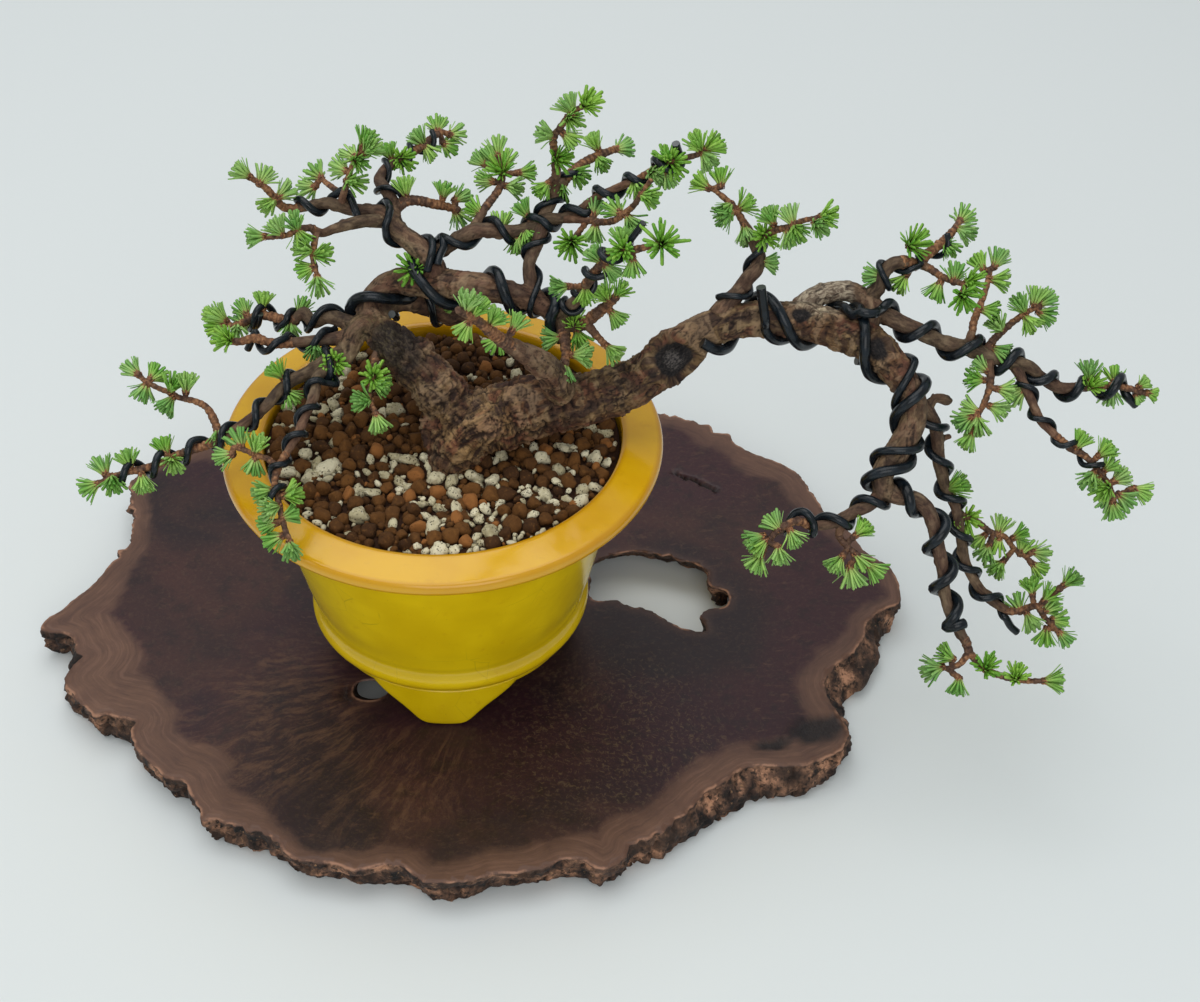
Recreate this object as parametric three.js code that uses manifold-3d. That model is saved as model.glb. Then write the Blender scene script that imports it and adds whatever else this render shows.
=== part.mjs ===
// Larch bonsai: a semi-cascade tree in a round yellow-glazed pot that stands on a burl slab.
// Millimetres, +Z up. Origin: on the slab's flat underside, under the middle of the pot.
import * as THREE from "three";
import Module from "manifold-3d";

// Driving dimensions
const RIM_Z = 108; // height of the rim's widest circle above the ground
const RIM_R = 76; // outer radius of the rim
const SLAB_T = 14.7; // slab thickness
const FOOT_Z = 15; // underside of the pot's feet
const SOIL_EDGE_R = 61; // soil radius just under the lip
const DRAIN_R = 7; // drainage hole
const GAP = 0.3; // clearance between pieces that touch
const FOOT_COUNT = 3;

// centre lines of trunk, limbs and branches: x, y, z, radius in mm
const BRANCH = {
  T: [[2.6,-13.5,90.0,6.6],[2.3,-15.0,98.0,6.2],[2.1,-16.0,105.4,5.83],[4.0,-13.0,114.6,8.53],[12.5,-9.0,123.8,10.53],[20.8,-5.0,125.1,11.58],[35.4,-2.0,128.3,10.56],[50.7,0.0,129.6,8.87],[65.9,3.0,134.1,8.17],[76.0,6.0,141.4,7.8],[87.5,9.0,150.4,6.75],[97.5,11.0,154.6,6.4],[109.2,12.0,155.8,6.06],[121.1,12.0,154.8,6.41],[134.5,9.0,153.1,6.73],[145.2,5.0,150.1,6.39],[151.9,0.0,145.6,5.71],[156.6,-5.0,141.5,5.03],[158.9,-10.0,137.0,4.69],[158.4,-15.0,131.6,4.35],[154.2,-20.0,125.2,4.35],[149.1,-25.0,118.8,4.02],[149.8,-29.0,114.7,3.35]],
  CR: [[149.9,-28.0,114.7,3.02],[155.2,-30.0,113.5,2.85],[160.1,-31.0,113.6,2.68],[164.1,-32.0,110.5,2.68],[167.2,-34.0,104.7,2.52],[169.0,-37.0,98.4,2.36],[171.3,-41.0,89.7,2.2],[173.1,-45.0,80.4,2.04],[176.5,-49.0,73.9,2.05],[180.5,-53.0,68.4,1.71],[182.2,-55.0,64.1,1.54]],
  CR1: [[181.8,-54.5,65.2,1.37],[179.1,-57.0,62.2,1.2],[174.9,-59.0,61.2,1.02]],
  CR2: [[181.8,-54.5,65.2,1.37],[186.8,-56.0,59.4,1.3],[194.0,-57.0,56.1,1.17],[202.7,-59.0,56.0,1.03],[207.8,-60.0,57.2,0.86]],
  CL: [[149.9,-28.0,114.7,2.68],[144.9,-32.0,111.4,2.35],[140.4,-34.0,110.4,2.17],[136.1,-36.0,109.0,2.01],[131.6,-38.0,108.0,1.84],[125.3,-41.0,109.6,1.66],[119.9,-43.0,113.5,1.49],[115.8,-45.0,113.0,1.32],[112.7,-46.0,110.7,1.15],[110.4,-48.0,108.9,0.99]],
  CL1: [[136.1,-36.0,109.0,1.67],[134.9,-39.0,104.0,1.34],[138.3,-42.0,100.9,1.17],[141.1,-43.0,99.2,1.0]],
  R2: [[158.2,-9.0,138.3,2.68],[163.9,-8.0,133.8,2.36],[167.3,-8.0,128.2,2.37],[168.9,-9.0,122.5,2.38],[169.8,-11.0,116.2,2.22],[171.6,-14.0,110.3,2.22],[173.5,-17.0,105.7,2.06],[176.4,-20.0,101.5,2.06],[178.3,-22.0,95.5,1.89],[180.0,-25.0,88.0,1.9],[182.1,-27.0,80.5,1.74],[187.0,-30.0,72.9,1.74],[192.3,-32.0,67.7,1.75],[198.0,-34.0,64.9,1.4],[202.8,-34.0,65.5,1.4],[207.1,-35.0,68.6,1.22],[210.8,-36.0,63.8,1.05],[215.0,-38.0,60.0,0.87]],
  R2k: [[163.9,-8.0,133.8,2.02],[166.5,-6.0,136.6,1.68],[171.6,-3.0,133.9,2.03]],
  R2a: [[177.5,-21.0,98.7,1.37],[186.0,-19.0,92.5,1.21],[191.3,-17.0,86.6,1.12],[196.8,-16.0,83.5,1.05],[200.8,-16.0,77.9,0.99],[205.6,-16.0,74.1,0.88]],
  R2s: [[169.1,-9.0,121.2,1.19],[173.5,-8.0,122.2,1.02]],
  G: [[118.8,13.0,155.3,3.37],[123.2,18.0,158.0,3.72],[129.4,21.0,159.7,3.73],[136.5,22.0,160.4,3.39],[142.9,20.0,159.0,3.39],[145.2,13.0,157.1,3.03],[143.9,8.0,152.0,3.03]],
  UB: [[143.6,19.0,158.5,2.71],[147.8,19.9,164.2,2.53],[148.9,21.6,168.3,2.35],[151.8,23.3,170.8,2.35],[156.1,25.1,170.5,2.36],[160.6,27.3,168.2,2.03],[165.3,30.7,171.3,1.86],[170.4,35.1,172.9,1.7],[173.8,39.4,174.5,1.36],[176.4,43.0,176.3,1.02]],
  UB1: [[161.2,27.7,168.4,1.7],[164.5,23.8,168.8,1.42],[168.1,18.0,169.6,1.27],[171.6,12.5,171.5,1.06],[174.0,8.0,173.9,0.86]],
  LR: [[144.3,17.7,158.5,3.04],[148.0,14.0,157.7,3.03],[153.5,11.0,156.2,3.03],[160.0,9.0,154.1,2.86],[167.7,8.0,150.8,2.7],[172.4,7.0,149.6,2.7],[178.5,6.0,148.8,2.53],[185.8,5.0,146.3,2.36],[192.1,4.0,145.5,2.36],[198.3,3.0,144.3,2.19],[203.8,3.0,139.3,2.03],[210.6,3.0,135.2,2.04],[217.2,4.0,134.9,1.7],[223.6,4.0,135.5,1.43],[229.4,4.0,135.6,1.29],[235.0,4.0,134.5,1.16],[238.7,3.0,134.0,1.02]],
  LR1: [[177.7,6.0,149.2,1.68],[179.0,9.6,153.2,1.41],[180.0,13.2,156.4,1.35],[182.2,16.8,161.3,1.18],[184.0,21.2,164.8,1.01],[185.3,26.0,167.2,0.85]],
  LR2: [[183.6,5.0,147.1,1.69],[185.4,8.0,149.5,1.48],[189.4,11.0,152.8,1.35],[194.4,14.0,155.7,1.18],[198.2,15.0,158.4,1.01],[201.8,16.0,159.8,0.88]],
  LR3: [[184.9,5.1,146.6,1.62],[185.3,-2.0,142.8,1.34],[183.8,-7.0,139.0,1.17],[181.4,-11.0,135.7,1.0],[178.4,-13.0,133.8,0.87]],
  LR4: [[193.6,4.0,144.7,1.86],[196.3,-2.0,141.3,1.68],[199.0,-8.0,137.6,1.68],[201.9,-13.0,133.5,1.54],[206.4,-17.0,130.8,1.4],[211.0,-20.0,128.2,1.34],[216.4,-22.0,126.1,1.17],[220.4,-25.0,123.1,1.07],[223.8,-28.0,120.0,1.0],[226.3,-31.0,116.0,0.87]],
  UC: [[92.8,10.0,153.6,4.04],[95.2,12.0,160.4,3.02],[98.5,14.0,162.8,2.85],[100.7,16.0,165.1,2.68],[103.0,18.0,167.8,2.68],[105.6,20.0,170.1,2.68],[106.9,23.0,172.9,2.35],[105.2,26.0,175.7,2.01],[103.9,29.0,178.0,1.68],[100.8,32.0,181.6,1.34],[97.6,35.0,185.1,1.18],[93.9,37.0,187.7,1.01],[90.9,39.0,189.1,0.84]],
  UC1: [[104.2,28.0,177.1,1.54],[107.5,24.4,180.0,1.4],[111.3,20.8,185.3,1.32],[115.1,17.2,188.9,1.15],[118.8,13.6,193.7,0.97],[123.4,10.0,197.7,0.81]],
  FB: [[41.1,-1.2,128.8,5.75],[38.1,-11.3,148.5,4.96],[31.9,-19.0,161.2,3.88],[24.7,-26.0,171.2,2.54],[19.5,-32.3,181.3,1.87],[14.5,-37.8,190.6,1.53],[10.7,-42.0,196.2,1.21]],
  GL: [[9.5,-9.0,124.2,9.16],[3.0,-5.0,130.8,8.81],[-4.0,-2.0,139.0,8.43],[-10.8,2.0,143.9,8.09],[-16.0,6.0,147.1,7.09],[-20.9,11.0,147.9,5.43]],
  H: [[-19.3,9.0,147.7,4.74],[-24.5,15.0,150.3,4.08],[-25.4,19.0,153.2,3.74],[-23.1,22.0,156.1,3.92],[-18.7,24.0,158.5,4.08],[-13.5,24.0,159.9,4.76],[-5.1,21.0,160.9,5.08],[4.0,18.0,162.8,5.05],[14.3,15.0,164.0,4.69],[24.0,14.0,162.8,4.02],[32.7,13.0,159.6,3.7],[40.5,11.0,155.9,3.36]],
  Bk: [[-19.3,9.0,147.7,4.06],[-21.1,18.0,149.0,3.75],[-18.3,25.0,149.5,3.78],[-12.1,29.0,148.4,4.15],[-5.5,31.0,145.0,4.17],[1.5,32.0,140.5,3.84],[6.7,32.0,139.4,2.8]],
  UPB: [[-2.0,20.0,161.7,4.05],[-2.5,22.0,167.3,3.87],[-4.9,24.0,170.3,3.7],[-8.0,26.0,172.5,3.7],[-11.4,28.0,174.3,3.54],[-14.9,30.0,176.1,3.37],[-17.8,33.0,177.7,3.04]],
  LT: [[-16.4,32.0,176.8,3.04],[-19.7,33.9,180.2,2.7],[-23.2,35.0,180.2,2.53],[-27.9,35.0,180.5,2.36],[-33.1,34.5,182.0,2.19],[-37.9,33.8,184.3,2.01],[-43.3,33.2,183.8,1.85],[-48.2,32.1,183.2,1.68],[-52.7,30.8,184.3,1.5],[-55.4,29.5,189.0,1.33],[-57.9,29.0,193.2,1.16],[-61.3,29.0,195.9,0.99]],
  LT1: [[-31.9,34.6,181.5,1.68],[-32.9,36.8,183.7,1.41],[-35.7,41.0,184.1,1.18],[-39.6,45.2,184.4,1.02],[-42.4,49.0,184.4,0.85]],
  LT2: [[-34.4,34.3,182.6,1.34],[-32.0,35.2,190.2,1.2],[-30.5,37.0,194.6,1.07],[-28.3,38.0,199.4,1.0],[-26.4,38.0,202.5,0.83]],
  LL: [[-17.8,33.0,177.7,2.36],[-25.2,28.5,180.9,2.18],[-30.4,24.5,182.2,2.0],[-34.9,20.8,182.7,1.72],[-38.4,17.0,183.5,1.52],[-41.3,14.0,187.4,1.31],[-44.9,11.5,188.6,1.14],[-48.6,9.2,187.7,0.98],[-52.4,7.0,188.4,0.81]],
  LL1: [[-39.9,15.4,185.4,1.31],[-40.1,9.5,183.8,1.14],[-40.1,5.5,181.9,0.98],[-39.3,2.2,179.8,0.98],[-38.2,0.0,178.2,0.81]],
  BU: [[-17.1,33.0,176.9,2.7],[-16.8,39.0,179.8,2.37],[-19.6,44.7,182.4,2.18],[-22.8,50.0,183.0,2.05],[-21.5,55.3,183.6,1.89],[-18.9,60.7,184.0,1.73],[-14.2,66.0,183.6,1.57],[-9.7,71.3,184.0,1.4],[-6.1,76.0,184.9,1.23],[-3.6,80.0,184.6,1.06]],
  BR: [[-16.7,38.3,179.4,2.03],[-13.1,40.0,181.6,1.9],[-8.6,42.0,180.4,1.77],[-3.7,44.0,178.0,1.71],[0.8,46.0,175.6,1.51],[4.5,47.0,173.8,1.24]],
  MR: [[-8.8,27.0,172.2,2.7],[-2.4,27.0,170.3,2.7],[2.0,27.3,172.2,2.7],[5.4,27.9,174.3,2.69],[9.8,29.2,176.8,2.69],[16.1,30.2,177.0,2.52],[23.1,30.9,175.9,2.36],[28.9,31.0,177.6,2.19],[34.3,31.2,180.7,2.08],[40.6,31.8,181.2,1.88],[45.7,32.0,184.0,1.67],[52.0,31.9,189.7,1.53],[59.2,31.2,194.2,1.39],[65.4,30.6,197.8,1.32],[71.5,29.9,202.6,1.18],[78.3,29.3,206.2,1.08],[84.1,29.4,208.1,0.98],[87.6,30.0,210.1,0.85]],
  MR1: [[9.8,29.2,176.8,1.69],[13.4,38.2,179.3,1.56],[16.4,44.8,180.3,1.43],[18.6,50.4,181.2,1.37],[19.1,54.8,182.8,1.2],[18.3,58.0,184.8,1.03]],
  V: [[32.1,13.0,159.6,3.02],[30.3,17.0,165.3,2.52],[29.6,20.0,170.1,2.35],[31.5,24.0,174.3,2.35],[33.4,28.0,178.0,2.18],[34.5,34.0,181.3,2.19],[37.1,39.0,184.4,2.02],[40.6,45.0,187.4,1.86],[45.2,52.0,188.7,1.7],[51.6,58.0,189.4,1.54],[58.1,64.0,188.7,1.31]],
  V1: [[37.5,39.7,184.8,1.69],[38.1,40.7,193.6,1.54],[37.7,42.0,200.2,1.4],[37.1,42.0,205.9,1.33],[39.4,40.9,210.4,1.19],[42.1,38.6,216.0,1.11],[45.4,37.1,219.9,0.98],[47.6,36.0,222.0,0.84]],
  OT: [[40.6,31.8,181.2,1.51],[50.4,26.0,184.1,1.2],[57.1,18.0,189.5,1.15],[63.1,14.0,197.3,1.04],[66.8,12.0,204.7,0.96],[69.2,12.0,209.3,0.8]],
  N1: [[40.2,11.0,156.7,2.69],[46.0,5.0,166.9,1.98],[49.3,0.0,177.3,1.79],[53.4,-4.0,186.9,1.6],[57.8,-8.0,195.1,1.42],[63.4,-11.0,198.0,1.26],[67.7,-14.0,201.3,1.09]],
  N2: [[40.5,11.0,155.5,2.69],[45.6,9.0,152.9,2.36],[51.0,9.0,157.1,2.18],[55.6,9.0,161.8,1.84],[59.2,9.0,165.9,1.5]],
  N2a: [[48.6,9.0,155.0,1.68],[52.4,5.0,152.7,1.34],[55.5,2.0,150.8,1.17]],
  N3: [[40.5,11.0,155.5,2.69],[41.7,5.0,152.8,2.35],[42.5,-2.0,150.6,1.67],[42.3,-7.0,149.4,1.33]],
  BD: [[-19.3,9.0,147.7,5.08],[-25.6,12.0,149.1,4.58],[-29.1,9.0,147.9,4.06],[-30.9,5.0,145.4,3.55],[-32.1,2.0,143.4,3.03]],
  LA: [[-27.6,11.0,149.0,3.05],[-34.5,16.0,148.9,2.72],[-40.1,19.0,147.9,2.39],[-44.9,20.0,144.9,2.23],[-48.2,23.0,146.5,2.06],[-52.1,22.0,143.7,1.9],[-59.3,24.0,143.8,1.73],[-64.6,25.0,143.8,1.56],[-69.2,24.0,141.4,1.38],[-73.0,23.0,140.4,1.21],[-76.5,24.0,141.3,1.04]],
  LB: [[-29.2,9.0,147.5,3.05],[-36.2,8.0,146.8,2.37],[-43.5,7.0,146.6,2.03],[-50.9,6.0,146.3,1.86],[-56.8,5.0,146.9,1.69],[-62.6,5.0,148.9,1.51],[-67.6,4.0,147.9,1.35],[-72.4,3.0,149.3,1.07]],
  LC: [[-31.2,4.0,144.4,3.04],[-37.9,0.0,144.0,2.52],[-42.9,-4.0,142.3,2.35],[-48.5,-8.0,141.5,2.17],[-52.8,-12.0,139.8,2.0],[-56.5,-16.0,137.0,1.86],[-61.2,-20.0,134.6,1.83],[-66.3,-23.0,132.2,1.66],[-70.9,-25.0,129.9,1.66],[-75.6,-26.0,128.0,1.66],[-80.3,-27.0,126.6,1.49],[-84.6,-28.0,125.2,1.49],[-90.8,-29.0,122.4,1.33],[-96.5,-30.0,120.5,1.33],[-102.1,-31.0,119.5,1.16],[-107.8,-32.0,118.0,1.0],[-111.5,-33.0,116.6,0.83]],
  LC1: [[-72.1,-25.3,129.4,1.49],[-73.1,-21.0,130.8,1.33],[-74.9,-18.0,133.5,1.33],[-77.5,-15.0,135.3,1.2],[-81.2,-14.0,136.6,1.1],[-85.9,-12.0,136.1,1.04],[-90.2,-11.0,137.8,1.0],[-94.3,-10.0,139.1,1.0],[-98.2,-9.0,141.1,0.87],[-100.1,-8.0,143.3,0.8]],
  LD: [[-31.8,3.0,143.5,2.7],[-36.9,-3.0,143.8,2.18],[-40.4,-8.0,142.5,2.0],[-40.8,-15.0,140.4,1.82],[-42.4,-22.0,138.7,1.65],[-43.9,-29.0,137.6,1.51],[-45.5,-35.0,136.6,1.46],[-48.0,-40.0,134.8,1.3],[-49.7,-45.0,133.1,1.29],[-49.9,-50.0,131.4,1.16],[-48.2,-56.0,130.3,1.09],[-46.8,-60.0,126.2,0.96],[-45.2,-64.0,123.9,0.96],[-43.4,-67.0,121.9,0.83]],
  LD1: [[-49.2,-44.0,133.5,1.16],[-52.8,-42.0,135.6,1.03],[-56.8,-41.0,136.3,0.97],[-60.9,-39.0,136.7,0.91],[-64.3,-38.0,137.0,0.81]],
  SP: [[-20.1,9.4,147.9,2.03],[-21.5,-2.0,145.0,1.34],[-21.8,-8.0,142.1,1.07],[-22.7,-14.0,139.1,1.0],[-20.0,-19.0,136.4,0.83]],
};
// where each branch turns from old wood into a young shoot (index into its line)
const WOOD_END = {"CR":9,"CR1":0,"CR2":0,"CL":5,"CL1":1,"R2":13,"R2a":1,"UB":4,"UB1":1,"LR":12,"LR1":1,"LR2":1,"LR3":1,"LR4":4,"UC":9,"UC1":1,"FB":3,"LT":7,"LT1":1,"LT2":1,"LL":5,"LL1":1,"BU":5,"BR":1,"MR":13,"MR1":1,"V":7,"V1":1,"OT":1,"N1":2,"N2":1,"N2a":1,"N3":1,"LA":5,"LB":3,"LC":9,"LC1":1,"LD":7,"LD1":1,"SP":1};
// shoots: [branch, first point]
const SHOOT = {
  shoot_cascade_tip: [["CR",9],["CR1",0],["CR2",0]],
  shoot_cascade_left: [["CL",5]],
  shoot_cascade_left_spur: [["CL1",1]],
  shoot_lower_right_tip: [["R2",13]],
  shoot_lower_right_side: [["R2a",1]],
  shoot_right_rising: [["UB",4],["UB1",0]],
  shoot_far_right_tip: [["LR",12]],
  shoot_far_right_upper: [["LR1",1]],
  shoot_far_right_middle: [["LR2",1]],
  shoot_far_right_hanging: [["LR3",1]],
  shoot_far_right_drooping: [["LR4",4]],
  shoot_centre_tip: [["UC",9]],
  shoot_centre_side: [["UC1",1]],
  shoot_front: [["FB",3]],
  shoot_upper_left_tip: [["LT",7]],
  shoot_upper_left_side: [["LT1",1]],
  shoot_upper_left_rising: [["LT2",1]],
  shoot_lower_crown_left: [["LL",5]],
  shoot_lower_crown_hanging: [["LL1",1]],
  shoot_back_tip: [["BU",5]],
  shoot_back_side: [["BR",1]],
  shoot_crown_right_tip: [["MR",13]],
  shoot_crown_middle: [["MR1",1]],
  shoot_apex_right: [["V",7]],
  shoot_apex: [["V1",1]],
  shoot_crown_right_low: [["OT",1]],
  shoot_crown_front_rising: [["N1",2]],
  shoot_crown_front_right: [["N2",1],["N2a",0]],
  shoot_crown_front_hanging: [["N3",1]],
  shoot_left_upper: [["LA",5]],
  shoot_left_middle: [["LB",3]],
  shoot_left_tip: [["LC",9]],
  shoot_left_side: [["LC1",1]],
  shoot_left_hanging_tip: [["LD",7]],
  shoot_left_hanging_side: [["LD1",1]],
  shoot_trunk_left: [["SP",1]],
};
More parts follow.
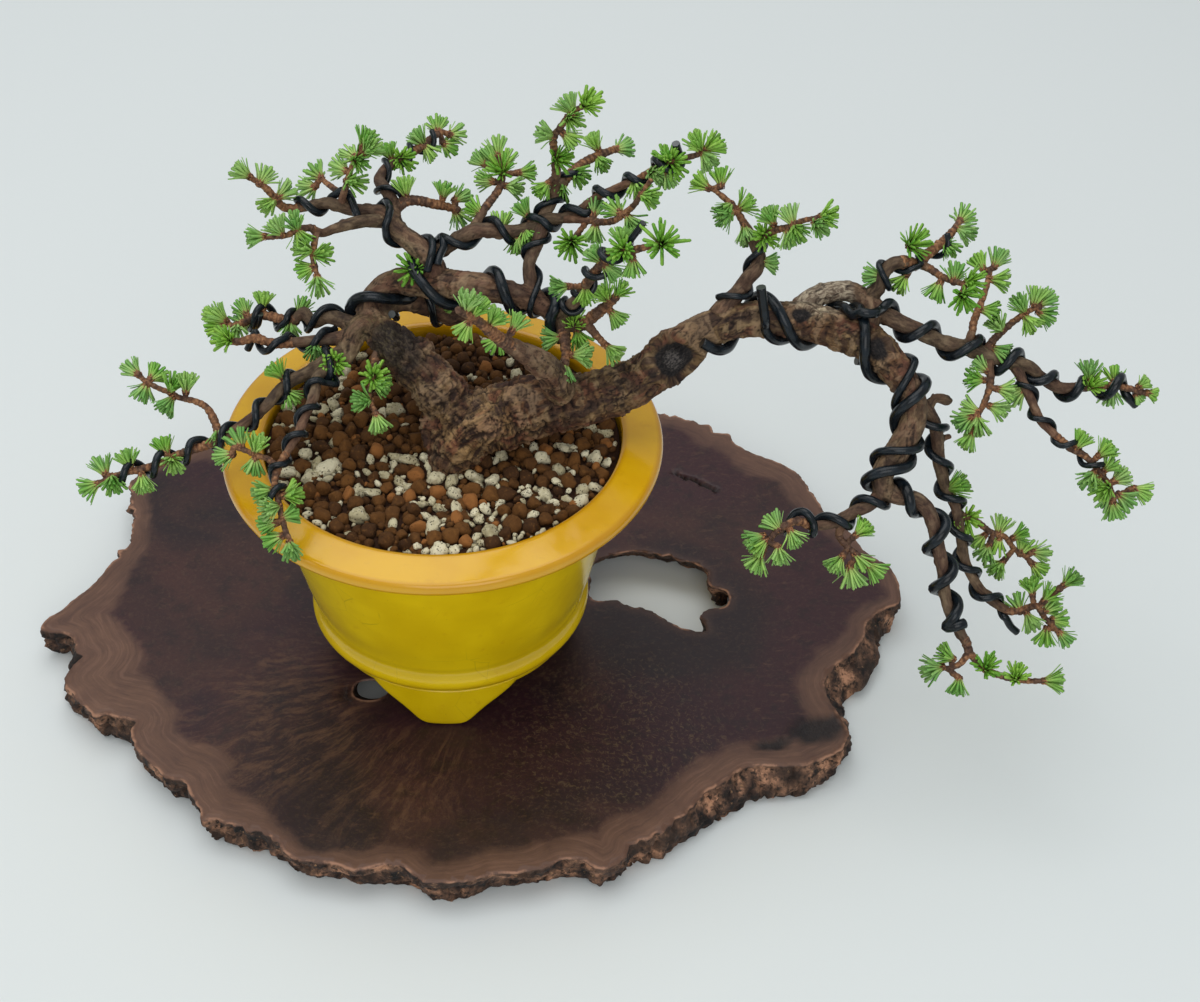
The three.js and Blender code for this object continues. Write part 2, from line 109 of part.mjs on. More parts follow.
// needle tufts: point on the twig, foot of the tuft, its direction, needle length
const TUFT = {
  shoot_upper_left_tip: [[-55.0,29.7,188.2,-54.4,30.4,188.3,0.62,0.78,0.1,7.1],[-59.5,29.0,194.6,-59.6,28.8,194.6,0.42,0.83,0.38,7.0],[-61.3,29.0,195.9,-62.6,29.0,197.1,-0.77,0.0,0.63,6.8],[-55.0,29.7,188.2,-55.1,29.5,188.2,-0.62,-0.77,-0.14,6.4]],
  shoot_upper_left_side: [[-42.4,49.0,184.4,-44.5,48.4,181.3,-0.74,0.48,-0.46,7.0]],
  shoot_lower_crown_left: [[-51.8,7.4,188.2,-50.0,8.6,188.1,-0.58,0.23,0.78,6.8],[-45.5,11.1,188.6,-45.6,11.2,188.7,0.44,-0.41,-0.8,6.8],[-52.4,7.0,188.4,-55.4,6.1,189.1,-0.89,-0.41,0.18,6.3]],
  shoot_lower_crown_hanging: [[-38.2,0.0,178.2,-38.4,-0.5,178.4,0.27,-0.87,-0.42,6.9],[-40.2,6.1,182.2,-40.0,6.0,182.3,0.89,-0.32,0.31,6.8],[-39.4,2.7,180.1,-39.6,2.7,180.0,-0.92,0.04,-0.4,6.4]],
  shoot_upper_left_rising: [[-31.4,35.8,191.9,-31.7,36.0,191.8,0.79,-0.57,0.22,7.1],[-26.4,38.0,202.5,-25.1,36.5,202.5,0.68,-0.31,0.67,6.8],[-30.5,37.0,194.6,-31.6,37.8,194.4,-0.79,0.6,-0.07,6.5]],
  shoot_back_tip: [[-9.0,72.2,184.2,-8.9,72.1,184.0,-0.63,0.14,0.77,6.8],[-4.0,79.3,184.6,-3.1,79.0,180.7,0.53,0.55,-0.64,6.4],[-16.6,63.3,183.8,-16.6,63.3,183.8,0.39,-0.86,0.34,6.3],[-3.6,80.0,184.6,-5.0,79.6,185.0,-0.07,0.98,0.19,6.2]],
  shoot_back_side: [[-12.4,40.3,181.6,-12.7,40.8,182.9,-0.23,0.32,0.92,7.2],[4.5,47.0,173.8,3.0,46.8,173.7,0.43,0.24,-0.87,7.0],[-1.4,45.1,176.7,-0.8,46.1,179.1,0.21,0.38,0.9,6.2]],
  shoot_left_upper: [[-76.5,24.0,141.3,-75.6,23.9,141.7,-0.77,0.28,0.58,7.1],[-71.8,23.2,140.5,-71.8,23.4,140.6,0.09,-0.99,-0.13,6.8],[-51.3,22.0,144.1,-50.5,24.0,145.0,0.33,0.86,0.39,6.7],[-67.7,24.4,142.2,-68.8,26.3,142.8,-0.47,0.85,0.24,6.2],[-62.9,24.9,144.0,-62.8,25.8,146.1,0.07,0.41,0.91,6.1],[-53.1,22.2,143.6,-53.1,22.0,143.5,0.14,-0.83,-0.54,6.1]],
  shoot_left_middle: [[-71.6,3.2,149.1,-70.2,2.8,149.3,-0.51,-0.58,0.63,6.6]],
  shoot_trunk_left: [[-21.7,-7.1,142.5,-21.7,-6.9,142.4,0.22,-0.7,0.68,7.0],[-20.0,-19.0,136.4,-20.2,-18.7,136.0,0.36,-0.7,-0.61,6.9],[-22.5,-14.9,138.7,-22.3,-14.8,138.6,-0.57,-0.64,0.51,6.8]],
  shoot_left_side: [[-89.5,-11.2,137.5,-89.3,-11.2,138.2,0.37,0.0,0.93,7.2],[-88.1,-11.4,136.9,-88.6,-12.2,136.5,-0.47,-0.79,-0.39,7.0],[-97.0,-9.3,140.4,-97.3,-9.5,140.0,-0.46,-0.33,-0.82,6.8],[-100.1,-8.0,143.3,-100.1,-7.7,142.3,-0.77,0.55,0.32,6.3],[-97.0,-9.3,140.4,-96.4,-8.0,140.6,0.46,0.88,0.15,6.3],[-72.9,-21.6,130.5,-72.9,-21.8,130.5,0.28,-0.92,-0.29,6.2]],
  shoot_left_tip: [[-109.2,-32.3,117.5,-109.9,-31.2,118.1,-0.47,0.77,0.42,7.2],[-111.5,-33.0,116.6,-112.6,-33.0,115.8,-0.89,-0.18,-0.41,7.1],[-107.8,-32.0,118.0,-107.9,-31.7,118.0,0.24,-0.97,-0.03,7.0],[-98.4,-30.3,120.1,-97.8,-31.8,119.1,0.31,-0.79,-0.52,6.8],[-101.2,-30.8,119.6,-101.6,-30.2,120.8,-0.29,0.44,0.85,6.7],[-88.7,-28.7,123.3,-89.5,-27.3,124.5,-0.4,0.7,0.59,6.5],[-87.6,-28.5,123.8,-87.6,-28.5,123.8,0.31,-0.94,0.1,6.3]],
  shoot_left_hanging_side: [[-63.7,-38.2,137.0,-61.9,-38.0,137.0,-0.45,0.85,0.29,6.8],[-57.5,-40.7,136.4,-57.2,-40.6,137.1,0.31,0.19,0.93,6.6],[-56.8,-41.0,136.3,-57.0,-41.3,135.6,-0.23,-0.32,-0.92,6.3]],
  shoot_left_hanging_tip: [[-47.7,-57.5,129.1,-47.9,-57.6,129.2,-0.69,-0.68,0.24,7.1],[-44.9,-64.6,123.5,-46.4,-64.5,122.6,-0.85,0.01,-0.53,6.7],[-43.4,-67.0,121.9,-43.8,-67.3,122.4,0.28,-0.92,-0.29,6.3],[-48.5,-55.1,130.7,-46.0,-55.6,131.8,0.9,-0.16,0.4,6.2]],
  shoot_crown_middle: [[18.3,58.0,184.8,17.5,60.6,187.1,-0.21,0.79,0.58,7.2],[18.9,56.0,183.4,19.0,56.2,183.1,-0.29,-0.52,0.81,7.2],[19.0,55.4,183.1,24.8,56.6,183.1,0.98,0.21,0.0,6.5],[18.8,51.2,181.4,20.8,50.4,181.6,0.92,-0.38,0.12,6.4],[12.8,36.8,179.0,12.7,36.9,179.0,-0.75,0.63,0.21,6.2]],
  shoot_apex: [[43.7,37.8,218.1,43.8,37.7,218.0,-0.51,0.35,0.79,7.1],[47.6,36.0,222.0,47.1,35.9,221.9,0.53,-0.49,0.69,7.0],[37.3,41.9,206.7,37.4,41.9,206.6,-0.87,-0.18,0.45,6.8],[39.0,41.1,209.6,40.2,41.0,208.6,0.75,-0.06,-0.66,6.8],[38.0,40.5,192.3,35.5,38.3,190.7,-0.67,-0.6,-0.43,6.2]],
  shoot_apex_right: [[58.1,64.0,188.7,58.1,64.1,188.5,0.69,0.7,-0.17,7.1],[40.0,43.9,187.0,40.0,44.1,187.1,-0.21,-0.92,-0.32,6.9],[43.5,49.7,188.4,43.4,49.8,188.4,0.71,-0.7,-0.08,6.7],[52.7,59.0,189.4,51.9,59.3,191.1,-0.43,0.16,0.89,6.5],[51.6,58.0,189.4,51.7,57.9,189.4,0.48,-0.8,-0.37,6.1]],
  shoot_crown_right_low: [[49.0,27.1,183.5,43.7,22.7,177.9,-0.04,-0.91,0.4,7.6],[61.3,15.0,194.6,61.9,14.2,194.1,0.54,-0.71,-0.45,7.1],[60.3,15.6,193.3,59.7,16.6,193.4,-0.52,0.85,0.06,6.6],[51.7,24.7,184.8,51.6,24.2,183.9,-0.13,-0.49,-0.86,6.5],[50.4,26.0,184.1,50.8,27.8,184.9,0.18,0.9,0.4,6.4],[66.3,12.2,203.7,66.4,12.1,203.7,0.74,-0.65,0.14,6.3]],
  shoot_crown_right_tip: [[76.1,29.5,205.1,76.0,29.8,205.0,0.19,-0.92,0.34,7.1],[87.6,30.0,210.1,87.1,29.8,210.1,0.79,0.1,0.6,7.1],[64.4,30.7,197.2,64.3,30.9,197.3,0.31,-0.85,-0.43,7.0]],
  shoot_centre_tip: [[98.7,34.1,184.0,97.3,33.1,183.7,-0.82,-0.53,-0.2,7.1],[101.3,31.5,181.0,101.5,30.4,180.3,0.19,-0.84,-0.51,7.1],[90.9,39.0,189.1,89.4,39.3,189.2,-0.86,0.43,0.28,7.0],[98.7,34.1,184.0,99.6,34.2,184.6,0.81,0.09,0.58,6.7]],
  shoot_centre_side: [[116.3,16.0,190.5,116.3,16.1,190.5,-0.39,0.75,0.53,7.2],[114.5,17.8,188.3,114.6,17.6,188.0,0.28,-0.43,-0.86,7.2],[122.6,10.6,197.1,122.3,9.1,196.1,0.48,-0.85,0.21,6.3],[108.1,23.8,180.8,108.1,23.7,180.8,-0.0,-0.82,0.57,6.2]],
  shoot_crown_front_rising: [[67.7,-14.0,201.3,72.5,-12.2,201.0,0.05,-0.7,0.71,9.2],[54.1,-4.7,188.4,54.5,-4.8,188.1,0.71,-0.28,-0.65,7.1],[63.4,-11.0,198.0,63.6,-12.1,195.7,0.07,-0.41,-0.91,6.7],[54.1,-4.7,188.4,53.6,-4.5,188.9,-0.68,0.22,0.7,6.3],[48.7,0.8,175.6,48.7,0.3,175.3,0.08,-0.84,-0.54,6.3],[48.7,0.8,175.6,42.9,-1.7,177.0,-0.9,-0.38,0.22,6.2],[60.6,-9.6,196.9,60.3,-8.6,198.5,-0.15,0.51,0.85,6.1]],
  shoot_crown_front_right: [[45.6,9.0,152.9,46.0,7.5,152.1,0.21,-0.88,-0.43,7.0],[55.6,9.0,161.8,57.0,8.3,160.3,0.67,-0.32,-0.66,6.8],[56.9,9.0,163.2,56.3,9.0,164.1,-0.53,-0.0,0.85,6.7],[55.5,2.0,150.8,56.3,1.3,150.8,0.69,-0.66,-0.3,6.5]],
  shoot_front: [[12.5,-40.0,193.6,12.6,-39.9,194.2,0.23,0.17,0.96,7.1],[21.9,-29.3,176.3,22.0,-29.3,176.4,-0.28,0.47,-0.84,6.7],[23.7,-27.1,172.9,26.1,-25.1,176.4,0.52,0.43,0.74,6.5],[14.5,-37.8,190.6,13.7,-38.1,189.1,-0.48,-0.17,-0.86,6.4],[18.7,-33.3,182.9,19.6,-33.0,184.2,0.58,0.17,0.79,6.3]],
  shoot_crown_front_hanging: [[42.6,-2.9,150.4,44.8,-3.5,150.6,0.96,-0.25,0.12,7.2],[42.3,-7.0,149.4,42.3,-6.2,148.9,-0.08,-0.8,-0.59,6.9],[41.9,3.9,152.4,40.3,3.4,152.5,-0.96,-0.28,0.04,6.8]],
  shoot_right_rising: [[163.7,29.4,170.2,157.7,31.3,172.7,0.43,-0.54,0.72,8.3],[168.1,18.0,169.6,167.4,17.3,168.0,-0.41,-0.36,-0.84,7.1],[174.0,8.0,173.9,174.1,8.6,174.0,0.56,-0.63,0.55,7.0],[174.2,40.1,174.8,175.0,39.5,174.8,0.76,-0.65,-0.0,6.9],[159.8,26.9,168.3,156.7,23.7,165.8,-0.61,-0.62,-0.49,6.8],[171.1,13.4,171.1,171.0,13.2,171.1,0.2,0.86,0.47,6.8],[176.4,43.0,176.3,176.0,42.9,175.4,0.47,0.88,-0.01,6.6],[169.7,34.4,172.7,170.0,33.9,172.6,0.57,-0.8,-0.17,6.2]],
  shoot_far_right_upper: [[185.3,26.0,167.2,186.7,27.0,167.8,0.43,0.8,0.42,7.0],[184.4,22.8,165.7,185.3,22.4,165.9,0.91,-0.38,0.17,6.8],[181.1,14.9,158.9,182.0,14.6,158.9,0.92,-0.38,0.06,6.5]],
  shoot_far_right_middle: [[197.0,14.7,157.6,196.8,14.8,157.8,-0.56,0.18,0.81,7.1],[201.8,16.0,159.8,201.6,16.8,159.7,0.8,0.52,0.29,7.1],[196.4,14.6,157.2,196.8,14.1,156.9,0.56,-0.76,-0.33,6.9],[189.4,11.0,152.8,189.4,11.0,152.8,-0.62,0.02,0.78,6.6],[184.9,7.5,149.1,186.3,6.7,148.9,0.86,-0.49,-0.11,6.5]],
  shoot_far_right_hanging: [[178.4,-13.0,133.8,180.5,-13.0,134.6,-0.01,-0.93,-0.37,7.1],[182.7,-9.2,137.3,184.7,-10.4,137.4,0.84,-0.54,0.04,6.8],[185.2,-3.0,142.2,182.4,-3.3,142.9,-0.97,-0.11,0.24,6.6]],
  shoot_far_right_tip: [[220.5,4.1,135.2,220.3,4.9,137.6,-0.05,0.33,0.94,7.1],[228.4,4.0,135.7,228.5,3.9,135.1,0.08,-0.17,-0.98,7.0],[238.1,3.2,134.1,237.5,3.9,135.7,0.76,0.07,0.64,4.2]],
  shoot_far_right_drooping: [[224.7,-29.0,118.7,224.5,-29.2,118.8,-0.67,-0.7,0.23,7.0],[226.3,-31.0,116.0,227.7,-30.3,116.7,0.84,-0.3,-0.46,7.0],[218.5,-23.4,124.6,220.8,-22.8,127.1,0.66,0.19,0.72,6.6],[212.8,-20.7,127.5,213.3,-20.4,128.3,0.52,0.33,0.79,6.5],[224.2,-28.5,119.4,226.0,-27.6,119.9,0.86,0.43,0.27,6.4]],
  shoot_lower_right_side: [[184.8,-19.3,93.6,181.5,-18.3,94.3,-0.04,-0.83,0.55,7.2],[194.1,-16.4,85.0,194.1,-16.3,85.1,0.35,0.8,0.49,7.2],[195.1,-16.2,84.6,194.8,-16.5,83.7,-0.27,-0.26,-0.93,7.0],[203.1,-16.0,75.9,203.1,-16.2,75.9,0.28,0.96,-0.07,6.9],[192.2,-16.8,86.0,190.3,-21.4,83.9,-0.36,-0.85,-0.38,6.6],[198.2,-15.9,81.7,199.9,-15.5,82.6,0.87,0.22,0.44,6.3],[205.6,-16.0,74.1,207.9,-17.1,72.0,0.76,-0.15,-0.64,6.3]],
  shoot_lower_right_tip: [[207.8,-35.2,68.2,209.7,-34.4,70.7,0.6,0.22,0.77,7.2],[202.1,-34.0,65.2,202.2,-34.3,65.1,-0.24,0.92,0.32,7.1],[214.3,-37.7,60.6,211.6,-38.0,60.8,-0.13,-0.6,-0.79,7.0],[207.8,-35.2,68.2,215.6,-33.8,77.8,0.63,0.11,0.77,6.9],[203.6,-34.1,66.0,204.3,-35.8,65.4,0.38,-0.87,-0.32,6.9],[206.4,-34.8,68.5,205.3,-33.4,73.3,-0.23,0.27,0.94,6.1],[213.6,-37.3,61.2,213.3,-35.6,62.5,0.87,0.43,-0.23,6.1]],
  shoot_cascade_tip: [[174.9,-59.0,61.2,172.5,-59.1,62.2,-0.95,-0.3,0.01,7.9],[207.8,-60.0,57.2,207.9,-59.8,57.0,0.98,-0.13,0.15,7.5],[187.9,-56.2,58.6,187.9,-56.1,58.4,0.03,-0.41,0.91,6.9],[174.9,-59.0,61.2,178.3,-61.5,59.3,-0.17,-0.84,-0.52,6.4],[198.5,-58.0,55.8,198.5,-58.0,55.9,-0.07,-0.28,0.96,6.1]],
  shoot_cascade_left: [[110.4,-48.0,108.9,108.8,-47.2,110.3,-0.95,-0.3,-0.11,7.2],[110.4,-48.0,108.9,108.4,-49.9,104.3,-0.53,-0.48,-0.7,7.0],[114.1,-45.5,112.0,114.2,-45.6,111.9,-0.59,0.75,0.31,6.9],[110.4,-48.0,108.9,113.8,-49.7,107.9,0.08,-0.78,-0.62,6.7],[116.4,-44.7,113.3,117.5,-46.1,112.2,0.51,-0.67,-0.54,6.7]],
  shoot_cascade_left_spur: [[141.1,-43.0,99.2,138.7,-45.5,95.9,0.29,-0.54,-0.79,8.4],[141.1,-43.0,99.2,144.9,-44.8,96.2,0.78,-0.32,-0.54,7.0],[137.1,-41.1,101.8,140.4,-40.2,105.2,0.69,0.19,0.7,6.4],[138.3,-42.0,100.9,135.7,-44.9,99.4,-0.62,-0.69,-0.37,6.4]],
  tuft_upper_limb: [[-11.0,23.2,160.2,-9.6,23.1,165.0,-0.15,-0.66,0.74,7.5]],
  tuft_right_fork: [[148.5,21.0,167.1,148.7,20.9,167.2,-0.88,0.4,-0.25,7.2]],
  tuft_lower_right_branch: [[173.5,-17.0,105.7,173.3,-17.0,105.6,0.82,-0.12,0.57,8.7]],
};
// training wires: radius and route in mm
const WIRE = {
  wire_thick_upper_limb: [1.75, [[-25.8,18.8,144.5],[-30.0,19.4,148.1],[-31.8,18.7,152.8],[-29.8,17.0,157.2],[-25.3,16.1,159.0],[-20.7,16.5,157.9],[-16.9,18.7,155.4],[-13.5,22.0,152.9],[-10.1,25.9,153.4],[-9.0,29.6,156.8],[-8.9,30.2,162.4],[-10.3,26.9,166.7],[-9.9,20.7,167.8],[-6.7,15.5,165.9],[-3.1,12.3,162.3],[1.1,12.3,158.3],[5.6,15.1,156.0],[9.7,18.9,156.5],[13.0,21.8,160.0],[15.6,22.0,164.9],[17.8,19.3,169.1],[19.7,14.5,170.6],[21.2,9.8,168.5],[22.5,7.6,164.1],[23.8,8.5,159.3],[25.6,11.8,156.0],[28.3,15.8,155.3],[31.8,18.6,157.0],[35.3,18.7,160.1],[37.7,15.9,162.8],[38.6,11.7,163.5],[38.0,7.8,161.8],[37.1,6.1,158.4],[36.5,6.3,154.3],[37.4,6.6,150.9],[40.4,7.0,148.3]]],
  wire_upper_left_crown: [1.25, [[-4.9,16.4,169.1],[-3.1,19.5,173.4],[-2.4,24.0,175.6],[-3.8,29.0,175.0],[-7.0,31.9,172.3],[-11.5,31.6,170.1],[-15.9,29.4,170.5],[-18.8,27.3,173.6],[-19.2,27.1,178.0],[-17.8,29.4,181.9],[-17.3,33.2,184.2],[-18.9,37.2,183.6],[-21.5,39.2,180.4],[-23.8,38.3,177.0],[-26.1,34.8,175.9],[-27.6,31.6,177.8],[-28.6,30.7,181.6],[-29.5,32.7,184.6],[-30.9,37.2,186.1],[-34.4,37.9,187.2],[-37.4,37.8,184.9],[-39.0,36.8,181.8],[-40.0,33.7,180.4],[-41.2,30.8,181.3],[-42.9,29.5,183.7],[-45.0,30.2,186.1],[-47.1,32.3,186.8],[-49.1,34.7,185.9]]],
  wire_crown_right: [1.25, [[-0.8,17.7,171.1],[0.7,23.1,174.8],[-0.3,28.0,176.5],[-1.8,31.1,172.8],[-3.5,31.4,170.1],[-3.8,31.2,169.6],[-3.0,31.3,170.9],[-1.6,30.6,173.4],[-0.3,28.4,176.0],[1.8,25.3,176.8],[5.1,23.5,175.6],[8.3,24.2,173.7],[10.5,27.2,172.5],[11.9,30.9,172.8],[13.6,33.8,174.8],[15.5,34.5,178.2],[17.5,32.4,180.8],[19.4,29.1,180.7],[21.1,26.8,178.1],[22.8,26.8,174.5],[24.6,29.2,172.1],[26.2,32.7,172.5],[27.1,34.9,175.4],[27.8,34.6,179.1],[28.7,32.3,181.9],[30.9,29.5,183.2],[34.3,27.6,182.7],[36.9,27.5,180.4],[38.1,29.6,177.6],[39.0,33.0,177.4],[39.8,35.3,179.8],[40.6,35.2,183.0],[41.6,33.1,185.3],[43.4,30.6,186.4],[46.1,28.8,186.2],[49.3,28.8,185.7],[51.4,30.6,184.9],[52.2,33.5,185.8],[51.9,35.2,188.3],[51.3,34.9,191.2],[51.4,32.7,193.3],[52.7,30.0,193.7],[55.0,28.4,192.6],[57.6,28.7,191.3],[59.8,30.6,190.9],[61.0,32.9,192.1],[61.4,34.2,194.6],[61.4,33.6,197.4],[61.8,31.5,199.2],[63.1,29.0,199.5],[65.2,27.5,198.6],[67.8,27.8,197.6],[69.8,29.6,197.5],[70.8,31.8,198.8],[70.8,33.0,201.3],[70.6,32.5,203.9],[70.9,30.4,205.7],[72.1,28.0,205.8],[74.1,26.7,204.7],[76.4,27.1,203.4],[78.2,28.8,203.1],[79.6,31.1,203.9],[78.3,31.3,208.2],[77.3,30.6,211.6]]],
  wire_rear_limb: [1.25, [[-16.2,16.1,152.3],[-15.4,18.9,148.3],[-16.1,22.2,144.9],[-17.5,26.6,143.5],[-17.9,31.2,145.2],[-16.1,33.9,149.2],[-12.1,33.6,152.6],[-7.7,30.5,153.2],[-4.9,26.8,150.4],[-4.0,25.1,145.5],[-4.0,26.2,140.3],[-3.5,29.9,137.0],[-1.7,35.0,135.8]]],
  wire_crown_back: [0.9, [[-15.2,41.3,176.7],[-14.3,42.7,180.1],[-15.0,43.0,183.4],[-17.9,42.7,185.5],[-21.3,42.9,185.2],[-23.6,44.1,182.9],[-23.8,46.2,180.3],[-22.2,48.7,179.2],[-20.4,50.8,180.4],[-19.1,52.2,183.1],[-19.1,53.9,185.6],[-20.5,56.3,187.1],[-22.1,58.9,186.6],[-22.5,61.0,184.4],[-21.0,62.0,181.9],[-18.3,61.9,180.7],[-15.4,61.7,181.4],[-13.4,62.2,183.4],[-12.9,64.0,185.6],[-13.4,66.6,186.6],[-14.0,69.2,185.9],[-13.7,71.1,184.0],[-12.0,71.9,182.0],[-9.5,71.8,181.2],[-7.0,71.6,182.2],[-5.6,72.0,184.4],[-5.5,73.4,186.5],[-6.4,75.6,187.8]]],
  wire_left_upper: [1.15, [[-32.4,18.9,145.6],[-34.4,21.0,148.8],[-37.3,21.2,151.5],[-40.8,19.2,152.1],[-43.4,17.1,150.0],[-45.1,16.0,146.2],[-46.8,16.9,142.8],[-47.6,20.4,141.7],[-48.1,24.1,142.3],[-49.9,26.2,143.8],[-52.1,25.6,145.8],[-53.5,23.0,147.1],[-54.9,20.5,146.5],[-56.2,19.4,144.1],[-57.3,20.5,141.4],[-58.1,23.2,140.2],[-58.9,26.2,141.1],[-60.0,27.8,143.6],[-61.6,27.1,146.3],[-63.4,24.9,147.3],[-64.8,22.6,146.1],[-65.5,21.6,143.4],[-66.3,22.2,140.7],[-67.5,23.8,138.5],[-64.9,23.1,141.0],[-63.3,22.6,146.2]]],
  wire_left_middle: [1.15, [[-36.8,12.4,147.0],[-38.5,10.4,149.6],[-40.0,7.6,150.6],[-41.4,4.6,149.4],[-42.9,3.2,146.7],[-44.7,4.1,143.9],[-46.7,6.6,142.7],[-48.8,8.9,143.7],[-50.6,9.7,146.3],[-52.1,8.4,148.9],[-53.4,5.6,150.0],[-54.8,2.9,149.2],[-56.8,1.6,147.3],[-59.0,2.4,145.3],[-60.8,4.7,144.8],[-62.0,7.0,146.2],[-62.6,8.6,148.7],[-64.4,8.5,145.1],[-66.1,8.3,141.5]]],
  wire_left_tip: [1.15, [[-29.7,5.1,139.1],[-33.6,5.9,140.7],[-37.3,5.6,143.0],[-39.1,3.5,146.8],[-38.2,0.0,148.4],[-36.1,-4.6,147.4],[-35.1,-7.4,144.1],[-37.1,-7.1,140.0],[-41.5,-5.3,138.4],[-45.7,-3.8,138.2],[-49.0,-3.5,140.6],[-50.7,-5.3,143.4],[-50.8,-8.6,144.9],[-49.9,-11.9,144.1],[-49.4,-13.8,141.3],[-50.1,-13.9,138.0],[-52.3,-12.9,135.7],[-55.4,-12.2,135.2],[-58.3,-12.8,136.5],[-60.0,-15.0,138.2],[-60.2,-18.1,139.1],[-59.5,-21.1,138.1],[-59.1,-22.8,135.4],[-59.9,-22.7,132.4],[-61.9,-21.3,130.4],[-64.7,-19.9,130.3],[-67.5,-19.8,131.7],[-69.5,-21.4,133.3],[-70.5,-24.3,133.9],[-70.6,-27.1,132.7],[-70.7,-28.5,130.0],[-71.4,-27.8,127.0],[-73.0,-25.7,125.4],[-75.2,-23.6,125.6],[-77.6,-23.0,127.3],[-79.6,-24.2,129.2],[-80.9,-26.8,129.8],[-81.5,-29.5,128.6],[-82.0,-30.7,126.1],[-82.7,-30.1,123.4],[-84.2,-28.1,121.9],[-86.2,-26.2,122.0],[-88.5,-25.5,123.3],[-90.6,-26.6,124.8],[-91.9,-28.9,125.2],[-92.6,-31.3,124.0],[-93.1,-32.5,121.6],[-94.0,-31.9,119.0],[-95.4,-30.1,117.6],[-97.3,-28.2,118.0],[-99.2,-27.4,119.7],[-100.9,-28.4,121.6],[-102.1,-30.6,122.4],[-102.9,-32.9,121.5],[-103.6,-34.1,119.4],[-104.5,-33.7,117.0],[-105.8,-32.1,115.8],[-107.5,-30.1,115.7]]],
  wire_left_hanging: [1.05, [[-37.6,-1.6,140.1],[-34.8,-4.9,139.8],[-33.9,-8.6,140.3],[-36.4,-10.4,142.6],[-39.4,-11.5,144.9],[-42.2,-12.2,144.7],[-44.0,-12.7,142.2],[-43.8,-13.4,139.2],[-41.9,-14.6,137.1],[-39.5,-16.6,136.8],[-38.3,-18.8,138.4],[-39.0,-20.8,140.6],[-41.2,-22.2,141.9],[-44.0,-23.1,141.5],[-45.9,-23.9,139.4],[-46.0,-25.1,136.8],[-44.5,-26.7,134.9],[-42.4,-28.7,134.9],[-41.3,-30.8,136.5],[-41.9,-32.5,138.7],[-44.1,-33.6,140.0],[-46.8,-34.2,139.5],[-48.5,-34.6,137.5],[-48.7,-35.4,134.9],[-47.7,-36.9,132.9],[-46.3,-39.1,132.5],[-45.7,-41.5,133.5],[-46.5,-43.5,135.1],[-48.5,-44.9,136.0],[-51.0,-45.7,135.7],[-52.6,-46.0,133.7],[-52.5,-46.5,131.1],[-50.7,-47.2,129.4],[-48.5,-48.5,129.4],[-47.1,-50.1,130.9],[-47.1,-51.9,132.6],[-48.3,-53.9,133.6],[-49.8,-55.6,133.0],[-50.9,-56.9,131.0]]],
  wire_thick_trunk_to_cascade: [1.7, [[88.0,-0.4,153.7],[93.2,1.6,149.2],[97.0,5.9,146.3],[99.4,12.2,146.0],[101.3,17.8,149.1],[103.5,20.4,154.9],[106.2,18.8,160.9],[109.5,13.9,164.2],[112.8,8.0,163.3],[115.8,4.1,158.6],[118.5,3.7,152.3],[121.8,6.8,147.1],[125.9,12.1,145.2],[130.7,16.7,147.3],[135.4,18.4,152.4],[139.2,15.7,157.8],[141.3,9.7,160.8],[141.9,2.8,159.7],[141.7,-2.0,154.9],[142.0,-3.2,148.4],[143.9,-1.6,142.3],[148.1,1.0,138.4],[154.1,2.7,137.6],[159.9,1.8,139.3],[163.5,-2.1,142.3],[163.6,-7.6,144.4],[160.5,-12.4,144.3],[156.2,-14.7,141.8],[153.0,-14.2,137.6],[152.2,-12.4,132.8],[153.6,-11.2,127.9],[156.4,-12.4,123.9],[159.1,-16.2,121.7],[159.8,-21.3,121.5],[157.7,-25.9,122.7],[153.4,-28.5,123.8],[148.3,-29.2,123.7],[144.1,-28.4,121.2],[142.6,-26.5,116.8],[144.6,-24.6,113.1],[148.7,-23.3,111.8],[152.5,-23.3,113.3],[155.0,-25.0,116.3],[156.2,-28.2,118.3],[156.9,-32.2,118.4],[157.6,-35.1,116.2],[158.3,-35.7,112.6],[159.1,-33.9,109.5],[160.4,-31.2,107.2],[163.1,-29.0,106.1],[166.8,-28.4,106.0],[170.1,-30.0,106.3],[171.8,-33.4,106.4],[171.2,-37.0,105.7],[168.8,-39.5,104.0],[166.2,-40.0,101.5],[164.7,-38.7,98.4],[165.1,-36.6,95.6],[167.5,-34.9,93.5],[170.9,-34.8,92.5],[174.0,-36.6,92.2],[175.4,-39.8,92.2],[174.8,-43.2,91.7],[172.4,-45.5,90.4],[169.7,-45.9,88.3],[168.0,-44.5,85.6],[168.1,-42.3,83.0],[170.2,-40.6,80.9],[173.5,-40.5,79.9],[176.3,-42.1,79.9],[177.8,-45.1,80.2],[177.4,-48.4,80.0],[175.8,-50.9,78.8],[174.0,-51.9,76.4],[172.6,-51.5,73.3],[176.1,-52.8,75.5],[180.0,-51.8,76.4]]],
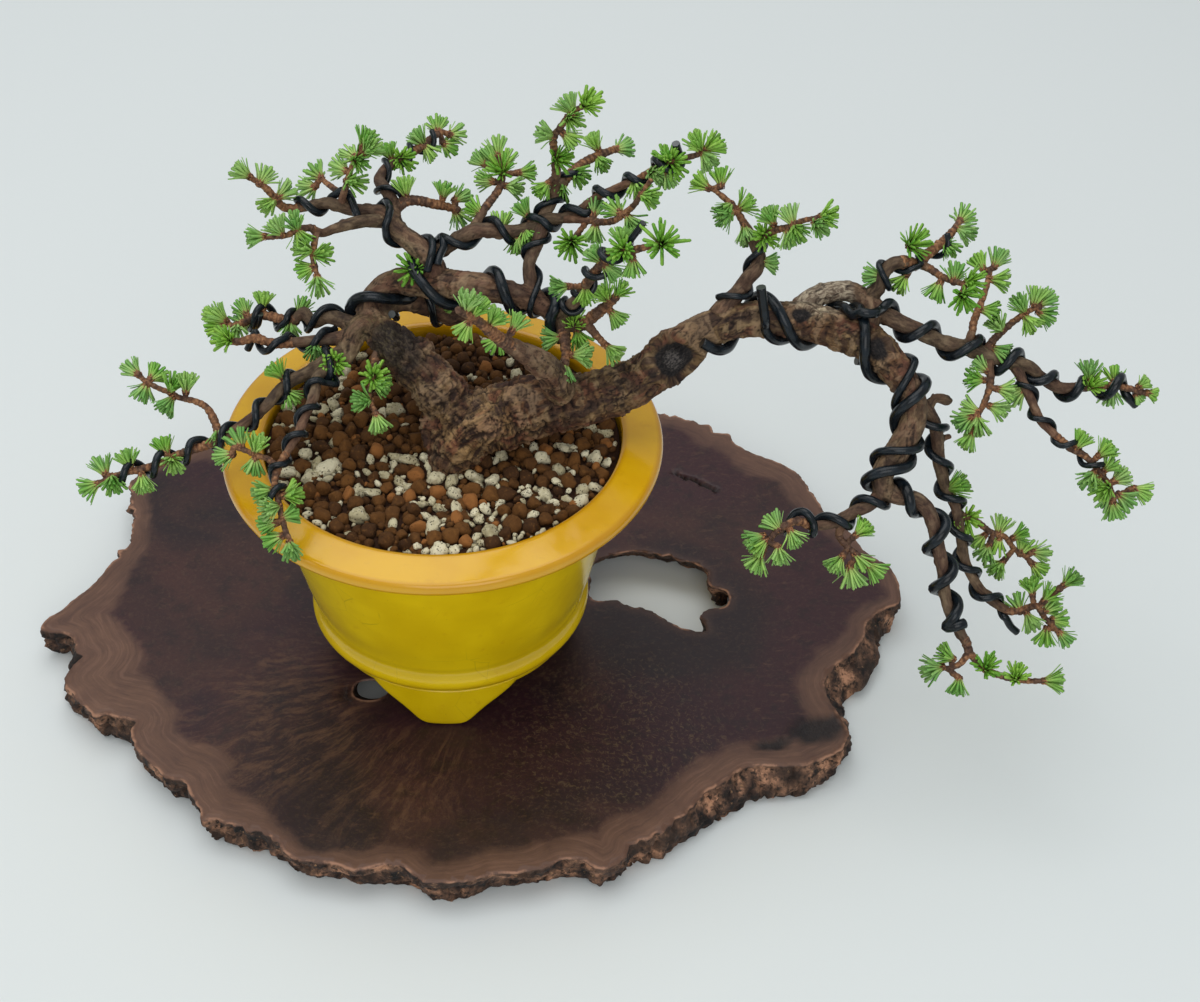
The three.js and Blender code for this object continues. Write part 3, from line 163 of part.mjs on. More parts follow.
  wire_trunk_to_far_right: [1.5, [[106.2,3.4,174.6],[108.1,2.7,163.3],[108.8,2.8,159.4],[109.4,2.9,155.4],[113.1,6.5,149.5],[117.4,11.7,146.4],[122.9,17.1,147.6],[129.1,19.8,152.3],[134.3,17.2,157.6],[136.2,12.4,161.5],[138.3,7.4,162.8],[141.1,4.8,163.8],[143.9,5.1,163.3],[146.1,7.4,162.6],[148.2,10.6,162.4],[150.8,14.1,162.2],[152.9,16.4,159.7],[153.9,16.4,155.4],[154.1,13.8,151.8],[154.5,9.5,150.5],[156.1,5.6,152.0],[159.0,4.1,155.0],[162.5,5.6,157.3],[165.3,8.9,157.2],[167.1,12.0,154.5],[168.0,12.9,150.2],[168.7,10.8,146.5],[169.8,6.8,145.1],[171.8,3.2,146.5],[174.5,1.8,149.6],[177.8,2.8,152.3],[181.2,5.6,153.0],[182.2,9.1,151.0],[182.6,10.2,147.2],[184.0,8.3,143.5],[185.7,5.1,141.7],[187.9,1.6,142.5],[189.6,-0.2,145.7],[191.7,0.9,148.9],[193.9,4.0,149.9],[195.6,6.9,148.1],[196.5,7.7,144.7],[196.7,6.0,141.5],[197.3,2.9,139.6],[199.3,-0.1,139.4],[202.4,-1.2,140.5],[205.6,0.0,141.6],[207.8,2.9,141.5],[208.8,5.7,139.6],[209.1,7.1,136.2],[209.6,6.3,132.8],[211.0,3.7,130.9],[213.1,0.8,131.5],[215.1,-0.3,134.1],[216.6,0.7,137.1],[217.9,3.3,138.7],[219.4,6.2,138.2],[221.0,7.6,135.9],[222.7,7.0,133.4],[224.3,4.6,132.1],[225.7,2.0,132.8],[227.1,0.6,135.1],[228.6,1.2,137.6],[230.1,3.4,138.9],[231.4,5.9,138.1],[232.4,7.3,135.7],[233.3,6.8,133.2],[234.3,4.7,131.1],[236.2,4.5,129.2],[238.1,4.2,127.4]]],
  wire_cascade_left: [1.3, [[140.1,4.7,142.6],[146.9,7.5,141.6],[153.6,7.9,143.2],[158.4,4.4,146.8],[159.5,-1.8,149.3],[157.2,-7.8,148.6],[153.7,-10.9,144.5],[152.0,-10.8,138.8],[153.3,-9.2,133.3],[156.8,-9.2,128.8],[160.8,-12.0,126.2],[162.8,-17.2,126.0],[160.9,-22.4,127.7],[156.1,-24.9,129.2],[150.5,-24.1,128.9],[146.6,-21.2,125.9],[146.0,-19.1,121.0],[148.5,-19.0,115.2],[151.1,-20.6,109.6],[151.4,-26.3,108.7],[150.8,-31.8,110.3],[148.9,-34.6,113.5],[145.3,-33.9,115.6],[142.2,-31.5,114.9],[140.3,-29.8,112.1],[139.6,-30.3,108.7],[139.6,-33.0,106.3],[139.3,-36.5,106.0],[138.1,-39.1,107.7],[135.9,-39.9,110.1],[133.2,-38.8,111.6],[130.5,-36.9,111.4],[128.1,-35.9,109.7],[126.2,-36.9,107.3],[125.3,-39.5,105.8],[125.2,-42.8,106.4],[125.5,-44.6,109.0],[125.5,-44.3,112.2],[124.4,-42.4,114.6],[122.3,-40.4,115.2],[119.8,-39.5,114.0],[118.0,-40.6,112.1],[117.4,-43.0,110.7],[117.0,-45.8,109.9]]],
  wire_lower_right: [1.25, [[160.5,-5.7,131.7],[161.7,-8.9,130.1],[164.2,-11.4,129.3],[167.8,-12.2,128.9],[171.1,-10.6,128.0],[172.5,-7.7,126.1],[171.2,-5.3,123.4],[168.4,-5.0,120.9],[165.9,-7.3,119.2],[165.3,-10.9,118.2],[167.2,-14.0,117.7],[170.6,-15.2,116.8],[173.7,-14.4,115.1],[175.1,-12.5,112.3],[174.3,-11.2,109.0],[172.1,-11.7,106.2],[170.0,-14.4,104.7],[169.8,-18.0,104.7],[171.9,-20.9,105.5],[175.5,-21.9,105.9],[178.7,-20.8,104.8],[180.1,-18.8,102.3],[179.2,-17.4,99.2],[176.9,-17.7,96.6],[175.1,-20.0,94.9],[174.9,-23.4,94.1],[176.9,-26.1,93.7],[180.0,-27.1,93.0],[182.6,-26.0,91.3],[183.5,-23.9,89.0],[182.3,-22.2,86.3],[180.0,-22.4,84.0],[178.1,-24.4,82.2],[178.1,-27.5,81.4],[180.1,-30.0,81.2],[183.3,-30.6,81.0],[186.1,-29.4,80.0],[187.5,-27.3,78.0],[187.1,-26.0,75.1],[185.8,-26.4,72.2],[184.8,-28.8,70.3],[185.3,-31.9,69.8],[187.4,-34.1,70.4],[190.5,-34.4,71.2],[193.3,-33.0,71.2],[195.1,-30.9,69.8],[195.8,-29.7,67.1],[195.9,-30.2,64.2],[195.9,-32.4,62.4],[196.3,-35.6,62.1],[199.2,-35.8,59.4],[202.1,-36.1,56.7]]],
  wire_right_rising: [1.0, [[151.8,17.4,164.2],[149.7,17.1,167.7],[147.5,18.5,170.5],[146.3,21.8,171.7],[147.2,25.2,170.7],[149.8,26.3,168.7],[152.7,25.1,167.2],[155.6,23.3,167.0],[158.3,22.2,168.2],[160.4,23.1,170.4],[160.9,25.6,171.8],[160.3,28.8,171.9],[160.8,31.5,170.9],[163.0,32.8,169.2],[165.9,32.4,168.3],[168.7,31.3,169.1],[170.5,30.7,171.4],[171.0,31.7,174.1],[170.5,34.0,176.3]]],
  wire_far_right_drooping: [0.9, [[193.2,-3.4,141.4],[195.4,-5.1,142.6],[198.0,-5.9,142.6],[200.4,-5.8,141.1],[201.3,-5.6,138.4],[200.7,-6.1,135.7],[199.1,-7.7,134.0],[197.9,-10.2,133.6],[198.1,-12.8,134.5],[199.9,-14.5,135.6],[202.6,-14.8,135.9],[205.0,-14.1,134.9],[206.4,-13.5,132.8],[206.7,-14.0,130.2],[206.3,-15.7,128.3],[206.1,-18.2,127.7],[206.8,-20.6,128.5],[208.6,-21.7,129.9],[211.0,-21.3,130.8],[213.0,-19.9,130.3],[214.4,-18.7,128.6],[215.0,-18.7,126.3],[215.1,-20.1,124.4],[215.3,-22.4,123.8],[216.0,-24.5,124.2],[217.7,-25.8,125.2],[219.8,-25.9,125.6],[222.0,-25.1,125.2]]],
  wire_centre_branch: [1.0, [[91.8,13.1,164.4],[95.4,11.3,165.7],[99.3,10.6,165.6],[102.8,11.9,164.3],[104.5,15.2,163.1],[104.2,19.0,163.4],[102.8,21.8,165.7],[102.0,22.5,169.0],[102.5,21.7,172.4],[104.3,20.9,175.1],[106.9,21.5,176.8],[108.9,23.9,177.0],[108.9,26.9,175.9],[106.9,29.1,174.5],[104.1,29.9,174.4],[101.1,29.5,175.9]]],
  wire_apex_and_front: [1.0, [[45.6,52.3,185.1],[46.4,49.5,186.4],[46.1,47.4,188.4],[44.2,46.4,190.6],[41.2,46.1,191.2],[38.4,46.4,189.8],[37.2,46.1,186.8],[37.9,44.8,184.0],[39.5,42.5,182.6],[40.7,39.5,183.1],[40.0,36.9,184.9],[37.4,34.9,185.9],[34.0,34.3,185.6],[31.3,34.7,183.4],[31.0,35.0,180.1],[32.8,34.0,177.3],[34.9,31.4,175.9],[36.5,28.1,175.9],[36.2,24.7,176.9],[33.7,22.4,177.8],[30.2,21.9,177.5],[27.5,22.9,175.4],[26.9,24.0,172.2],[28.7,24.2,169.2],[31.4,22.6,167.7],[33.6,19.6,167.4],[33.9,15.9,167.0],[32.4,12.1,165.7],[30.9,8.5,163.3],[30.0,8.0,158.9],[30.6,10.7,155.1],[33.1,14.6,154.0],[36.4,16.9,155.6],[39.2,16.6,158.2],[41.1,14.4,160.5],[41.7,11.4,164.2],[39.8,5.8,164.4],[43.2,3.4,161.8],[46.6,4.3,161.9],[48.5,6.1,163.8],[48.5,7.6,166.7],[46.8,7.7,169.4],[44.9,6.0,171.2],[44.1,3.0,172.0],[45.1,0.1,172.2],[47.7,-1.5,172.5],[50.6,-1.3,173.6],[52.3,0.3,175.6],[52.1,1.9,178.2],[50.6,2.1,180.8],[48.9,0.6,182.7],[48.3,-2.2,183.7],[49.5,-4.9,183.8],[52.2,-6.2,183.9],[55.0,-5.8,184.7],[56.7,-4.3,186.4],[56.7,-2.9,188.9],[55.4,-2.7,191.4],[53.9,-4.2,193.3],[53.4,-6.9,194.0],[54.6,-9.3,193.8],[57.0,-10.3,193.2],[59.5,-9.7,193.2],[61.5,-8.4,194.3],[62.7,-7.5,196.3],[63.0,-8.0,198.7],[62.9,-9.8,200.7],[64.8,-9.9,204.2],[66.7,-10.1,207.7]]],
};
const SLAB_OUTLINE = [[77.7,134.6],[105.2,123.8],[121.5,107.8],[137.5,95.4],[146.3,73.8],[158.7,53.1],[170.5,38.9],[171.5,22.0],[161.2,-5.2],[147.9,-30.3],[145.8,-46.9],[134.7,-61.1],[123.5,-69.2],[105.6,-75.4],[91.3,-86.6],[70.4,-98.9],[56.8,-104.8],[36.5,-107.3],[16.5,-113.3],[3.1,-113.6],[-17.6,-108.5],[-38.4,-103.9],[-56.4,-96.5],[-71.1,-90.2],[-84.9,-79.7],[-104.0,-60.7],[-112.9,-50.9],[-126.7,-45.1],[-138.3,-32.9],[-143.4,-17.8],[-153.0,-7.6],[-156.5,3.0],[-146.3,14.1],[-135.6,28.3],[-131.4,37.0],[-132.7,54.4],[-134.9,72.5],[-136.4,84.9],[-132.0,94.5],[-101.4,111.5],[-62.0,124.0],[-18.0,131.5],[34.0,135.0]];
const SLAB_HOLE = [[54.0,41.7],[70.9,46.2],[86.7,42.5],[96.4,37.0],[97.4,28.5],[104.6,24.8],[103.6,17.6],[93.9,13.5],[95.5,3.8],[86.0,6.3],[74.7,14.1],[63.1,19.3],[52.3,20.2]];
const SLAB_SMALL_HOLE = [-28.6, -30.3];

const wasm = await Module();
wasm.setup();
const { Manifold, Mesh } = wasm;

function solid(verts, tris) {
  return new Manifold(
    new Mesh({ numProp: 3, vertProperties: new Float32Array(verts), triVerts: new Uint32Array(tris) }),
  );
}
function solidOfGeometry(geometry) {
  const g = geometry.index ? geometry.toNonIndexed() : geometry;
  const p = g.attributes.position.array;
  const seen = new Map();
  const verts = [];
  const tris = [];
  for (let i = 0; i < p.length; i += 3) {
    const key = [p[i], p[i + 1], p[i + 2]].map((v) => Math.round(v * 1e3)).join();
    if (!seen.has(key)) {
      seen.set(key, verts.length / 3);
      verts.push(p[i], p[i + 1], p[i + 2]);
    }
    tris.push(seen.get(key));
  }
  const kept = [];
  for (let i = 0; i < tris.length; i += 3) {
    const [a, b, c] = [tris[i], tris[i + 1], tris[i + 2]];
    if (a !== b && b !== c && a !== c) kept.push(a, b, c);
  }
  return solid(verts, kept);
}
const unite = (list) => (list.length === 1 ? list[0] : Manifold.union(list));
function largest(m) {
  const parts = m.decompose();
  parts.sort((a, b) => b.volume() - a.volume());
  return parts[0];
}
const V = (a) => new THREE.Vector3(a[0], a[1], a[2]);

// A closed tube of varying radius along a run of points [x, y, z, radius].
function tube(points, sides, grow = 0, endGrow = grow) {
  const n = points.length;
  const P = points.map(V);
  const T = P.map((_, i) => P[Math.min(i + 1, n - 1)].clone().sub(P[Math.max(i - 1, 0)]).normalize());
  if (endGrow) {
    P[0].addScaledVector(T[0], -endGrow);
    P[n - 1].addScaledVector(T[n - 1], endGrow);
  }
  let u = new THREE.Vector3(0, 0, 1).cross(T[0]);
  if (u.length() < 0.1) u = new THREE.Vector3(1, 0, 0).cross(T[0]);
  u.normalize();
  const verts = [];
  const tris = [];
  for (let i = 0; i < n; i++) {
    u.addScaledVector(T[i], -u.dot(T[i])).normalize();
    const v = T[i].clone().cross(u);
    const r = points[i][3] + grow;
    for (let k = 0; k < sides; k++) {
      const a = (2 * Math.PI * k) / sides;
      const q = P[i].clone().addScaledVector(u, r * Math.cos(a)).addScaledVector(v, r * Math.sin(a));
      verts.push(q.x, q.y, q.z);
    }
  }
  for (let i = 0; i < n - 1; i++)
    for (let k = 0; k < sides; k++) {
      const a = i * sides + k;
      const b = i * sides + ((k + 1) % sides);
      tris.push(a, b, b + sides, a, b + sides, a + sides);
    }
  for (let k = 1; k < sides - 1; k++) {
    tris.push(0, k + 1, k);
    const e = (n - 1) * sides;
    tris.push(e, e + k, e + k + 1);
  }
  return solid(verts, tris);
}
const sidesFor = (r) => (r > 5.5 ? 9 : r > 3 ? 7 : r > 1.6 ? 5 : 4);

// A tuft of needles: a narrow foot that flares to a ragged rim with a hollow middle.
function tuft([ax, ay, az, bx, by, bz, dx, dy, dz, length], grow = 0, stalk = 0) {
  const d = new THREE.Vector3(dx, dy, dz).normalize();
  const b = new THREE.Vector3(bx, by, bz).addScaledVector(d, -grow);
  const foot = new THREE.Vector3(ax, ay, az).lerp(b, stalk);
  let u = new THREE.Vector3(0, 0, 1).cross(d);
  if (u.length() < 0.1) u = new THREE.Vector3(1, 0, 0).cross(d);
  u.normalize();
  const v = d.clone().cross(u);
  const at = (o, r, h, a) => {
    const q = o.clone().addScaledVector(d, h).addScaledVector(u, r * Math.cos(a)).addScaledVector(v, r * Math.sin(a));
    return [q.x, q.y, q.z];
  };
  const m = 6;
  const verts = [];
  const tris = [];
  for (let k = 0; k < 3; k++) verts.push(...at(foot, 0.7 + grow, 0, (2 * Math.PI * k) / 3));
  for (let k = 0; k < 3; k++) verts.push(...at(b, 0.9 + grow, 0.4, (2 * Math.PI * k) / 3));
  for (let k = 0; k < m; k++) {
    const out = k % 2 === 0;
    verts.push(...at(b, (out ? 0.56 : 0.4) * length + grow * 1.2, (out ? 0.74 : 0.86) * length + grow * 1.8, (2 * Math.PI * k) / m));
  }
  verts.push(...at(b, 0, 0.78 * length + 2.4 * grow, 0));
  tris.push(0, 2, 1);
  for (let k = 0; k < 3; k++) {
    const c = (k + 1) % 3;
    const e = 6 + 2 * k;
    const f = e + 1;
    const g = 6 + ((2 * k + 2) % m);
    tris.push(k, c, c + 3, k, c + 3, k + 3);
    tris.push(k + 3, f, e, k + 3, c + 3, f, c + 3, g, f);
  }
  for (let k = 0; k < m; k++) tris.push(6 + k, 6 + ((k + 1) % m), 6 + m);
  return solid(verts, tris);
}

const slice = (line, from, to) => line.slice(from, to);
// Point on a line a little past index i, for the clearance between old wood and a shoot.
function past(line, i, d) {
  const a = line[i];
  const b = line[i + 1] ?? line[i];
  const L = Math.hypot(b[0] - a[0], b[1] - a[1], b[2] - a[2]) || 1;
  const t = Math.min(0.8, d / L);
  return a.map((v, k) => v + (b[k] - v) * t);
}
function woodLine(name) {
  const line = BRANCH[name];
  const end = WOOD_END[name];
  if (end === undefined) return line;
  if (end === 0) return null;
  return slice(line, 0, end + 1);
}
const smoothed = new Set([]);
function smoothLine(line) {
  const out = [];
  for (let i = 0; i < line.length - 1; i++) {
    const p0 = line[Math.max(i - 1, 0)];
    const p1 = line[i];
    const p2 = line[i + 1];
    const p3 = line[Math.min(i + 2, line.length - 1)];
    out.push(p1);
    out.push(p1.map((_, k) => (-p0[k] + 9 * p1[k] + 9 * p2[k] - p3[k]) / 16));
  }
  out.push(line[line.length - 1]);
  return out;
}
function woodTube(name, grow = 0) {
  let line = woodLine(name);
  if (!line) return null;
  const r = line.reduce((s, p) => s + p[3], 0) / line.length;
  if (smoothed.has(name)) line = smoothLine(line);
  return tube(line, sidesFor(r), grow);
}

// Old wood, one piece from the soil to the ends of its limbs
const woodTubes = Object.keys(BRANCH).map((n) => woodTube(n)).filter(Boolean);
const wireTubes = Object.entries(WIRE).map(([n, [r, line]]) => [n, tube(line.map((p) => [...p, r]), 4)]);
const wireGrown = Object.entries(WIRE).map(([, [r, line]]) => tube(line.map((p) => [...p, r + 0.22]), 6, 0, 0.22));
const wood = largest(unite(woodTubes).subtract(unite(wireGrown)).simplify(0.25));
const wireClear = unite(Object.entries(WIRE).map(([, [r, line]]) => tube(line.map((p) => [...p, r + 0.6]), 6, 0, 0.6)));
const woodClear = unite(Object.keys(BRANCH).map((n) => woodTube(n, GAP + 0.25)).filter(Boolean));
const woodGrown = unite(Object.keys(BRANCH).map((n) => woodTube(n, GAP)).filter(Boolean));

// Young shoots with their needle tufts
const shootSolids = [];
const shootGrown = [];
for (const name of [...Object.keys(SHOOT), ...Object.keys(TUFT).filter((n) => !SHOOT[n])]) {
  const parts = [];
  const grown = [];
  for (const [branch, from] of SHOOT[name] ?? []) {
    let line = BRANCH[branch].slice(from);
    if (from > 0) line = [past(BRANCH[branch], from, GAP + 0.2), ...line.slice(1)];
    if (line.length < 2) continue;
    const sides = 4;
    parts.push(tube(line, sides));
    grown.push(tube(line, sides, 2 * GAP));
  }
  for (const t of TUFT[name] ?? []) {
    parts.push(tuft(t, 0, SHOOT[name] ? 0 : 0.75));
    grown.push(tuft(t, 2 * GAP));
  }
  let m = unite(parts);
  m = m.subtract(woodClear).subtract(wireClear);
  for (const g of shootGrown) {
    const a = m.boundingBox();
    const b = g.boundingBox();
    if ([0, 1, 2].every((k) => a.min[k] < b.max[k] && b.min[k] < a.max[k])) m = m.subtract(g);
  }
  m = largest(m.simplify(0.3));
  shootSolids.push([name, m]);
  shootGrown.push(unite(grown));
}

// Pot: glazed body turned in one piece, three bracket feet, one drainage hole
const z = (v) => v + RIM_Z;
const profile = [
  [0, -79], [43.5, -79], [46.6, -77], [47.2, -72.8], [50.3, -71.4], [51, -68.8], [50.2, -65.4], [49.3, -63.8],
  [52.4, -52], [56, -36], [59.6, -21], [62.6, -9], [66, -4.2], [71.6, -1.4], [75.6, 0.2],
  [RIM_R, 2], [75, 4.3], [69, 5.4], [63, 6.1], [61.9, 5], [61.6, -1], [59.2, -9],
  [55.4, -21], [51.6, -36], [48, -52], [45.4, -62], [40.6, -71], [0, -72],
];
const around = 24;
function turned(points, sides) {
  const g = new THREE.LatheGeometry(points.map(([r, h]) => new THREE.Vector2(r, h)), sides);
  g.rotateX(Math.PI / 2);
  const m = solidOfGeometry(g);
  return m.volume() < 0 ? solidOfGeometry(flipped(g)) : m;
}
function flipped(g) {
  const f = g.toNonIndexed();
  const p = f.attributes.position.array;
  for (let i = 0; i < p.length; i += 9)
    for (let k = 0; k < 3; k++) [p[i + 3 + k], p[i + 6 + k]] = [p[i + 6 + k], p[i + 3 + k]];
  return f;
}
let pot = turned(profile.map(([r, h]) => [r, z(h)]), around);
const footRing = turned([[37, FOOT_Z], [45.8, FOOT_Z], [47, z(-78)], [46, z(-76)], [37, z(-76)], [37, FOOT_Z]], around);
const footShape = new THREE.Shape();
[[-6, 0], [6, 0], [8.4, 1.8], [10.2, 4.4], [12.2, 7.2], [14.4, 10.4], [18.6, 13.2], [24, 16], [25.5, 17.4],
  [-25.5, 17.4], [-24, 16], [-18.6, 13.2], [-14.4, 10.4], [-12.2, 7.2], [-10.2, 4.4], [-8.4, 1.8]].forEach(([x, y], i) => (i ? footShape.lineTo(x, y) : footShape.moveTo(x, y)));
for (let i = 0; i < FOOT_COUNT; i++) {
  const g = new THREE.ExtrudeGeometry(footShape, { depth: 60, bevelEnabled: false });
  g.rotateX(Math.PI / 2);
  g.translate(0, 0, FOOT_Z - 0.2);
  g.rotateZ((2 * Math.PI * i) / FOOT_COUNT);
  pot = pot.add(solidOfGeometry(g).intersect(footRing));
}
const drain = new THREE.CylinderGeometry(DRAIN_R, DRAIN_R, 20, 12);
drain.rotateX(Math.PI / 2);
drain.translate(0, 0, z(-75));
pot = pot.subtract(solidOfGeometry(drain)).simplify(0.06);

// Soil: fills the pot and mounds towards the trunk
const soilProfile = [
  [0, -71.7], [40.1, -70.7], [44.9, -62], [47.5, -52], [51.1, -36], [54.9, -21], [58.7, -9],
  [SOIL_EDGE_R, -2], [SOIL_EDGE_R, 1.4], [50, 2.2], [32, 2.8], [14, 3.4], [0, 3.6],
];
let soilBody = turned(soilProfile.map(([r, h]) => [r, z(h)]), 24);
soilBody = soilBody.warp((p) => {
  if (p[2] > z(0)) p[2] += 0.9 * Math.sin(p[0] * 0.31 + 1) * Math.cos(p[1] * 0.27) * Math.min(1, (SOIL_EDGE_R - Math.hypot(p[0], p[1])) / 8);
});
const soil = largest(soilBody.subtract(woodGrown).subtract(unite(wireGrown)).simplify(0.1));

// Burl slab, cut flat underneath and on top, with a natural edge
function inset(points, d) {
  const n = points.length;
  return points.map((p, i) => {
    const a = points[(i + n - 1) % n];
    const b = points[(i + 1) % n];
    const t = new THREE.Vector2(b[0] - a[0], b[1] - a[1]).normalize();
    return [p[0] - t.y * d, p[1] + t.x * d];
  });
}
const ccw = (points) => (THREE.ShapeUtils.area(points.map((p) => new THREE.Vector2(p[0], p[1]))) > 0 ? points : [...points].reverse());
const hole2 = [0, 1, 2, 3, 4, 5, 6].map((k) => [SLAB_SMALL_HOLE[0] + 6 * Math.cos(k * 0.9), SLAB_SMALL_HOLE[1] + 4.6 * Math.sin(k * 0.9)]);
const edges = [ccw(SLAB_OUTLINE), [...ccw(SLAB_HOLE)].reverse(), [...ccw(hole2)].reverse()];
const levels = [[0, 3.2], [4, 0.8], [SLAB_T - 3.5, 0], [SLAB_T, 1.6]];
// the small knot hole runs down and away from the front, so the table shows through it
const ring = (e, k, h, d) => (k === 2 ? inset(e, d * 0.3).map(([x, y]) => [x, y + (1 - h / SLAB_T) * 15.5]) : inset(e, d));
const slabVerts = [];
const slabTris = [];
const start = [];
for (const [h, d] of levels) {
  start.push(slabVerts.length / 3);
  edges.forEach((e, k) => ring(e, k, h, d).forEach(([x, y]) => slabVerts.push(x, y, h)));
}
for (let l = 0; l < levels.length - 1; l++) {
  let o = 0;
  for (const e of edges) {
    for (let i = 0; i < e.length; i++) {
      const a = start[l] + o + i;
      const b = start[l] + o + ((i + 1) % e.length);
      const up = start[l + 1] - start[l];
      slabTris.push(a, b, b + up, a, b + up, a + up);
    }
    o += e.length;
  }
}
for (const l of [0, levels.length - 1]) {
  const pts = edges.map((e, k) => ring(e, k, ...levels[l]).map(([x, y]) => new THREE.Vector2(x, y)));
  for (const [a, b, c] of THREE.ShapeUtils.triangulateShape(pts[0], [pts[1], pts[2]])) {
    if (l === 0) slabTris.push(start[l] + a, start[l] + c, start[l] + b);
    else slabTris.push(start[l] + a, start[l] + b, start[l] + c);
  }
}
const slab = solid(slabVerts, slabTris);

const part = new THREE.Group();
part.name = "larch_bonsai";
function add(name, m, color, roughness, metalness = 0) {
  const mesh = m.getMesh();
  const g = new THREE.BufferGeometry();
  g.setAttribute("position", new THREE.BufferAttribute(new Float32Array(mesh.vertProperties), 3));
  g.setIndex(new THREE.BufferAttribute(new Uint32Array(mesh.triVerts), 1));
  g.computeVertexNormals();
  const material = new THREE.MeshStandardMaterial({ color, roughness, metalness });
  material.name = name + "_finish";
  const out = new THREE.Mesh(g, material);
  out.name = name;
  part.add(out);
}
add("display_slab", slab, "#4a2c24", 0.42);
add("pot", pot, "#d9b50a", 0.22);
add("soil", soil, "#6b4a35", 0.95);
add("trunk_and_branches", wood, "#6e5547", 0.9);
for (const [name, m] of wireTubes) add(name, m, "#14181d", 0.35, 0.6);
for (const [name, m] of shootSolids) add(name, m, name.startsWith("tuft") ? "#4f9a3c" : "#5a8f42", 0.7);

export default part;
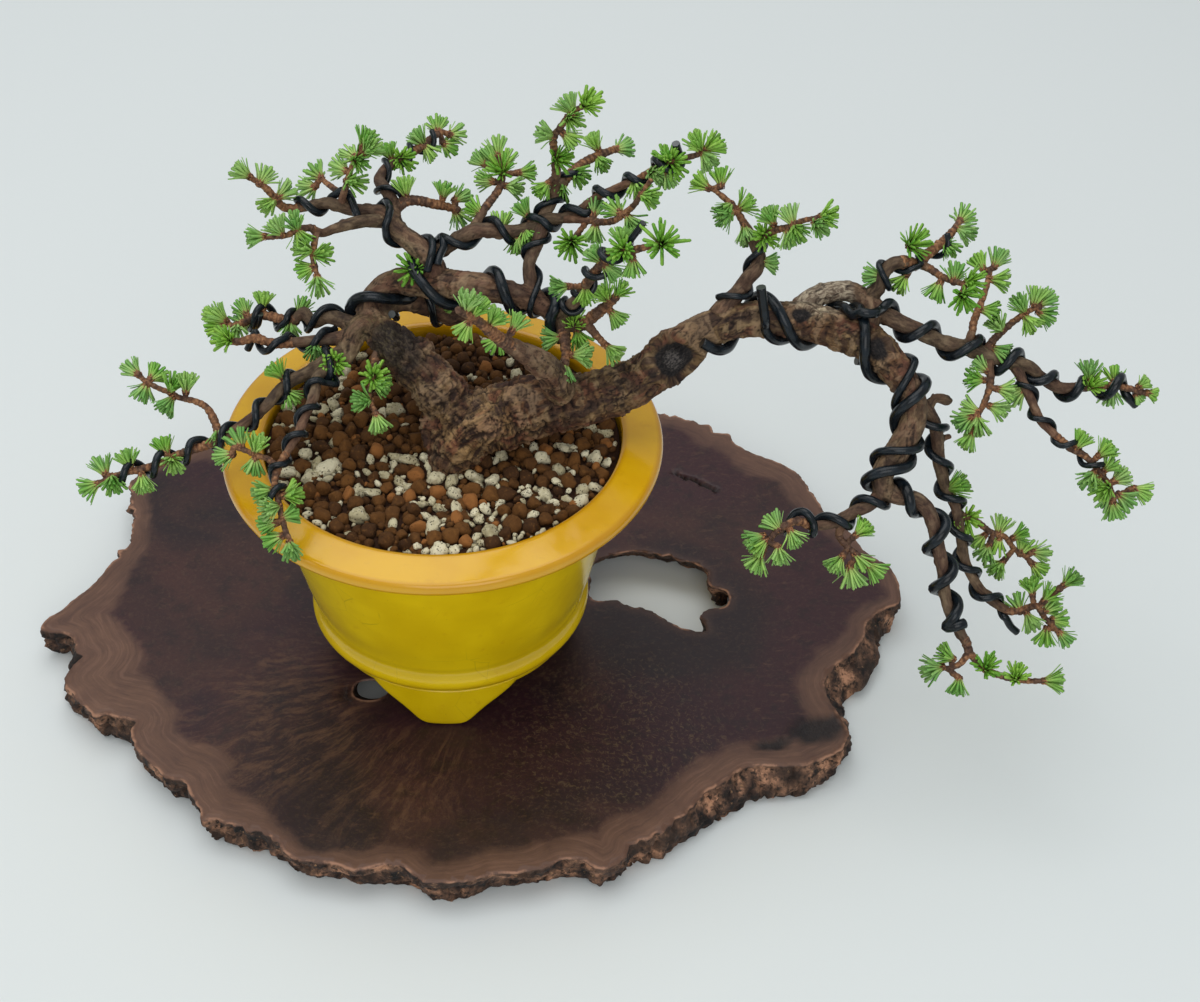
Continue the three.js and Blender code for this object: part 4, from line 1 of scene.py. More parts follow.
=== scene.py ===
"""Larch bonsai in its yellow-glazed pot on a burl slab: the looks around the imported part."""
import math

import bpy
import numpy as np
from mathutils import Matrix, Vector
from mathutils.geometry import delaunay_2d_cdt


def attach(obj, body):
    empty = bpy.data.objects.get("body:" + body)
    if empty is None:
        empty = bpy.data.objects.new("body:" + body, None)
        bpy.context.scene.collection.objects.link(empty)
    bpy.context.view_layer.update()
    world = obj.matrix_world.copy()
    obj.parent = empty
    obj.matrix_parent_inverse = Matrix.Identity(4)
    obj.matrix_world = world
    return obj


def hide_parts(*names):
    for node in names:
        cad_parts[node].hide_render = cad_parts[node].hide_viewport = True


# Limbs: centre line points x, y, z and radius, in mm
LIMB = {
 "T": [[2.6,-13.5,90.0,6.6],[2.3,-15.0,98.0,6.2],[2.1,-16.0,105.4,5.83],[4.0,-13.0,114.6,8.53],[12.5,-9.0,123.8,10.53],[20.8,-5.0,125.1,11.58],[35.4,-2.0,128.3,10.56],[50.7,0.0,129.6,8.87],[65.9,3.0,134.1,8.17],[76.0,6.0,141.4,7.8],[87.5,9.0,150.4,6.75],[97.5,11.0,154.6,6.4],[109.2,12.0,155.8,6.06],[121.1,12.0,154.8,6.41],[134.5,9.0,153.1,6.73],[145.2,5.0,150.1,6.39],[151.9,0.0,145.6,5.71],[156.6,-5.0,141.5,5.03],[158.9,-10.0,137.0,4.69],[158.4,-15.0,131.6,4.35],[154.2,-20.0,125.2,4.35],[149.1,-25.0,118.8,4.02],[149.8,-29.0,114.7,3.35]],
 "CR": [[149.9,-28.0,114.7,3.02],[155.2,-30.0,113.5,2.85],[160.1,-31.0,113.6,2.68],[164.1,-32.0,110.5,2.68],[167.2,-34.0,104.7,2.52],[169.0,-37.0,98.4,2.36],[171.3,-41.0,89.7,2.2],[173.1,-45.0,80.4,2.04],[176.5,-49.0,73.9,2.05],[180.5,-53.0,68.4,1.71],[182.2,-55.0,64.1,1.54]],
 "CR1": [[181.8,-54.5,65.2,1.37],[179.1,-57.0,62.2,1.2],[174.9,-59.0,61.2,1.02]],
 "CR2": [[181.8,-54.5,65.2,1.37],[186.8,-56.0,59.4,1.3],[194.0,-57.0,56.1,1.17],[202.7,-59.0,56.0,1.03],[207.8,-60.0,57.2,0.86]],
 "CL": [[149.9,-28.0,114.7,2.68],[144.9,-32.0,111.4,2.35],[140.4,-34.0,110.4,2.17],[136.1,-36.0,109.0,2.01],[131.6,-38.0,108.0,1.84],[125.3,-41.0,109.6,1.66],[119.9,-43.0,113.5,1.49],[115.8,-45.0,113.0,1.32],[112.7,-46.0,110.7,1.15],[110.4,-48.0,108.9,0.99]],
 "CL1": [[136.1,-36.0,109.0,1.67],[134.9,-39.0,104.0,1.34],[138.3,-42.0,100.9,1.17],[141.1,-43.0,99.2,1.0]],
 "R2": [[158.2,-9.0,138.3,2.68],[163.9,-8.0,133.8,2.36],[167.3,-8.0,128.2,2.37],[168.9,-9.0,122.5,2.38],[169.8,-11.0,116.2,2.22],[171.6,-14.0,110.3,2.22],[173.5,-17.0,105.7,2.06],[176.4,-20.0,101.5,2.06],[178.3,-22.0,95.5,1.89],[180.0,-25.0,88.0,1.9],[182.1,-27.0,80.5,1.74],[187.0,-30.0,72.9,1.74],[192.3,-32.0,67.7,1.75],[198.0,-34.0,64.9,1.4],[202.8,-34.0,65.5,1.4],[207.1,-35.0,68.6,1.22],[210.8,-36.0,63.8,1.05],[215.0,-38.0,60.0,0.87]],
 "R2k": [[163.9,-8.0,133.8,2.02],[166.5,-6.0,136.6,1.68],[171.6,-3.0,133.9,2.03]],
 "R2a": [[177.5,-21.0,98.7,1.37],[186.0,-19.0,92.5,1.21],[191.3,-17.0,86.6,1.12],[196.8,-16.0,83.5,1.05],[200.8,-16.0,77.9,0.99],[205.6,-16.0,74.1,0.88]],
 "R2s": [[169.1,-9.0,121.2,1.19],[173.5,-8.0,122.2,1.02]],
 "G": [[118.8,13.0,155.3,3.37],[123.2,18.0,158.0,3.72],[129.4,21.0,159.7,3.73],[136.5,22.0,160.4,3.39],[142.9,20.0,159.0,3.39],[145.2,13.0,157.1,3.03],[143.9,8.0,152.0,3.03]],
 "UB": [[143.6,19.0,158.5,2.71],[147.8,19.9,164.2,2.53],[148.9,21.6,168.3,2.35],[151.8,23.3,170.8,2.35],[156.1,25.1,170.5,2.36],[160.6,27.3,168.2,2.03],[165.3,30.7,171.3,1.86],[170.4,35.1,172.9,1.7],[173.8,39.4,174.5,1.36],[176.4,43.0,176.3,1.02]],
 "UB1": [[161.2,27.7,168.4,1.7],[164.5,23.8,168.8,1.42],[168.1,18.0,169.6,1.27],[171.6,12.5,171.5,1.06],[174.0,8.0,173.9,0.86]],
 "LR": [[144.3,17.7,158.5,3.04],[148.0,14.0,157.7,3.03],[153.5,11.0,156.2,3.03],[160.0,9.0,154.1,2.86],[167.7,8.0,150.8,2.7],[172.4,7.0,149.6,2.7],[178.5,6.0,148.8,2.53],[185.8,5.0,146.3,2.36],[192.1,4.0,145.5,2.36],[198.3,3.0,144.3,2.19],[203.8,3.0,139.3,2.03],[210.6,3.0,135.2,2.04],[217.2,4.0,134.9,1.7],[223.6,4.0,135.5,1.43],[229.4,4.0,135.6,1.29],[235.0,4.0,134.5,1.16],[238.7,3.0,134.0,1.02]],
 "LR1": [[177.7,6.0,149.2,1.68],[179.0,9.6,153.2,1.41],[180.0,13.2,156.4,1.35],[182.2,16.8,161.3,1.18],[184.0,21.2,164.8,1.01],[185.3,26.0,167.2,0.85]],
 "LR2": [[183.6,5.0,147.1,1.69],[185.4,8.0,149.5,1.48],[189.4,11.0,152.8,1.35],[194.4,14.0,155.7,1.18],[198.2,15.0,158.4,1.01],[201.8,16.0,159.8,0.88]],
 "LR3": [[184.9,5.1,146.6,1.62],[185.3,-2.0,142.8,1.34],[183.8,-7.0,139.0,1.17],[181.4,-11.0,135.7,1.0],[178.4,-13.0,133.8,0.87]],
 "LR4": [[193.6,4.0,144.7,1.86],[196.3,-2.0,141.3,1.68],[199.0,-8.0,137.6,1.68],[201.9,-13.0,133.5,1.54],[206.4,-17.0,130.8,1.4],[211.0,-20.0,128.2,1.34],[216.4,-22.0,126.1,1.17],[220.4,-25.0,123.1,1.07],[223.8,-28.0,120.0,1.0],[226.3,-31.0,116.0,0.87]],
 "UC": [[92.8,10.0,153.6,4.04],[95.2,12.0,160.4,3.02],[98.5,14.0,162.8,2.85],[100.7,16.0,165.1,2.68],[103.0,18.0,167.8,2.68],[105.6,20.0,170.1,2.68],[106.9,23.0,172.9,2.35],[105.2,26.0,175.7,2.01],[103.9,29.0,178.0,1.68],[100.8,32.0,181.6,1.34],[97.6,35.0,185.1,1.18],[93.9,37.0,187.7,1.01],[90.9,39.0,189.1,0.84]],
 "UC1": [[104.2,28.0,177.1,1.54],[107.5,24.4,180.0,1.4],[111.3,20.8,185.3,1.32],[115.1,17.2,188.9,1.15],[118.8,13.6,193.7,0.97],[123.4,10.0,197.7,0.81]],
 "FB": [[41.1,-1.2,128.8,5.75],[38.1,-11.3,148.5,4.96],[31.9,-19.0,161.2,3.88],[24.7,-26.0,171.2,2.54],[19.5,-32.3,181.3,1.87],[14.5,-37.8,190.6,1.53],[10.7,-42.0,196.2,1.21]],
 "GL": [[9.5,-9.0,124.2,9.16],[3.0,-5.0,130.8,8.81],[-4.0,-2.0,139.0,8.43],[-10.8,2.0,143.9,8.09],[-16.0,6.0,147.1,7.09],[-20.9,11.0,147.9,5.43]],
 "H": [[-19.3,9.0,147.7,4.74],[-24.5,15.0,150.3,4.08],[-25.4,19.0,153.2,3.74],[-23.1,22.0,156.1,3.92],[-18.7,24.0,158.5,4.08],[-13.5,24.0,159.9,4.76],[-5.1,21.0,160.9,5.08],[4.0,18.0,162.8,5.05],[14.3,15.0,164.0,4.69],[24.0,14.0,162.8,4.02],[32.7,13.0,159.6,3.7],[40.5,11.0,155.9,3.36]],
 "Bk": [[-19.3,9.0,147.7,4.06],[-21.1,18.0,149.0,3.75],[-18.3,25.0,149.5,3.78],[-12.1,29.0,148.4,4.15],[-5.5,31.0,145.0,4.17],[1.5,32.0,140.5,3.84],[6.7,32.0,139.4,2.8]],
 "UPB": [[-2.0,20.0,161.7,4.05],[-2.5,22.0,167.3,3.87],[-4.9,24.0,170.3,3.7],[-8.0,26.0,172.5,3.7],[-11.4,28.0,174.3,3.54],[-14.9,30.0,176.1,3.37],[-17.8,33.0,177.7,3.04]],
 "LT": [[-16.4,32.0,176.8,3.04],[-19.7,33.9,180.2,2.7],[-23.2,35.0,180.2,2.53],[-27.9,35.0,180.5,2.36],[-33.1,34.5,182.0,2.19],[-37.9,33.8,184.3,2.01],[-43.3,33.2,183.8,1.85],[-48.2,32.1,183.2,1.68],[-52.7,30.8,184.3,1.5],[-55.4,29.5,189.0,1.33],[-57.9,29.0,193.2,1.16],[-61.3,29.0,195.9,0.99]],
 "LT1": [[-31.9,34.6,181.5,1.68],[-32.9,36.8,183.7,1.41],[-35.7,41.0,184.1,1.18],[-39.6,45.2,184.4,1.02],[-42.4,49.0,184.4,0.85]],
 "LT2": [[-34.4,34.3,182.6,1.34],[-32.0,35.2,190.2,1.2],[-30.5,37.0,194.6,1.07],[-28.3,38.0,199.4,1.0],[-26.4,38.0,202.5,0.83]],
 "LL": [[-17.8,33.0,177.7,2.36],[-25.2,28.5,180.9,2.18],[-30.4,24.5,182.2,2.0],[-34.9,20.8,182.7,1.72],[-38.4,17.0,183.5,1.52],[-41.3,14.0,187.4,1.31],[-44.9,11.5,188.6,1.14],[-48.6,9.2,187.7,0.98],[-52.4,7.0,188.4,0.81]],
 "LL1": [[-39.9,15.4,185.4,1.31],[-40.1,9.5,183.8,1.14],[-40.1,5.5,181.9,0.98],[-39.3,2.2,179.8,0.98],[-38.2,0.0,178.2,0.81]],
 "BU": [[-17.1,33.0,176.9,2.7],[-16.8,39.0,179.8,2.37],[-19.6,44.7,182.4,2.18],[-22.8,50.0,183.0,2.05],[-21.5,55.3,183.6,1.89],[-18.9,60.7,184.0,1.73],[-14.2,66.0,183.6,1.57],[-9.7,71.3,184.0,1.4],[-6.1,76.0,184.9,1.23],[-3.6,80.0,184.6,1.06]],
 "BR": [[-16.7,38.3,179.4,2.03],[-13.1,40.0,181.6,1.9],[-8.6,42.0,180.4,1.77],[-3.7,44.0,178.0,1.71],[0.8,46.0,175.6,1.51],[4.5,47.0,173.8,1.24]],
 "MR": [[-8.8,27.0,172.2,2.7],[-2.4,27.0,170.3,2.7],[2.0,27.3,172.2,2.7],[5.4,27.9,174.3,2.69],[9.8,29.2,176.8,2.69],[16.1,30.2,177.0,2.52],[23.1,30.9,175.9,2.36],[28.9,31.0,177.6,2.19],[34.3,31.2,180.7,2.08],[40.6,31.8,181.2,1.88],[45.7,32.0,184.0,1.67],[52.0,31.9,189.7,1.53],[59.2,31.2,194.2,1.39],[65.4,30.6,197.8,1.32],[71.5,29.9,202.6,1.18],[78.3,29.3,206.2,1.08],[84.1,29.4,208.1,0.98],[87.6,30.0,210.1,0.85]],
 "MR1": [[9.8,29.2,176.8,1.69],[13.4,38.2,179.3,1.56],[16.4,44.8,180.3,1.43],[18.6,50.4,181.2,1.37],[19.1,54.8,182.8,1.2],[18.3,58.0,184.8,1.03]],
 "V": [[32.1,13.0,159.6,3.02],[30.3,17.0,165.3,2.52],[29.6,20.0,170.1,2.35],[31.5,24.0,174.3,2.35],[33.4,28.0,178.0,2.18],[34.5,34.0,181.3,2.19],[37.1,39.0,184.4,2.02],[40.6,45.0,187.4,1.86],[45.2,52.0,188.7,1.7],[51.6,58.0,189.4,1.54],[58.1,64.0,188.7,1.31]],
 "V1": [[37.5,39.7,184.8,1.69],[38.1,40.7,193.6,1.54],[37.7,42.0,200.2,1.4],[37.1,42.0,205.9,1.33],[39.4,40.9,210.4,1.19],[42.1,38.6,216.0,1.11],[45.4,37.1,219.9,0.98],[47.6,36.0,222.0,0.84]],
 "OT": [[40.6,31.8,181.2,1.51],[50.4,26.0,184.1,1.2],[57.1,18.0,189.5,1.15],[63.1,14.0,197.3,1.04],[66.8,12.0,204.7,0.96],[69.2,12.0,209.3,0.8]],
 "N1": [[40.2,11.0,156.7,2.69],[46.0,5.0,166.9,1.98],[49.3,0.0,177.3,1.79],[53.4,-4.0,186.9,1.6],[57.8,-8.0,195.1,1.42],[63.4,-11.0,198.0,1.26],[67.7,-14.0,201.3,1.09]],
 "N2": [[40.5,11.0,155.5,2.69],[45.6,9.0,152.9,2.36],[51.0,9.0,157.1,2.18],[55.6,9.0,161.8,1.84],[59.2,9.0,165.9,1.5]],
 "N2a": [[48.6,9.0,155.0,1.68],[52.4,5.0,152.7,1.34],[55.5,2.0,150.8,1.17]],
 "N3": [[40.5,11.0,155.5,2.69],[41.7,5.0,152.8,2.35],[42.5,-2.0,150.6,1.67],[42.3,-7.0,149.4,1.33]],
 "BD": [[-19.3,9.0,147.7,5.08],[-25.6,12.0,149.1,4.58],[-29.1,9.0,147.9,4.06],[-30.9,5.0,145.4,3.55],[-32.1,2.0,143.4,3.03]],
 "LA": [[-27.6,11.0,149.0,3.05],[-34.5,16.0,148.9,2.72],[-40.1,19.0,147.9,2.39],[-44.9,20.0,144.9,2.23],[-48.2,23.0,146.5,2.06],[-52.1,22.0,143.7,1.9],[-59.3,24.0,143.8,1.73],[-64.6,25.0,143.8,1.56],[-69.2,24.0,141.4,1.38],[-73.0,23.0,140.4,1.21],[-76.5,24.0,141.3,1.04]],
 "LB": [[-29.2,9.0,147.5,3.05],[-36.2,8.0,146.8,2.37],[-43.5,7.0,146.6,2.03],[-50.9,6.0,146.3,1.86],[-56.8,5.0,146.9,1.69],[-62.6,5.0,148.9,1.51],[-67.6,4.0,147.9,1.35],[-72.4,3.0,149.3,1.07]],
 "LC": [[-31.2,4.0,144.4,3.04],[-37.9,0.0,144.0,2.52],[-42.9,-4.0,142.3,2.35],[-48.5,-8.0,141.5,2.17],[-52.8,-12.0,139.8,2.0],[-56.5,-16.0,137.0,1.86],[-61.2,-20.0,134.6,1.83],[-66.3,-23.0,132.2,1.66],[-70.9,-25.0,129.9,1.66],[-75.6,-26.0,128.0,1.66],[-80.3,-27.0,126.6,1.49],[-84.6,-28.0,125.2,1.49],[-90.8,-29.0,122.4,1.33],[-96.5,-30.0,120.5,1.33],[-102.1,-31.0,119.5,1.16],[-107.8,-32.0,118.0,1.0],[-111.5,-33.0,116.6,0.83]],
 "LC1": [[-72.1,-25.3,129.4,1.49],[-73.1,-21.0,130.8,1.33],[-74.9,-18.0,133.5,1.33],[-77.5,-15.0,135.3,1.2],[-81.2,-14.0,136.6,1.1],[-85.9,-12.0,136.1,1.04],[-90.2,-11.0,137.8,1.0],[-94.3,-10.0,139.1,1.0],[-98.2,-9.0,141.1,0.87],[-100.1,-8.0,143.3,0.8]],
 "LD": [[-31.8,3.0,143.5,2.7],[-36.9,-3.0,143.8,2.18],[-40.4,-8.0,142.5,2.0],[-40.8,-15.0,140.4,1.82],[-42.4,-22.0,138.7,1.65],[-43.9,-29.0,137.6,1.51],[-45.5,-35.0,136.6,1.46],[-48.0,-40.0,134.8,1.3],[-49.7,-45.0,133.1,1.29],[-49.9,-50.0,131.4,1.16],[-48.2,-56.0,130.3,1.09],[-46.8,-60.0,126.2,0.96],[-45.2,-64.0,123.9,0.96],[-43.4,-67.0,121.9,0.83]],
 "LD1": [[-49.2,-44.0,133.5,1.16],[-52.8,-42.0,135.6,1.03],[-56.8,-41.0,136.3,0.97],[-60.9,-39.0,136.7,0.91],[-64.3,-38.0,137.0,0.81]],
 "SP": [[-20.1,9.4,147.9,2.03],[-21.5,-2.0,145.0,1.34],[-21.8,-8.0,142.1,1.07],[-22.7,-14.0,139.1,1.0],[-20.0,-19.0,136.4,0.83]],
}
# Index where old wood ends and a young shoot begins
WOOD_END = {"CR":9,"CR1":0,"CR2":0,"CL":5,"CL1":1,"R2":13,"R2a":1,"UB":4,"UB1":1,"LR":12,"LR1":1,"LR2":1,"LR3":1,"LR4":4,"UC":9,"UC1":1,"FB":3,"LT":7,"LT1":1,"LT2":1,"LL":5,"LL1":1,"BU":5,"BR":1,"MR":13,"MR1":1,"V":7,"V1":1,"OT":1,"N1":2,"N2":1,"N2a":1,"N3":1,"LA":5,"LB":3,"LC":9,"LC1":1,"LD":7,"LD1":1,"SP":1}
PARENT = {"CR":"T","CL":"T","CR1":"CR","CR2":"CR","CL1":"CL","R2":"T","R2k":"R2","R2a":"R2","R2s":"R2","G":"T","UB":"G","UB1":"UB","LR":"G","LR1":"LR","LR2":"LR","LR3":"LR","LR4":"LR","UC":"T","UC1":"UC","FB":"T","GL":"T","H":"GL","Bk":"GL","UPB":"H","LT":"UPB","LT1":"LT","LT2":"LT","LL":"UPB","LL1":"LL","BU":"UPB","BR":"BU","MR":"UPB","MR1":"MR","V":"H","V1":"V","OT":"MR","N1":"H","N2":"H","N2a":"N2","N3":"H","BD":"GL","LA":"BD","LB":"BD","LC":"BD","LC1":"LC","LD":"BD","LD1":"LD","SP":"BD"}
# Young shoots: CAD node to limbs and the index where each starts
SHOOT = {"shoot_cascade_tip":[["CR",9],["CR1",0],["CR2",0]],"shoot_cascade_left":[["CL",5]],"shoot_cascade_left_spur":[["CL1",1]],"shoot_lower_right_tip":[["R2",13]],"shoot_lower_right_side":[["R2a",1]],"shoot_right_rising":[["UB",4],["UB1",0]],"shoot_far_right_tip":[["LR",12]],"shoot_far_right_upper":[["LR1",1]],"shoot_far_right_middle":[["LR2",1]],"shoot_far_right_hanging":[["LR3",1]],"shoot_far_right_drooping":[["LR4",4]],"shoot_centre_tip":[["UC",9]],"shoot_centre_side":[["UC1",1]],"shoot_front":[["FB",3]],"shoot_upper_left_tip":[["LT",7]],"shoot_upper_left_side":[["LT1",1]],"shoot_upper_left_rising":[["LT2",1]],"shoot_lower_crown_left":[["LL",5]],"shoot_lower_crown_hanging":[["LL1",1]],"shoot_back_tip":[["BU",5]],"shoot_back_side":[["BR",1]],"shoot_crown_right_tip":[["MR",13]],"shoot_crown_middle":[["MR1",1]],"shoot_apex_right":[["V",7]],"shoot_apex":[["V1",1]],"shoot_crown_right_low":[["OT",1]],"shoot_crown_front_rising":[["N1",2]],"shoot_crown_front_right":[["N2",1],["N2a",0]],"shoot_crown_front_hanging":[["N3",1]],"shoot_left_upper":[["LA",5]],"shoot_left_middle":[["LB",3]],"shoot_left_tip":[["LC",9]],"shoot_left_side":[["LC1",1]],"shoot_left_hanging_tip":[["LD",7]],"shoot_left_hanging_side":[["LD1",1]],"shoot_trunk_left":[["SP",1]]}
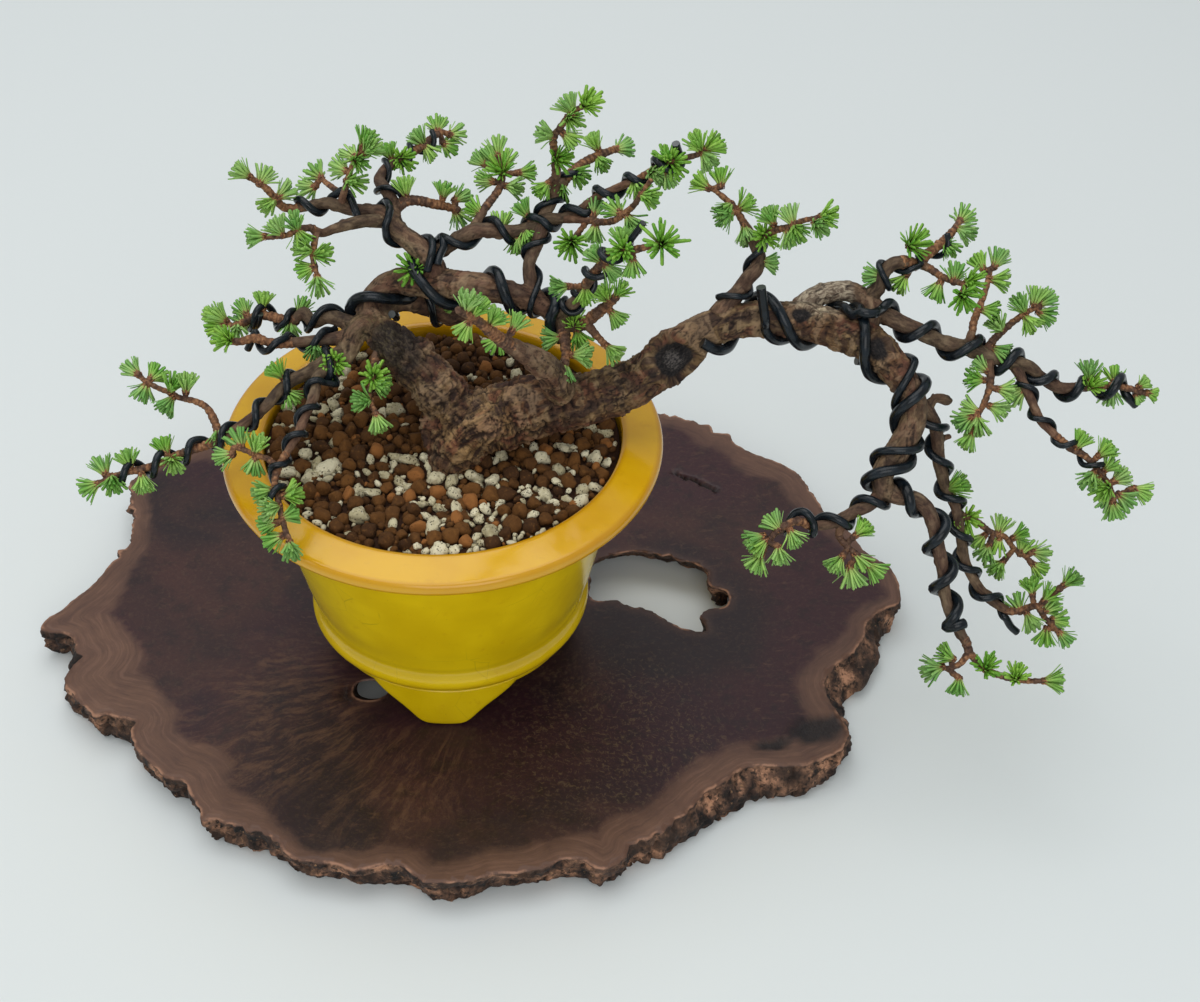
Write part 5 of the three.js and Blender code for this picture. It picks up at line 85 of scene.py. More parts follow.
# Needle tufts: foot of the spur, top of the spur, direction, needle length, in mm
TUFT = {
 "shoot_upper_left_tip": [[-61.3,29.0,195.9,-62.6,29.0,197.1,-0.77,0.0,0.63,6.8],[-59.5,29.0,194.6,-59.6,28.8,194.6,0.42,0.83,0.38,7.0],[-55.0,29.7,188.2,-54.4,30.4,188.3,0.62,0.78,0.1,7.1],[-55.0,29.7,188.2,-55.1,29.5,188.2,-0.62,-0.77,-0.14,6.4]],
 "shoot_upper_left_side": [[-42.4,49.0,184.4,-44.5,48.4,181.3,-0.74,0.48,-0.46,7.0],[-42.4,49.0,184.4,-42.3,49.0,184.6,-0.59,0.8,0.1,6.4]],
 "shoot_lower_crown_left": [[-45.5,11.1,188.6,-45.4,11.1,188.4,-0.21,-0.08,0.97,6.7],[-51.8,7.4,188.2,-50.0,8.6,188.1,-0.58,0.23,0.78,6.8],[-52.4,7.0,188.4,-55.4,6.1,189.1,-0.89,-0.41,0.18,6.3],[-45.5,11.1,188.6,-45.6,11.2,188.7,0.44,-0.41,-0.8,6.8]],
 "shoot_lower_crown_hanging": [[-40.2,7.3,182.9,-40.5,7.2,183.0,-0.73,-0.51,0.46,6.7],[-40.2,6.1,182.2,-40.0,6.0,182.3,0.89,-0.32,0.31,6.8],[-39.4,2.7,180.1,-39.6,2.7,180.0,-0.92,0.04,-0.4,6.4],[-38.2,0.0,178.2,-38.4,-0.5,178.4,0.27,-0.87,-0.42,6.9]],
 "shoot_upper_left_rising": [[-30.5,37.0,194.6,-31.6,37.8,194.4,-0.79,0.6,-0.07,6.5],[-28.3,38.0,199.4,-28.5,38.2,199.3,-0.59,0.79,-0.19,6.3],[-26.4,38.0,202.5,-26.1,39.0,203.5,0.46,0.22,0.86,6.7],[-26.4,38.0,202.5,-25.1,36.5,202.5,0.68,-0.31,0.67,6.8],[-28.6,37.9,198.7,-28.6,37.8,198.7,0.49,-0.82,0.3,6.2],[-31.4,35.8,191.9,-31.7,36.0,191.8,0.79,-0.57,0.22,7.1]],
 "shoot_back_tip": [[-18.9,60.7,184.0,-19.4,61.1,185.1,-0.41,0.35,0.84,6.1],[-16.6,63.3,183.8,-16.6,63.3,183.8,0.39,-0.86,0.34,6.3],[-9.0,72.2,184.2,-8.9,72.1,184.0,-0.63,0.14,0.77,6.8],[-9.0,72.2,184.2,-9.1,72.2,184.2,0.59,-0.06,-0.8,6.6],[-3.6,80.0,184.6,-5.0,79.6,185.0,-0.07,0.98,0.19,6.2],[-3.6,80.0,184.6,-0.9,81.3,182.9,0.69,0.68,-0.26,6.3],[-4.0,79.3,184.6,-3.1,79.0,180.7,0.53,0.55,-0.64,6.4]],
 "shoot_back_side": [[-12.4,40.3,181.6,-12.7,40.8,182.9,-0.23,0.32,0.92,7.2],[-1.4,45.1,176.7,-0.8,46.1,179.1,0.21,0.38,0.9,6.2],[3.3,46.7,174.3,2.9,48.6,176.6,0.7,0.69,0.16,6.4],[4.5,47.0,173.8,3.0,46.8,173.7,0.43,0.24,-0.87,7.0]],
 "shoot_left_upper": [[-76.5,24.0,141.3,-77.6,24.8,142.0,-0.88,0.35,0.31,6.9],[-76.5,24.0,141.3,-75.6,23.9,141.7,-0.77,0.28,0.58,7.1],[-76.5,24.0,141.3,-76.4,23.1,140.1,-0.98,-0.04,-0.2,7.1],[-67.7,24.4,142.2,-68.8,26.3,142.8,-0.47,0.85,0.24,6.2],[-69.9,23.8,141.2,-69.8,23.7,141.2,-0.27,0.86,-0.43,6.7],[-71.8,23.2,140.5,-71.8,23.4,140.6,0.09,-0.99,-0.13,6.8],[-62.9,24.9,144.0,-62.8,25.8,146.1,0.07,0.41,0.91,6.1],[-51.3,22.0,144.1,-50.5,24.0,145.0,0.33,0.86,0.39,6.7],[-53.1,22.2,143.6,-53.1,22.0,143.5,0.14,-0.83,-0.54,6.1]],
 "shoot_left_middle": [[-71.6,3.2,149.1,-70.2,2.8,149.3,-0.51,-0.58,0.63,6.6]],
 "shoot_trunk_left": [[-21.7,-7.1,142.5,-21.7,-6.9,142.4,0.22,-0.7,0.68,7.0],[-21.9,-9.0,141.6,-22.0,-9.0,141.6,0.91,-0.42,-0.03,6.6],[-22.5,-14.9,138.7,-22.3,-14.8,138.6,-0.57,-0.64,0.51,6.8],[-20.0,-19.0,136.4,-20.2,-18.7,136.0,0.36,-0.7,-0.61,6.9]],
 "shoot_left_side": [[-100.1,-8.0,143.3,-100.1,-7.7,142.3,-0.77,0.55,0.32,6.3],[-97.0,-9.3,140.4,-96.4,-8.0,140.6,0.46,0.88,0.15,6.3],[-97.0,-9.3,140.4,-97.3,-9.5,140.0,-0.46,-0.33,-0.82,6.8],[-89.5,-11.2,137.5,-89.3,-11.2,138.2,0.37,0.0,0.93,7.2],[-84.4,-12.6,136.2,-84.0,-11.9,138.7,0.13,0.29,0.95,6.7],[-88.1,-11.4,136.9,-88.6,-12.2,136.5,-0.47,-0.79,-0.39,7.0],[-72.9,-21.6,130.5,-72.9,-21.8,130.5,0.28,-0.92,-0.29,6.2]],
 "shoot_left_tip": [[-111.5,-33.0,116.6,-112.6,-33.0,115.8,-0.89,-0.18,-0.41,7.1],[-109.2,-32.3,117.5,-109.9,-31.2,118.1,-0.47,0.77,0.42,7.2],[-101.2,-30.8,119.6,-101.6,-30.2,120.8,-0.29,0.44,0.85,6.7],[-107.8,-32.0,118.0,-107.9,-31.7,118.0,0.24,-0.97,-0.03,7.0],[-98.4,-30.3,120.1,-97.8,-31.8,119.1,0.31,-0.79,-0.52,6.8],[-88.7,-28.7,123.3,-89.5,-27.3,124.5,-0.4,0.7,0.59,6.5],[-87.6,-28.5,123.8,-87.6,-28.5,123.8,0.31,-0.94,0.1,6.3]],
 "shoot_left_hanging_side": [[-63.7,-38.2,137.0,-61.9,-38.0,137.0,-0.45,0.85,0.29,6.8],[-64.3,-38.0,137.0,-64.9,-38.6,134.4,-0.88,0.09,-0.46,6.4],[-57.5,-40.7,136.4,-57.2,-40.6,137.1,0.31,0.19,0.93,6.6],[-56.8,-41.0,136.3,-57.0,-41.3,135.6,-0.23,-0.32,-0.92,6.3]],
 "shoot_left_hanging_tip": [[-49.5,-52.0,131.2,-50.4,-52.5,131.4,-0.87,-0.46,0.18,7.0],[-48.5,-55.1,130.7,-46.0,-55.6,131.8,0.9,-0.16,0.4,6.2],[-47.7,-57.5,129.1,-47.9,-57.6,129.2,-0.69,-0.68,0.24,7.1],[-46.8,-60.0,126.2,-46.7,-59.9,126.2,0.92,0.37,0.11,6.1],[-46.5,-60.7,125.7,-48.5,-60.8,125.0,-0.94,-0.05,-0.34,6.4],[-44.9,-64.6,123.5,-46.4,-64.5,122.6,-0.85,0.01,-0.53,6.7],[-43.4,-67.0,121.9,-43.8,-67.3,122.4,0.28,-0.92,-0.29,6.3]],
 "shoot_crown_middle": [[18.3,58.0,184.8,13.2,58.8,184.5,-0.72,0.63,0.3,6.1],[18.3,58.0,184.8,17.5,60.6,187.1,-0.21,0.79,0.58,7.2],[18.3,58.0,184.8,16.8,58.8,184.8,-0.47,0.79,0.39,7.0],[18.3,58.0,184.8,19.4,58.3,184.3,0.17,0.93,0.34,6.8],[18.9,52.0,181.6,16.4,53.2,181.4,-0.9,0.44,-0.09,6.8],[18.9,56.0,183.4,19.0,56.2,183.1,-0.29,-0.52,0.81,7.2],[19.0,55.4,183.1,24.8,56.6,183.1,0.98,0.21,0.0,6.5],[18.8,51.2,181.4,20.8,50.4,181.6,0.92,-0.38,0.12,6.4],[12.8,36.8,179.0,12.7,36.9,179.0,-0.75,0.63,0.21,6.2]],
 "shoot_apex": [[37.3,41.9,206.7,37.4,41.9,206.6,-0.87,-0.18,0.45,6.8],[43.7,37.8,218.1,43.8,37.7,218.0,-0.51,0.35,0.79,7.1],[47.6,36.0,222.0,47.1,35.9,221.9,0.53,-0.49,0.69,7.0],[42.1,38.6,216.0,42.1,38.5,216.0,0.52,-0.82,0.22,6.3],[39.0,41.1,209.6,40.2,41.0,208.6,0.75,-0.06,-0.66,6.8],[37.9,41.7,198.1,37.8,41.8,198.0,0.55,-0.71,0.45,6.8],[38.0,40.5,192.3,35.5,38.3,190.7,-0.67,-0.6,-0.43,6.2]],
 "shoot_apex_right": [[52.7,59.0,189.4,51.9,59.3,191.1,-0.43,0.16,0.89,6.5],[58.1,64.0,188.7,58.1,64.1,188.5,0.69,0.7,-0.17,7.1],[51.6,58.0,189.4,51.7,57.9,189.4,0.48,-0.8,-0.37,6.1],[43.5,49.7,188.4,43.4,49.8,188.4,0.71,-0.7,-0.08,6.7],[40.0,43.9,187.0,40.0,44.1,187.1,-0.21,-0.92,-0.32,6.9]],
 "shoot_crown_right_low": [[49.0,27.1,183.5,43.7,22.7,177.9,-0.04,-0.91,0.4,7.6],[66.3,12.2,203.7,66.4,12.1,203.7,0.74,-0.65,0.14,6.3],[50.4,26.0,184.1,50.8,27.8,184.9,0.18,0.9,0.4,6.4],[60.3,15.6,193.3,59.7,16.6,193.4,-0.52,0.85,0.06,6.6],[61.3,15.0,194.6,61.9,14.2,194.1,0.54,-0.71,-0.45,7.1],[51.7,24.7,184.8,51.6,24.2,183.9,-0.13,-0.49,-0.86,6.5]],
 "shoot_crown_right_tip": [[74.9,29.6,204.5,74.8,29.6,204.9,-0.26,-0.01,0.97,6.2],[76.1,29.5,205.1,76.0,29.8,205.0,0.19,-0.92,0.34,7.1],[69.4,30.2,201.0,69.5,30.0,201.1,0.43,-0.87,0.23,6.1],[73.8,29.7,203.9,74.3,29.0,202.2,0.28,-0.34,-0.9,6.3],[64.4,30.7,197.2,64.3,30.9,197.3,0.31,-0.85,-0.43,7.0],[85.9,29.6,209.1,85.7,29.6,209.6,-0.41,-0.05,0.91,6.9],[87.6,30.0,210.1,87.1,29.8,210.1,0.79,0.1,0.6,7.1],[85.9,29.6,209.1,86.0,29.5,209.1,0.59,-0.71,-0.37,6.5]],
 "shoot_centre_tip": [[90.9,39.0,189.1,89.4,39.3,189.2,-0.86,0.43,0.28,7.0],[90.9,39.0,189.1,93.6,39.5,190.0,-0.04,0.74,0.67,6.9],[97.0,35.4,185.6,97.1,35.4,185.6,-0.58,-0.75,-0.3,6.5],[98.7,34.1,184.0,97.3,33.1,183.7,-0.82,-0.53,-0.2,7.1],[98.7,34.1,184.0,99.6,34.2,184.6,0.81,0.09,0.58,6.7],[101.3,31.5,181.0,101.5,30.4,180.3,0.19,-0.84,-0.51,7.1]],
 "shoot_centre_side": [[111.3,20.8,185.3,110.3,21.2,187.5,-0.43,0.14,0.89,6.2],[108.1,23.8,180.8,108.1,23.7,180.8,-0.0,-0.82,0.57,6.2],[116.3,16.0,190.5,116.3,16.1,190.5,-0.39,0.75,0.53,7.2],[114.5,17.8,188.3,114.6,17.6,188.0,0.28,-0.43,-0.86,7.2],[116.3,16.0,190.5,116.4,15.8,190.4,0.36,-0.92,-0.13,6.8],[122.6,10.6,197.1,122.3,9.1,196.1,0.48,-0.85,0.21,6.3],[123.4,10.0,197.7,124.2,9.9,197.9,0.76,-0.42,0.5,6.3]],
 "shoot_crown_front_rising": [[60.6,-9.6,196.9,60.3,-8.6,198.5,-0.15,0.51,0.85,6.1],[60.6,-9.6,196.9,60.6,-9.6,196.9,-0.19,-0.82,0.54,6.3],[54.1,-4.7,188.4,53.6,-4.5,188.9,-0.68,0.22,0.7,6.3],[63.4,-11.0,198.0,63.6,-12.1,195.7,0.07,-0.41,-0.91,6.7],[67.7,-14.0,201.3,72.5,-12.2,201.0,0.05,-0.7,0.71,9.2],[54.1,-4.7,188.4,54.5,-4.8,188.1,0.71,-0.28,-0.65,7.1],[48.7,0.8,175.6,42.9,-1.7,177.0,-0.9,-0.38,0.22,6.2],[48.7,0.8,175.6,48.7,0.3,175.3,0.08,-0.84,-0.54,6.3]],
 "shoot_crown_front_right": [[56.9,9.0,163.2,56.3,9.0,164.1,-0.53,-0.0,0.85,6.7],[59.2,9.0,165.9,58.9,8.9,166.2,0.51,-0.05,0.86,6.1],[55.6,9.0,161.8,57.0,8.3,160.3,0.67,-0.32,-0.66,6.8],[45.6,9.0,152.9,46.0,7.5,152.1,0.21,-0.88,-0.43,7.0],[55.5,2.0,150.8,56.3,1.3,150.8,0.69,-0.66,-0.3,6.5],[44.8,9.2,152.9,44.8,9.2,152.9,0.06,-0.24,0.97,6.3]],
 "shoot_front": [[12.5,-40.0,193.6,12.6,-39.9,194.2,0.23,0.17,0.96,7.1],[14.5,-37.8,190.6,14.8,-37.8,191.1,0.51,0.06,0.86,7.1],[14.5,-37.8,190.6,13.7,-38.1,189.1,-0.48,-0.17,-0.86,6.4],[18.7,-33.3,182.9,19.6,-33.0,184.2,0.58,0.17,0.79,6.3],[23.7,-27.1,172.9,26.1,-25.1,176.4,0.52,0.43,0.74,6.5],[21.9,-29.3,176.3,22.0,-29.3,176.4,-0.28,0.47,-0.84,6.7]],
 "shoot_crown_front_hanging": [[41.9,3.9,152.4,40.3,3.4,152.5,-0.96,-0.28,0.04,6.8],[42.6,-2.9,150.4,44.8,-3.5,150.6,0.96,-0.25,0.12,7.2],[42.3,-7.0,149.4,42.3,-6.2,148.9,-0.08,-0.8,-0.59,6.9]],
 "shoot_right_rising": [[163.7,29.4,170.2,157.7,31.3,172.7,0.43,-0.54,0.72,8.3],[176.4,43.0,176.3,176.0,42.9,175.4,0.47,0.88,-0.01,6.6],[174.2,40.1,174.8,175.0,39.5,174.8,0.76,-0.65,-0.0,6.9],[169.7,34.4,172.7,170.0,33.9,172.6,0.57,-0.8,-0.17,6.2],[159.8,26.9,168.3,156.7,23.7,165.8,-0.61,-0.62,-0.49,6.8],[171.1,13.4,171.1,171.0,13.2,171.1,0.2,0.86,0.47,6.8],[168.1,18.0,169.6,167.4,17.3,168.0,-0.41,-0.36,-0.84,7.1],[174.0,8.0,173.9,174.1,8.6,174.0,0.56,-0.63,0.55,7.0],[173.6,8.7,173.5,172.5,3.8,172.6,0.14,-0.98,0.16,6.7]],
 "shoot_far_right_upper": [[185.3,26.0,167.2,183.0,25.5,167.4,-0.46,0.73,0.51,6.6],[185.3,26.0,167.2,186.7,27.0,167.8,0.43,0.8,0.42,7.0],[184.4,22.8,165.7,185.3,22.4,165.9,0.91,-0.38,0.17,6.8],[181.1,14.9,158.9,182.0,14.6,158.9,0.92,-0.38,0.06,6.5]],
 "shoot_far_right_middle": [[189.4,11.0,152.8,189.4,11.0,152.8,-0.62,0.02,0.78,6.6],[184.9,7.5,149.1,186.3,6.7,148.9,0.86,-0.49,-0.11,6.5],[197.0,14.7,157.6,196.8,14.8,157.8,-0.56,0.18,0.81,7.1],[201.8,16.0,159.8,199.6,16.2,160.0,0.22,0.6,0.76,6.9],[201.8,16.0,159.8,201.6,16.8,159.7,0.8,0.52,0.29,7.1],[201.8,16.0,159.8,201.4,14.9,158.2,0.95,-0.15,-0.28,6.7],[196.4,14.6,157.2,196.8,14.1,156.9,0.56,-0.76,-0.33,6.9]],
 "shoot_far_right_hanging": [[185.4,-0.9,143.4,184.2,0.1,144.0,-0.71,0.63,0.33,6.3],[185.2,-3.0,142.2,182.4,-3.3,142.9,-0.97,-0.11,0.24,6.6],[179.4,-12.4,134.4,180.9,-11.2,135.4,-0.87,0.46,-0.14,6.6],[182.7,-9.2,137.3,184.7,-10.4,137.4,0.84,-0.54,0.04,6.8],[178.4,-13.0,133.8,178.3,-12.9,134.2,-0.83,-0.45,-0.34,6.5],[178.4,-13.0,133.8,180.5,-13.0,134.6,-0.01,-0.93,-0.37,7.1],[184.8,-4.7,140.9,187.5,-5.4,140.8,0.97,-0.26,-0.01,6.4],[178.4,-13.0,133.8,178.6,-16.8,130.9,-0.42,-0.69,-0.59,6.6]],
 "shoot_far_right_tip": [[220.5,4.1,135.2,220.3,4.9,137.6,-0.05,0.33,0.94,7.1],[220.5,4.1,135.2,220.4,4.1,135.1,0.23,-0.38,0.9,6.6],[229.4,4.0,135.6,229.4,5.1,136.0,0.06,0.94,0.33,6.3],[228.4,4.0,135.7,228.5,3.9,135.1,0.08,-0.17,-0.98,7.0],[238.1,3.2,134.1,237.5,3.9,135.7,0.76,0.07,0.64,4.2],[237.5,3.4,134.2,237.1,4.1,132.5,0.69,0.04,-0.73,3.7],[238.7,3.0,134.0,240.6,2.9,133.8,0.98,-0.18,-0.11,3.8]],
 "shoot_far_right_drooping": [[212.8,-20.7,127.5,213.3,-20.4,128.3,0.52,0.33,0.79,6.5],[218.5,-23.4,124.6,220.8,-22.8,127.1,0.66,0.19,0.72,6.6],[221.6,-26.0,122.1,222.8,-25.6,123.1,0.71,0.25,0.66,6.3],[224.2,-28.5,119.4,226.0,-27.6,119.9,0.86,0.43,0.27,6.4],[220.4,-25.0,123.1,219.2,-26.4,122.6,-0.64,-0.74,-0.23,6.6],[222.2,-26.5,121.6,222.2,-26.5,121.5,-0.44,0.21,-0.87,6.3],[224.7,-29.0,118.7,224.5,-29.2,118.8,-0.67,-0.7,0.23,7.0],[226.3,-31.0,116.0,225.2,-29.8,116.7,-0.03,-0.0,-1.0,6.9],[226.3,-31.0,116.0,227.7,-30.3,116.7,0.84,-0.3,-0.46,7.0],[226.3,-31.0,116.0,232.9,-28.8,118.0,0.94,-0.16,-0.3,6.5],[226.3,-31.0,116.0,225.9,-31.8,114.3,0.24,-0.53,-0.81,6.6]],
 "shoot_lower_right_side": [[184.8,-19.3,93.6,181.5,-18.3,94.3,-0.04,-0.83,0.55,7.2],[194.1,-16.4,85.0,194.1,-16.3,85.1,0.35,0.8,0.49,7.2],[198.2,-15.9,81.7,199.9,-15.5,82.6,0.87,0.22,0.44,6.3],[190.4,-17.3,87.5,189.1,-18.0,86.0,-0.64,-0.33,-0.7,6.6],[195.1,-16.2,84.6,194.8,-16.5,83.7,-0.27,-0.26,-0.93,7.0],[192.2,-16.8,86.0,190.3,-21.4,83.9,-0.36,-0.85,-0.38,6.6],[200.8,-16.0,77.9,196.2,-21.4,76.3,-0.63,-0.74,-0.22,6.3],[203.1,-16.0,75.9,203.1,-16.2,75.9,0.28,0.96,-0.07,6.9],[205.6,-16.0,74.1,207.7,-14.4,75.2,0.93,0.27,-0.25,6.8],[205.6,-16.0,74.1,207.9,-17.1,72.0,0.76,-0.15,-0.64,6.3]],
 "shoot_lower_right_tip": [[202.1,-34.0,65.2,202.2,-34.3,65.1,-0.24,0.92,0.32,7.1],[206.4,-34.8,68.5,205.3,-33.4,73.3,-0.23,0.27,0.94,6.1],[207.8,-35.2,68.2,209.7,-34.4,70.7,0.6,0.22,0.77,7.2],[207.8,-35.2,68.2,215.6,-33.8,77.8,0.63,0.11,0.77,6.9],[209.6,-35.6,65.6,210.4,-34.9,65.7,0.77,0.62,0.14,6.8],[213.6,-37.3,61.2,213.3,-35.6,62.5,0.87,0.43,-0.23,6.1],[203.6,-34.1,66.0,204.3,-35.8,65.4,0.38,-0.87,-0.32,6.9],[214.3,-37.7,60.6,211.6,-38.0,60.8,-0.13,-0.6,-0.79,7.0],[215.0,-38.0,60.0,216.0,-38.3,59.3,0.72,-0.31,-0.62,6.2]],
 "shoot_cascade_tip": [[174.9,-59.0,61.2,172.5,-59.1,62.2,-0.95,-0.3,0.01,7.9],[175.6,-58.7,61.4,176.2,-56.8,64.0,-0.83,0.08,0.55,6.6],[174.9,-59.0,61.2,178.3,-61.5,59.3,-0.17,-0.84,-0.52,6.4],[187.9,-56.2,58.6,187.9,-56.1,58.4,0.03,-0.41,0.91,6.9],[198.5,-58.0,55.8,198.5,-58.0,55.9,-0.07,-0.28,0.96,6.1],[207.8,-60.0,57.2,207.9,-59.8,57.0,0.98,-0.13,0.15,7.5]],
 "shoot_cascade_left": [[114.1,-45.5,112.0,114.2,-45.6,111.9,-0.59,0.75,0.31,6.9],[110.4,-48.0,108.9,108.8,-47.2,110.3,-0.95,-0.3,-0.11,7.2],[110.4,-48.0,108.9,109.9,-47.8,109.2,-0.8,-0.46,-0.39,6.9],[110.4,-48.0,108.9,108.4,-49.9,104.3,-0.53,-0.48,-0.7,7.0],[110.4,-48.0,108.9,113.8,-49.7,107.9,0.08,-0.78,-0.62,6.7],[116.4,-44.7,113.3,117.5,-46.1,112.2,0.51,-0.67,-0.54,6.7]],
 "shoot_cascade_left_spur": [[137.1,-41.1,101.8,140.4,-40.2,105.2,0.69,0.19,0.7,6.4],[138.3,-42.0,100.9,135.7,-44.9,99.4,-0.62,-0.69,-0.37,6.4],[141.1,-43.0,99.2,140.3,-42.9,99.1,0.58,-0.36,-0.73,7.1],[141.1,-43.0,99.2,138.7,-45.5,95.9,0.29,-0.54,-0.79,8.4],[141.1,-43.0,99.2,144.9,-44.8,96.2,0.78,-0.32,-0.54,7.0]],
 "tuft_upper_limb": [[-11.0,23.2,160.2,-9.6,23.1,165.0,-0.15,-0.66,0.74,7.5]],
 "tuft_right_fork": [[148.5,21.0,167.1,148.7,20.9,167.2,-0.88,0.4,-0.25,7.2]],
 "tuft_lower_right_branch": [[173.5,-17.0,105.7,173.3,-17.0,105.6,0.82,-0.12,0.57,8.7]],
}
TUFT_ON_OLD_WOOD = [[-42.3,7.2,146.6,-42.3,6.0,146.2,0.04,-0.93,-0.36,6.2],[-35.3,-1.1,143.8,-35.3,-1.0,143.7,0.1,-0.86,0.5,6.6],[-50.1,-9.3,141.0,-51.5,-9.0,143.1,-0.58,0.14,0.8,6.7],[-51.5,-10.7,140.5,-50.5,-11.6,139.7,0.63,-0.61,-0.49,6.3],[30.7,31.0,178.6,28.9,32.4,181.1,-0.54,0.4,0.74,6.5],[19.7,30.6,176.4,19.7,31.1,176.6,0.02,0.91,0.41,6.4],[25.2,31.0,176.2,25.3,30.4,175.1,0.09,-0.44,-0.89,7.1],[28.0,31.0,177.2,27.9,31.1,177.3,0.29,-0.82,-0.48,7.1],[106.8,22.0,172.0,107.6,21.8,172.0,0.98,-0.22,0.0,6.2],[-1.9,31.6,142.6,-2.0,31.6,142.5,0.46,-0.18,0.87,6.6],[197.2,-4.0,140.1,196.8,-3.9,139.7,-0.66,0.15,-0.74,6.9]]
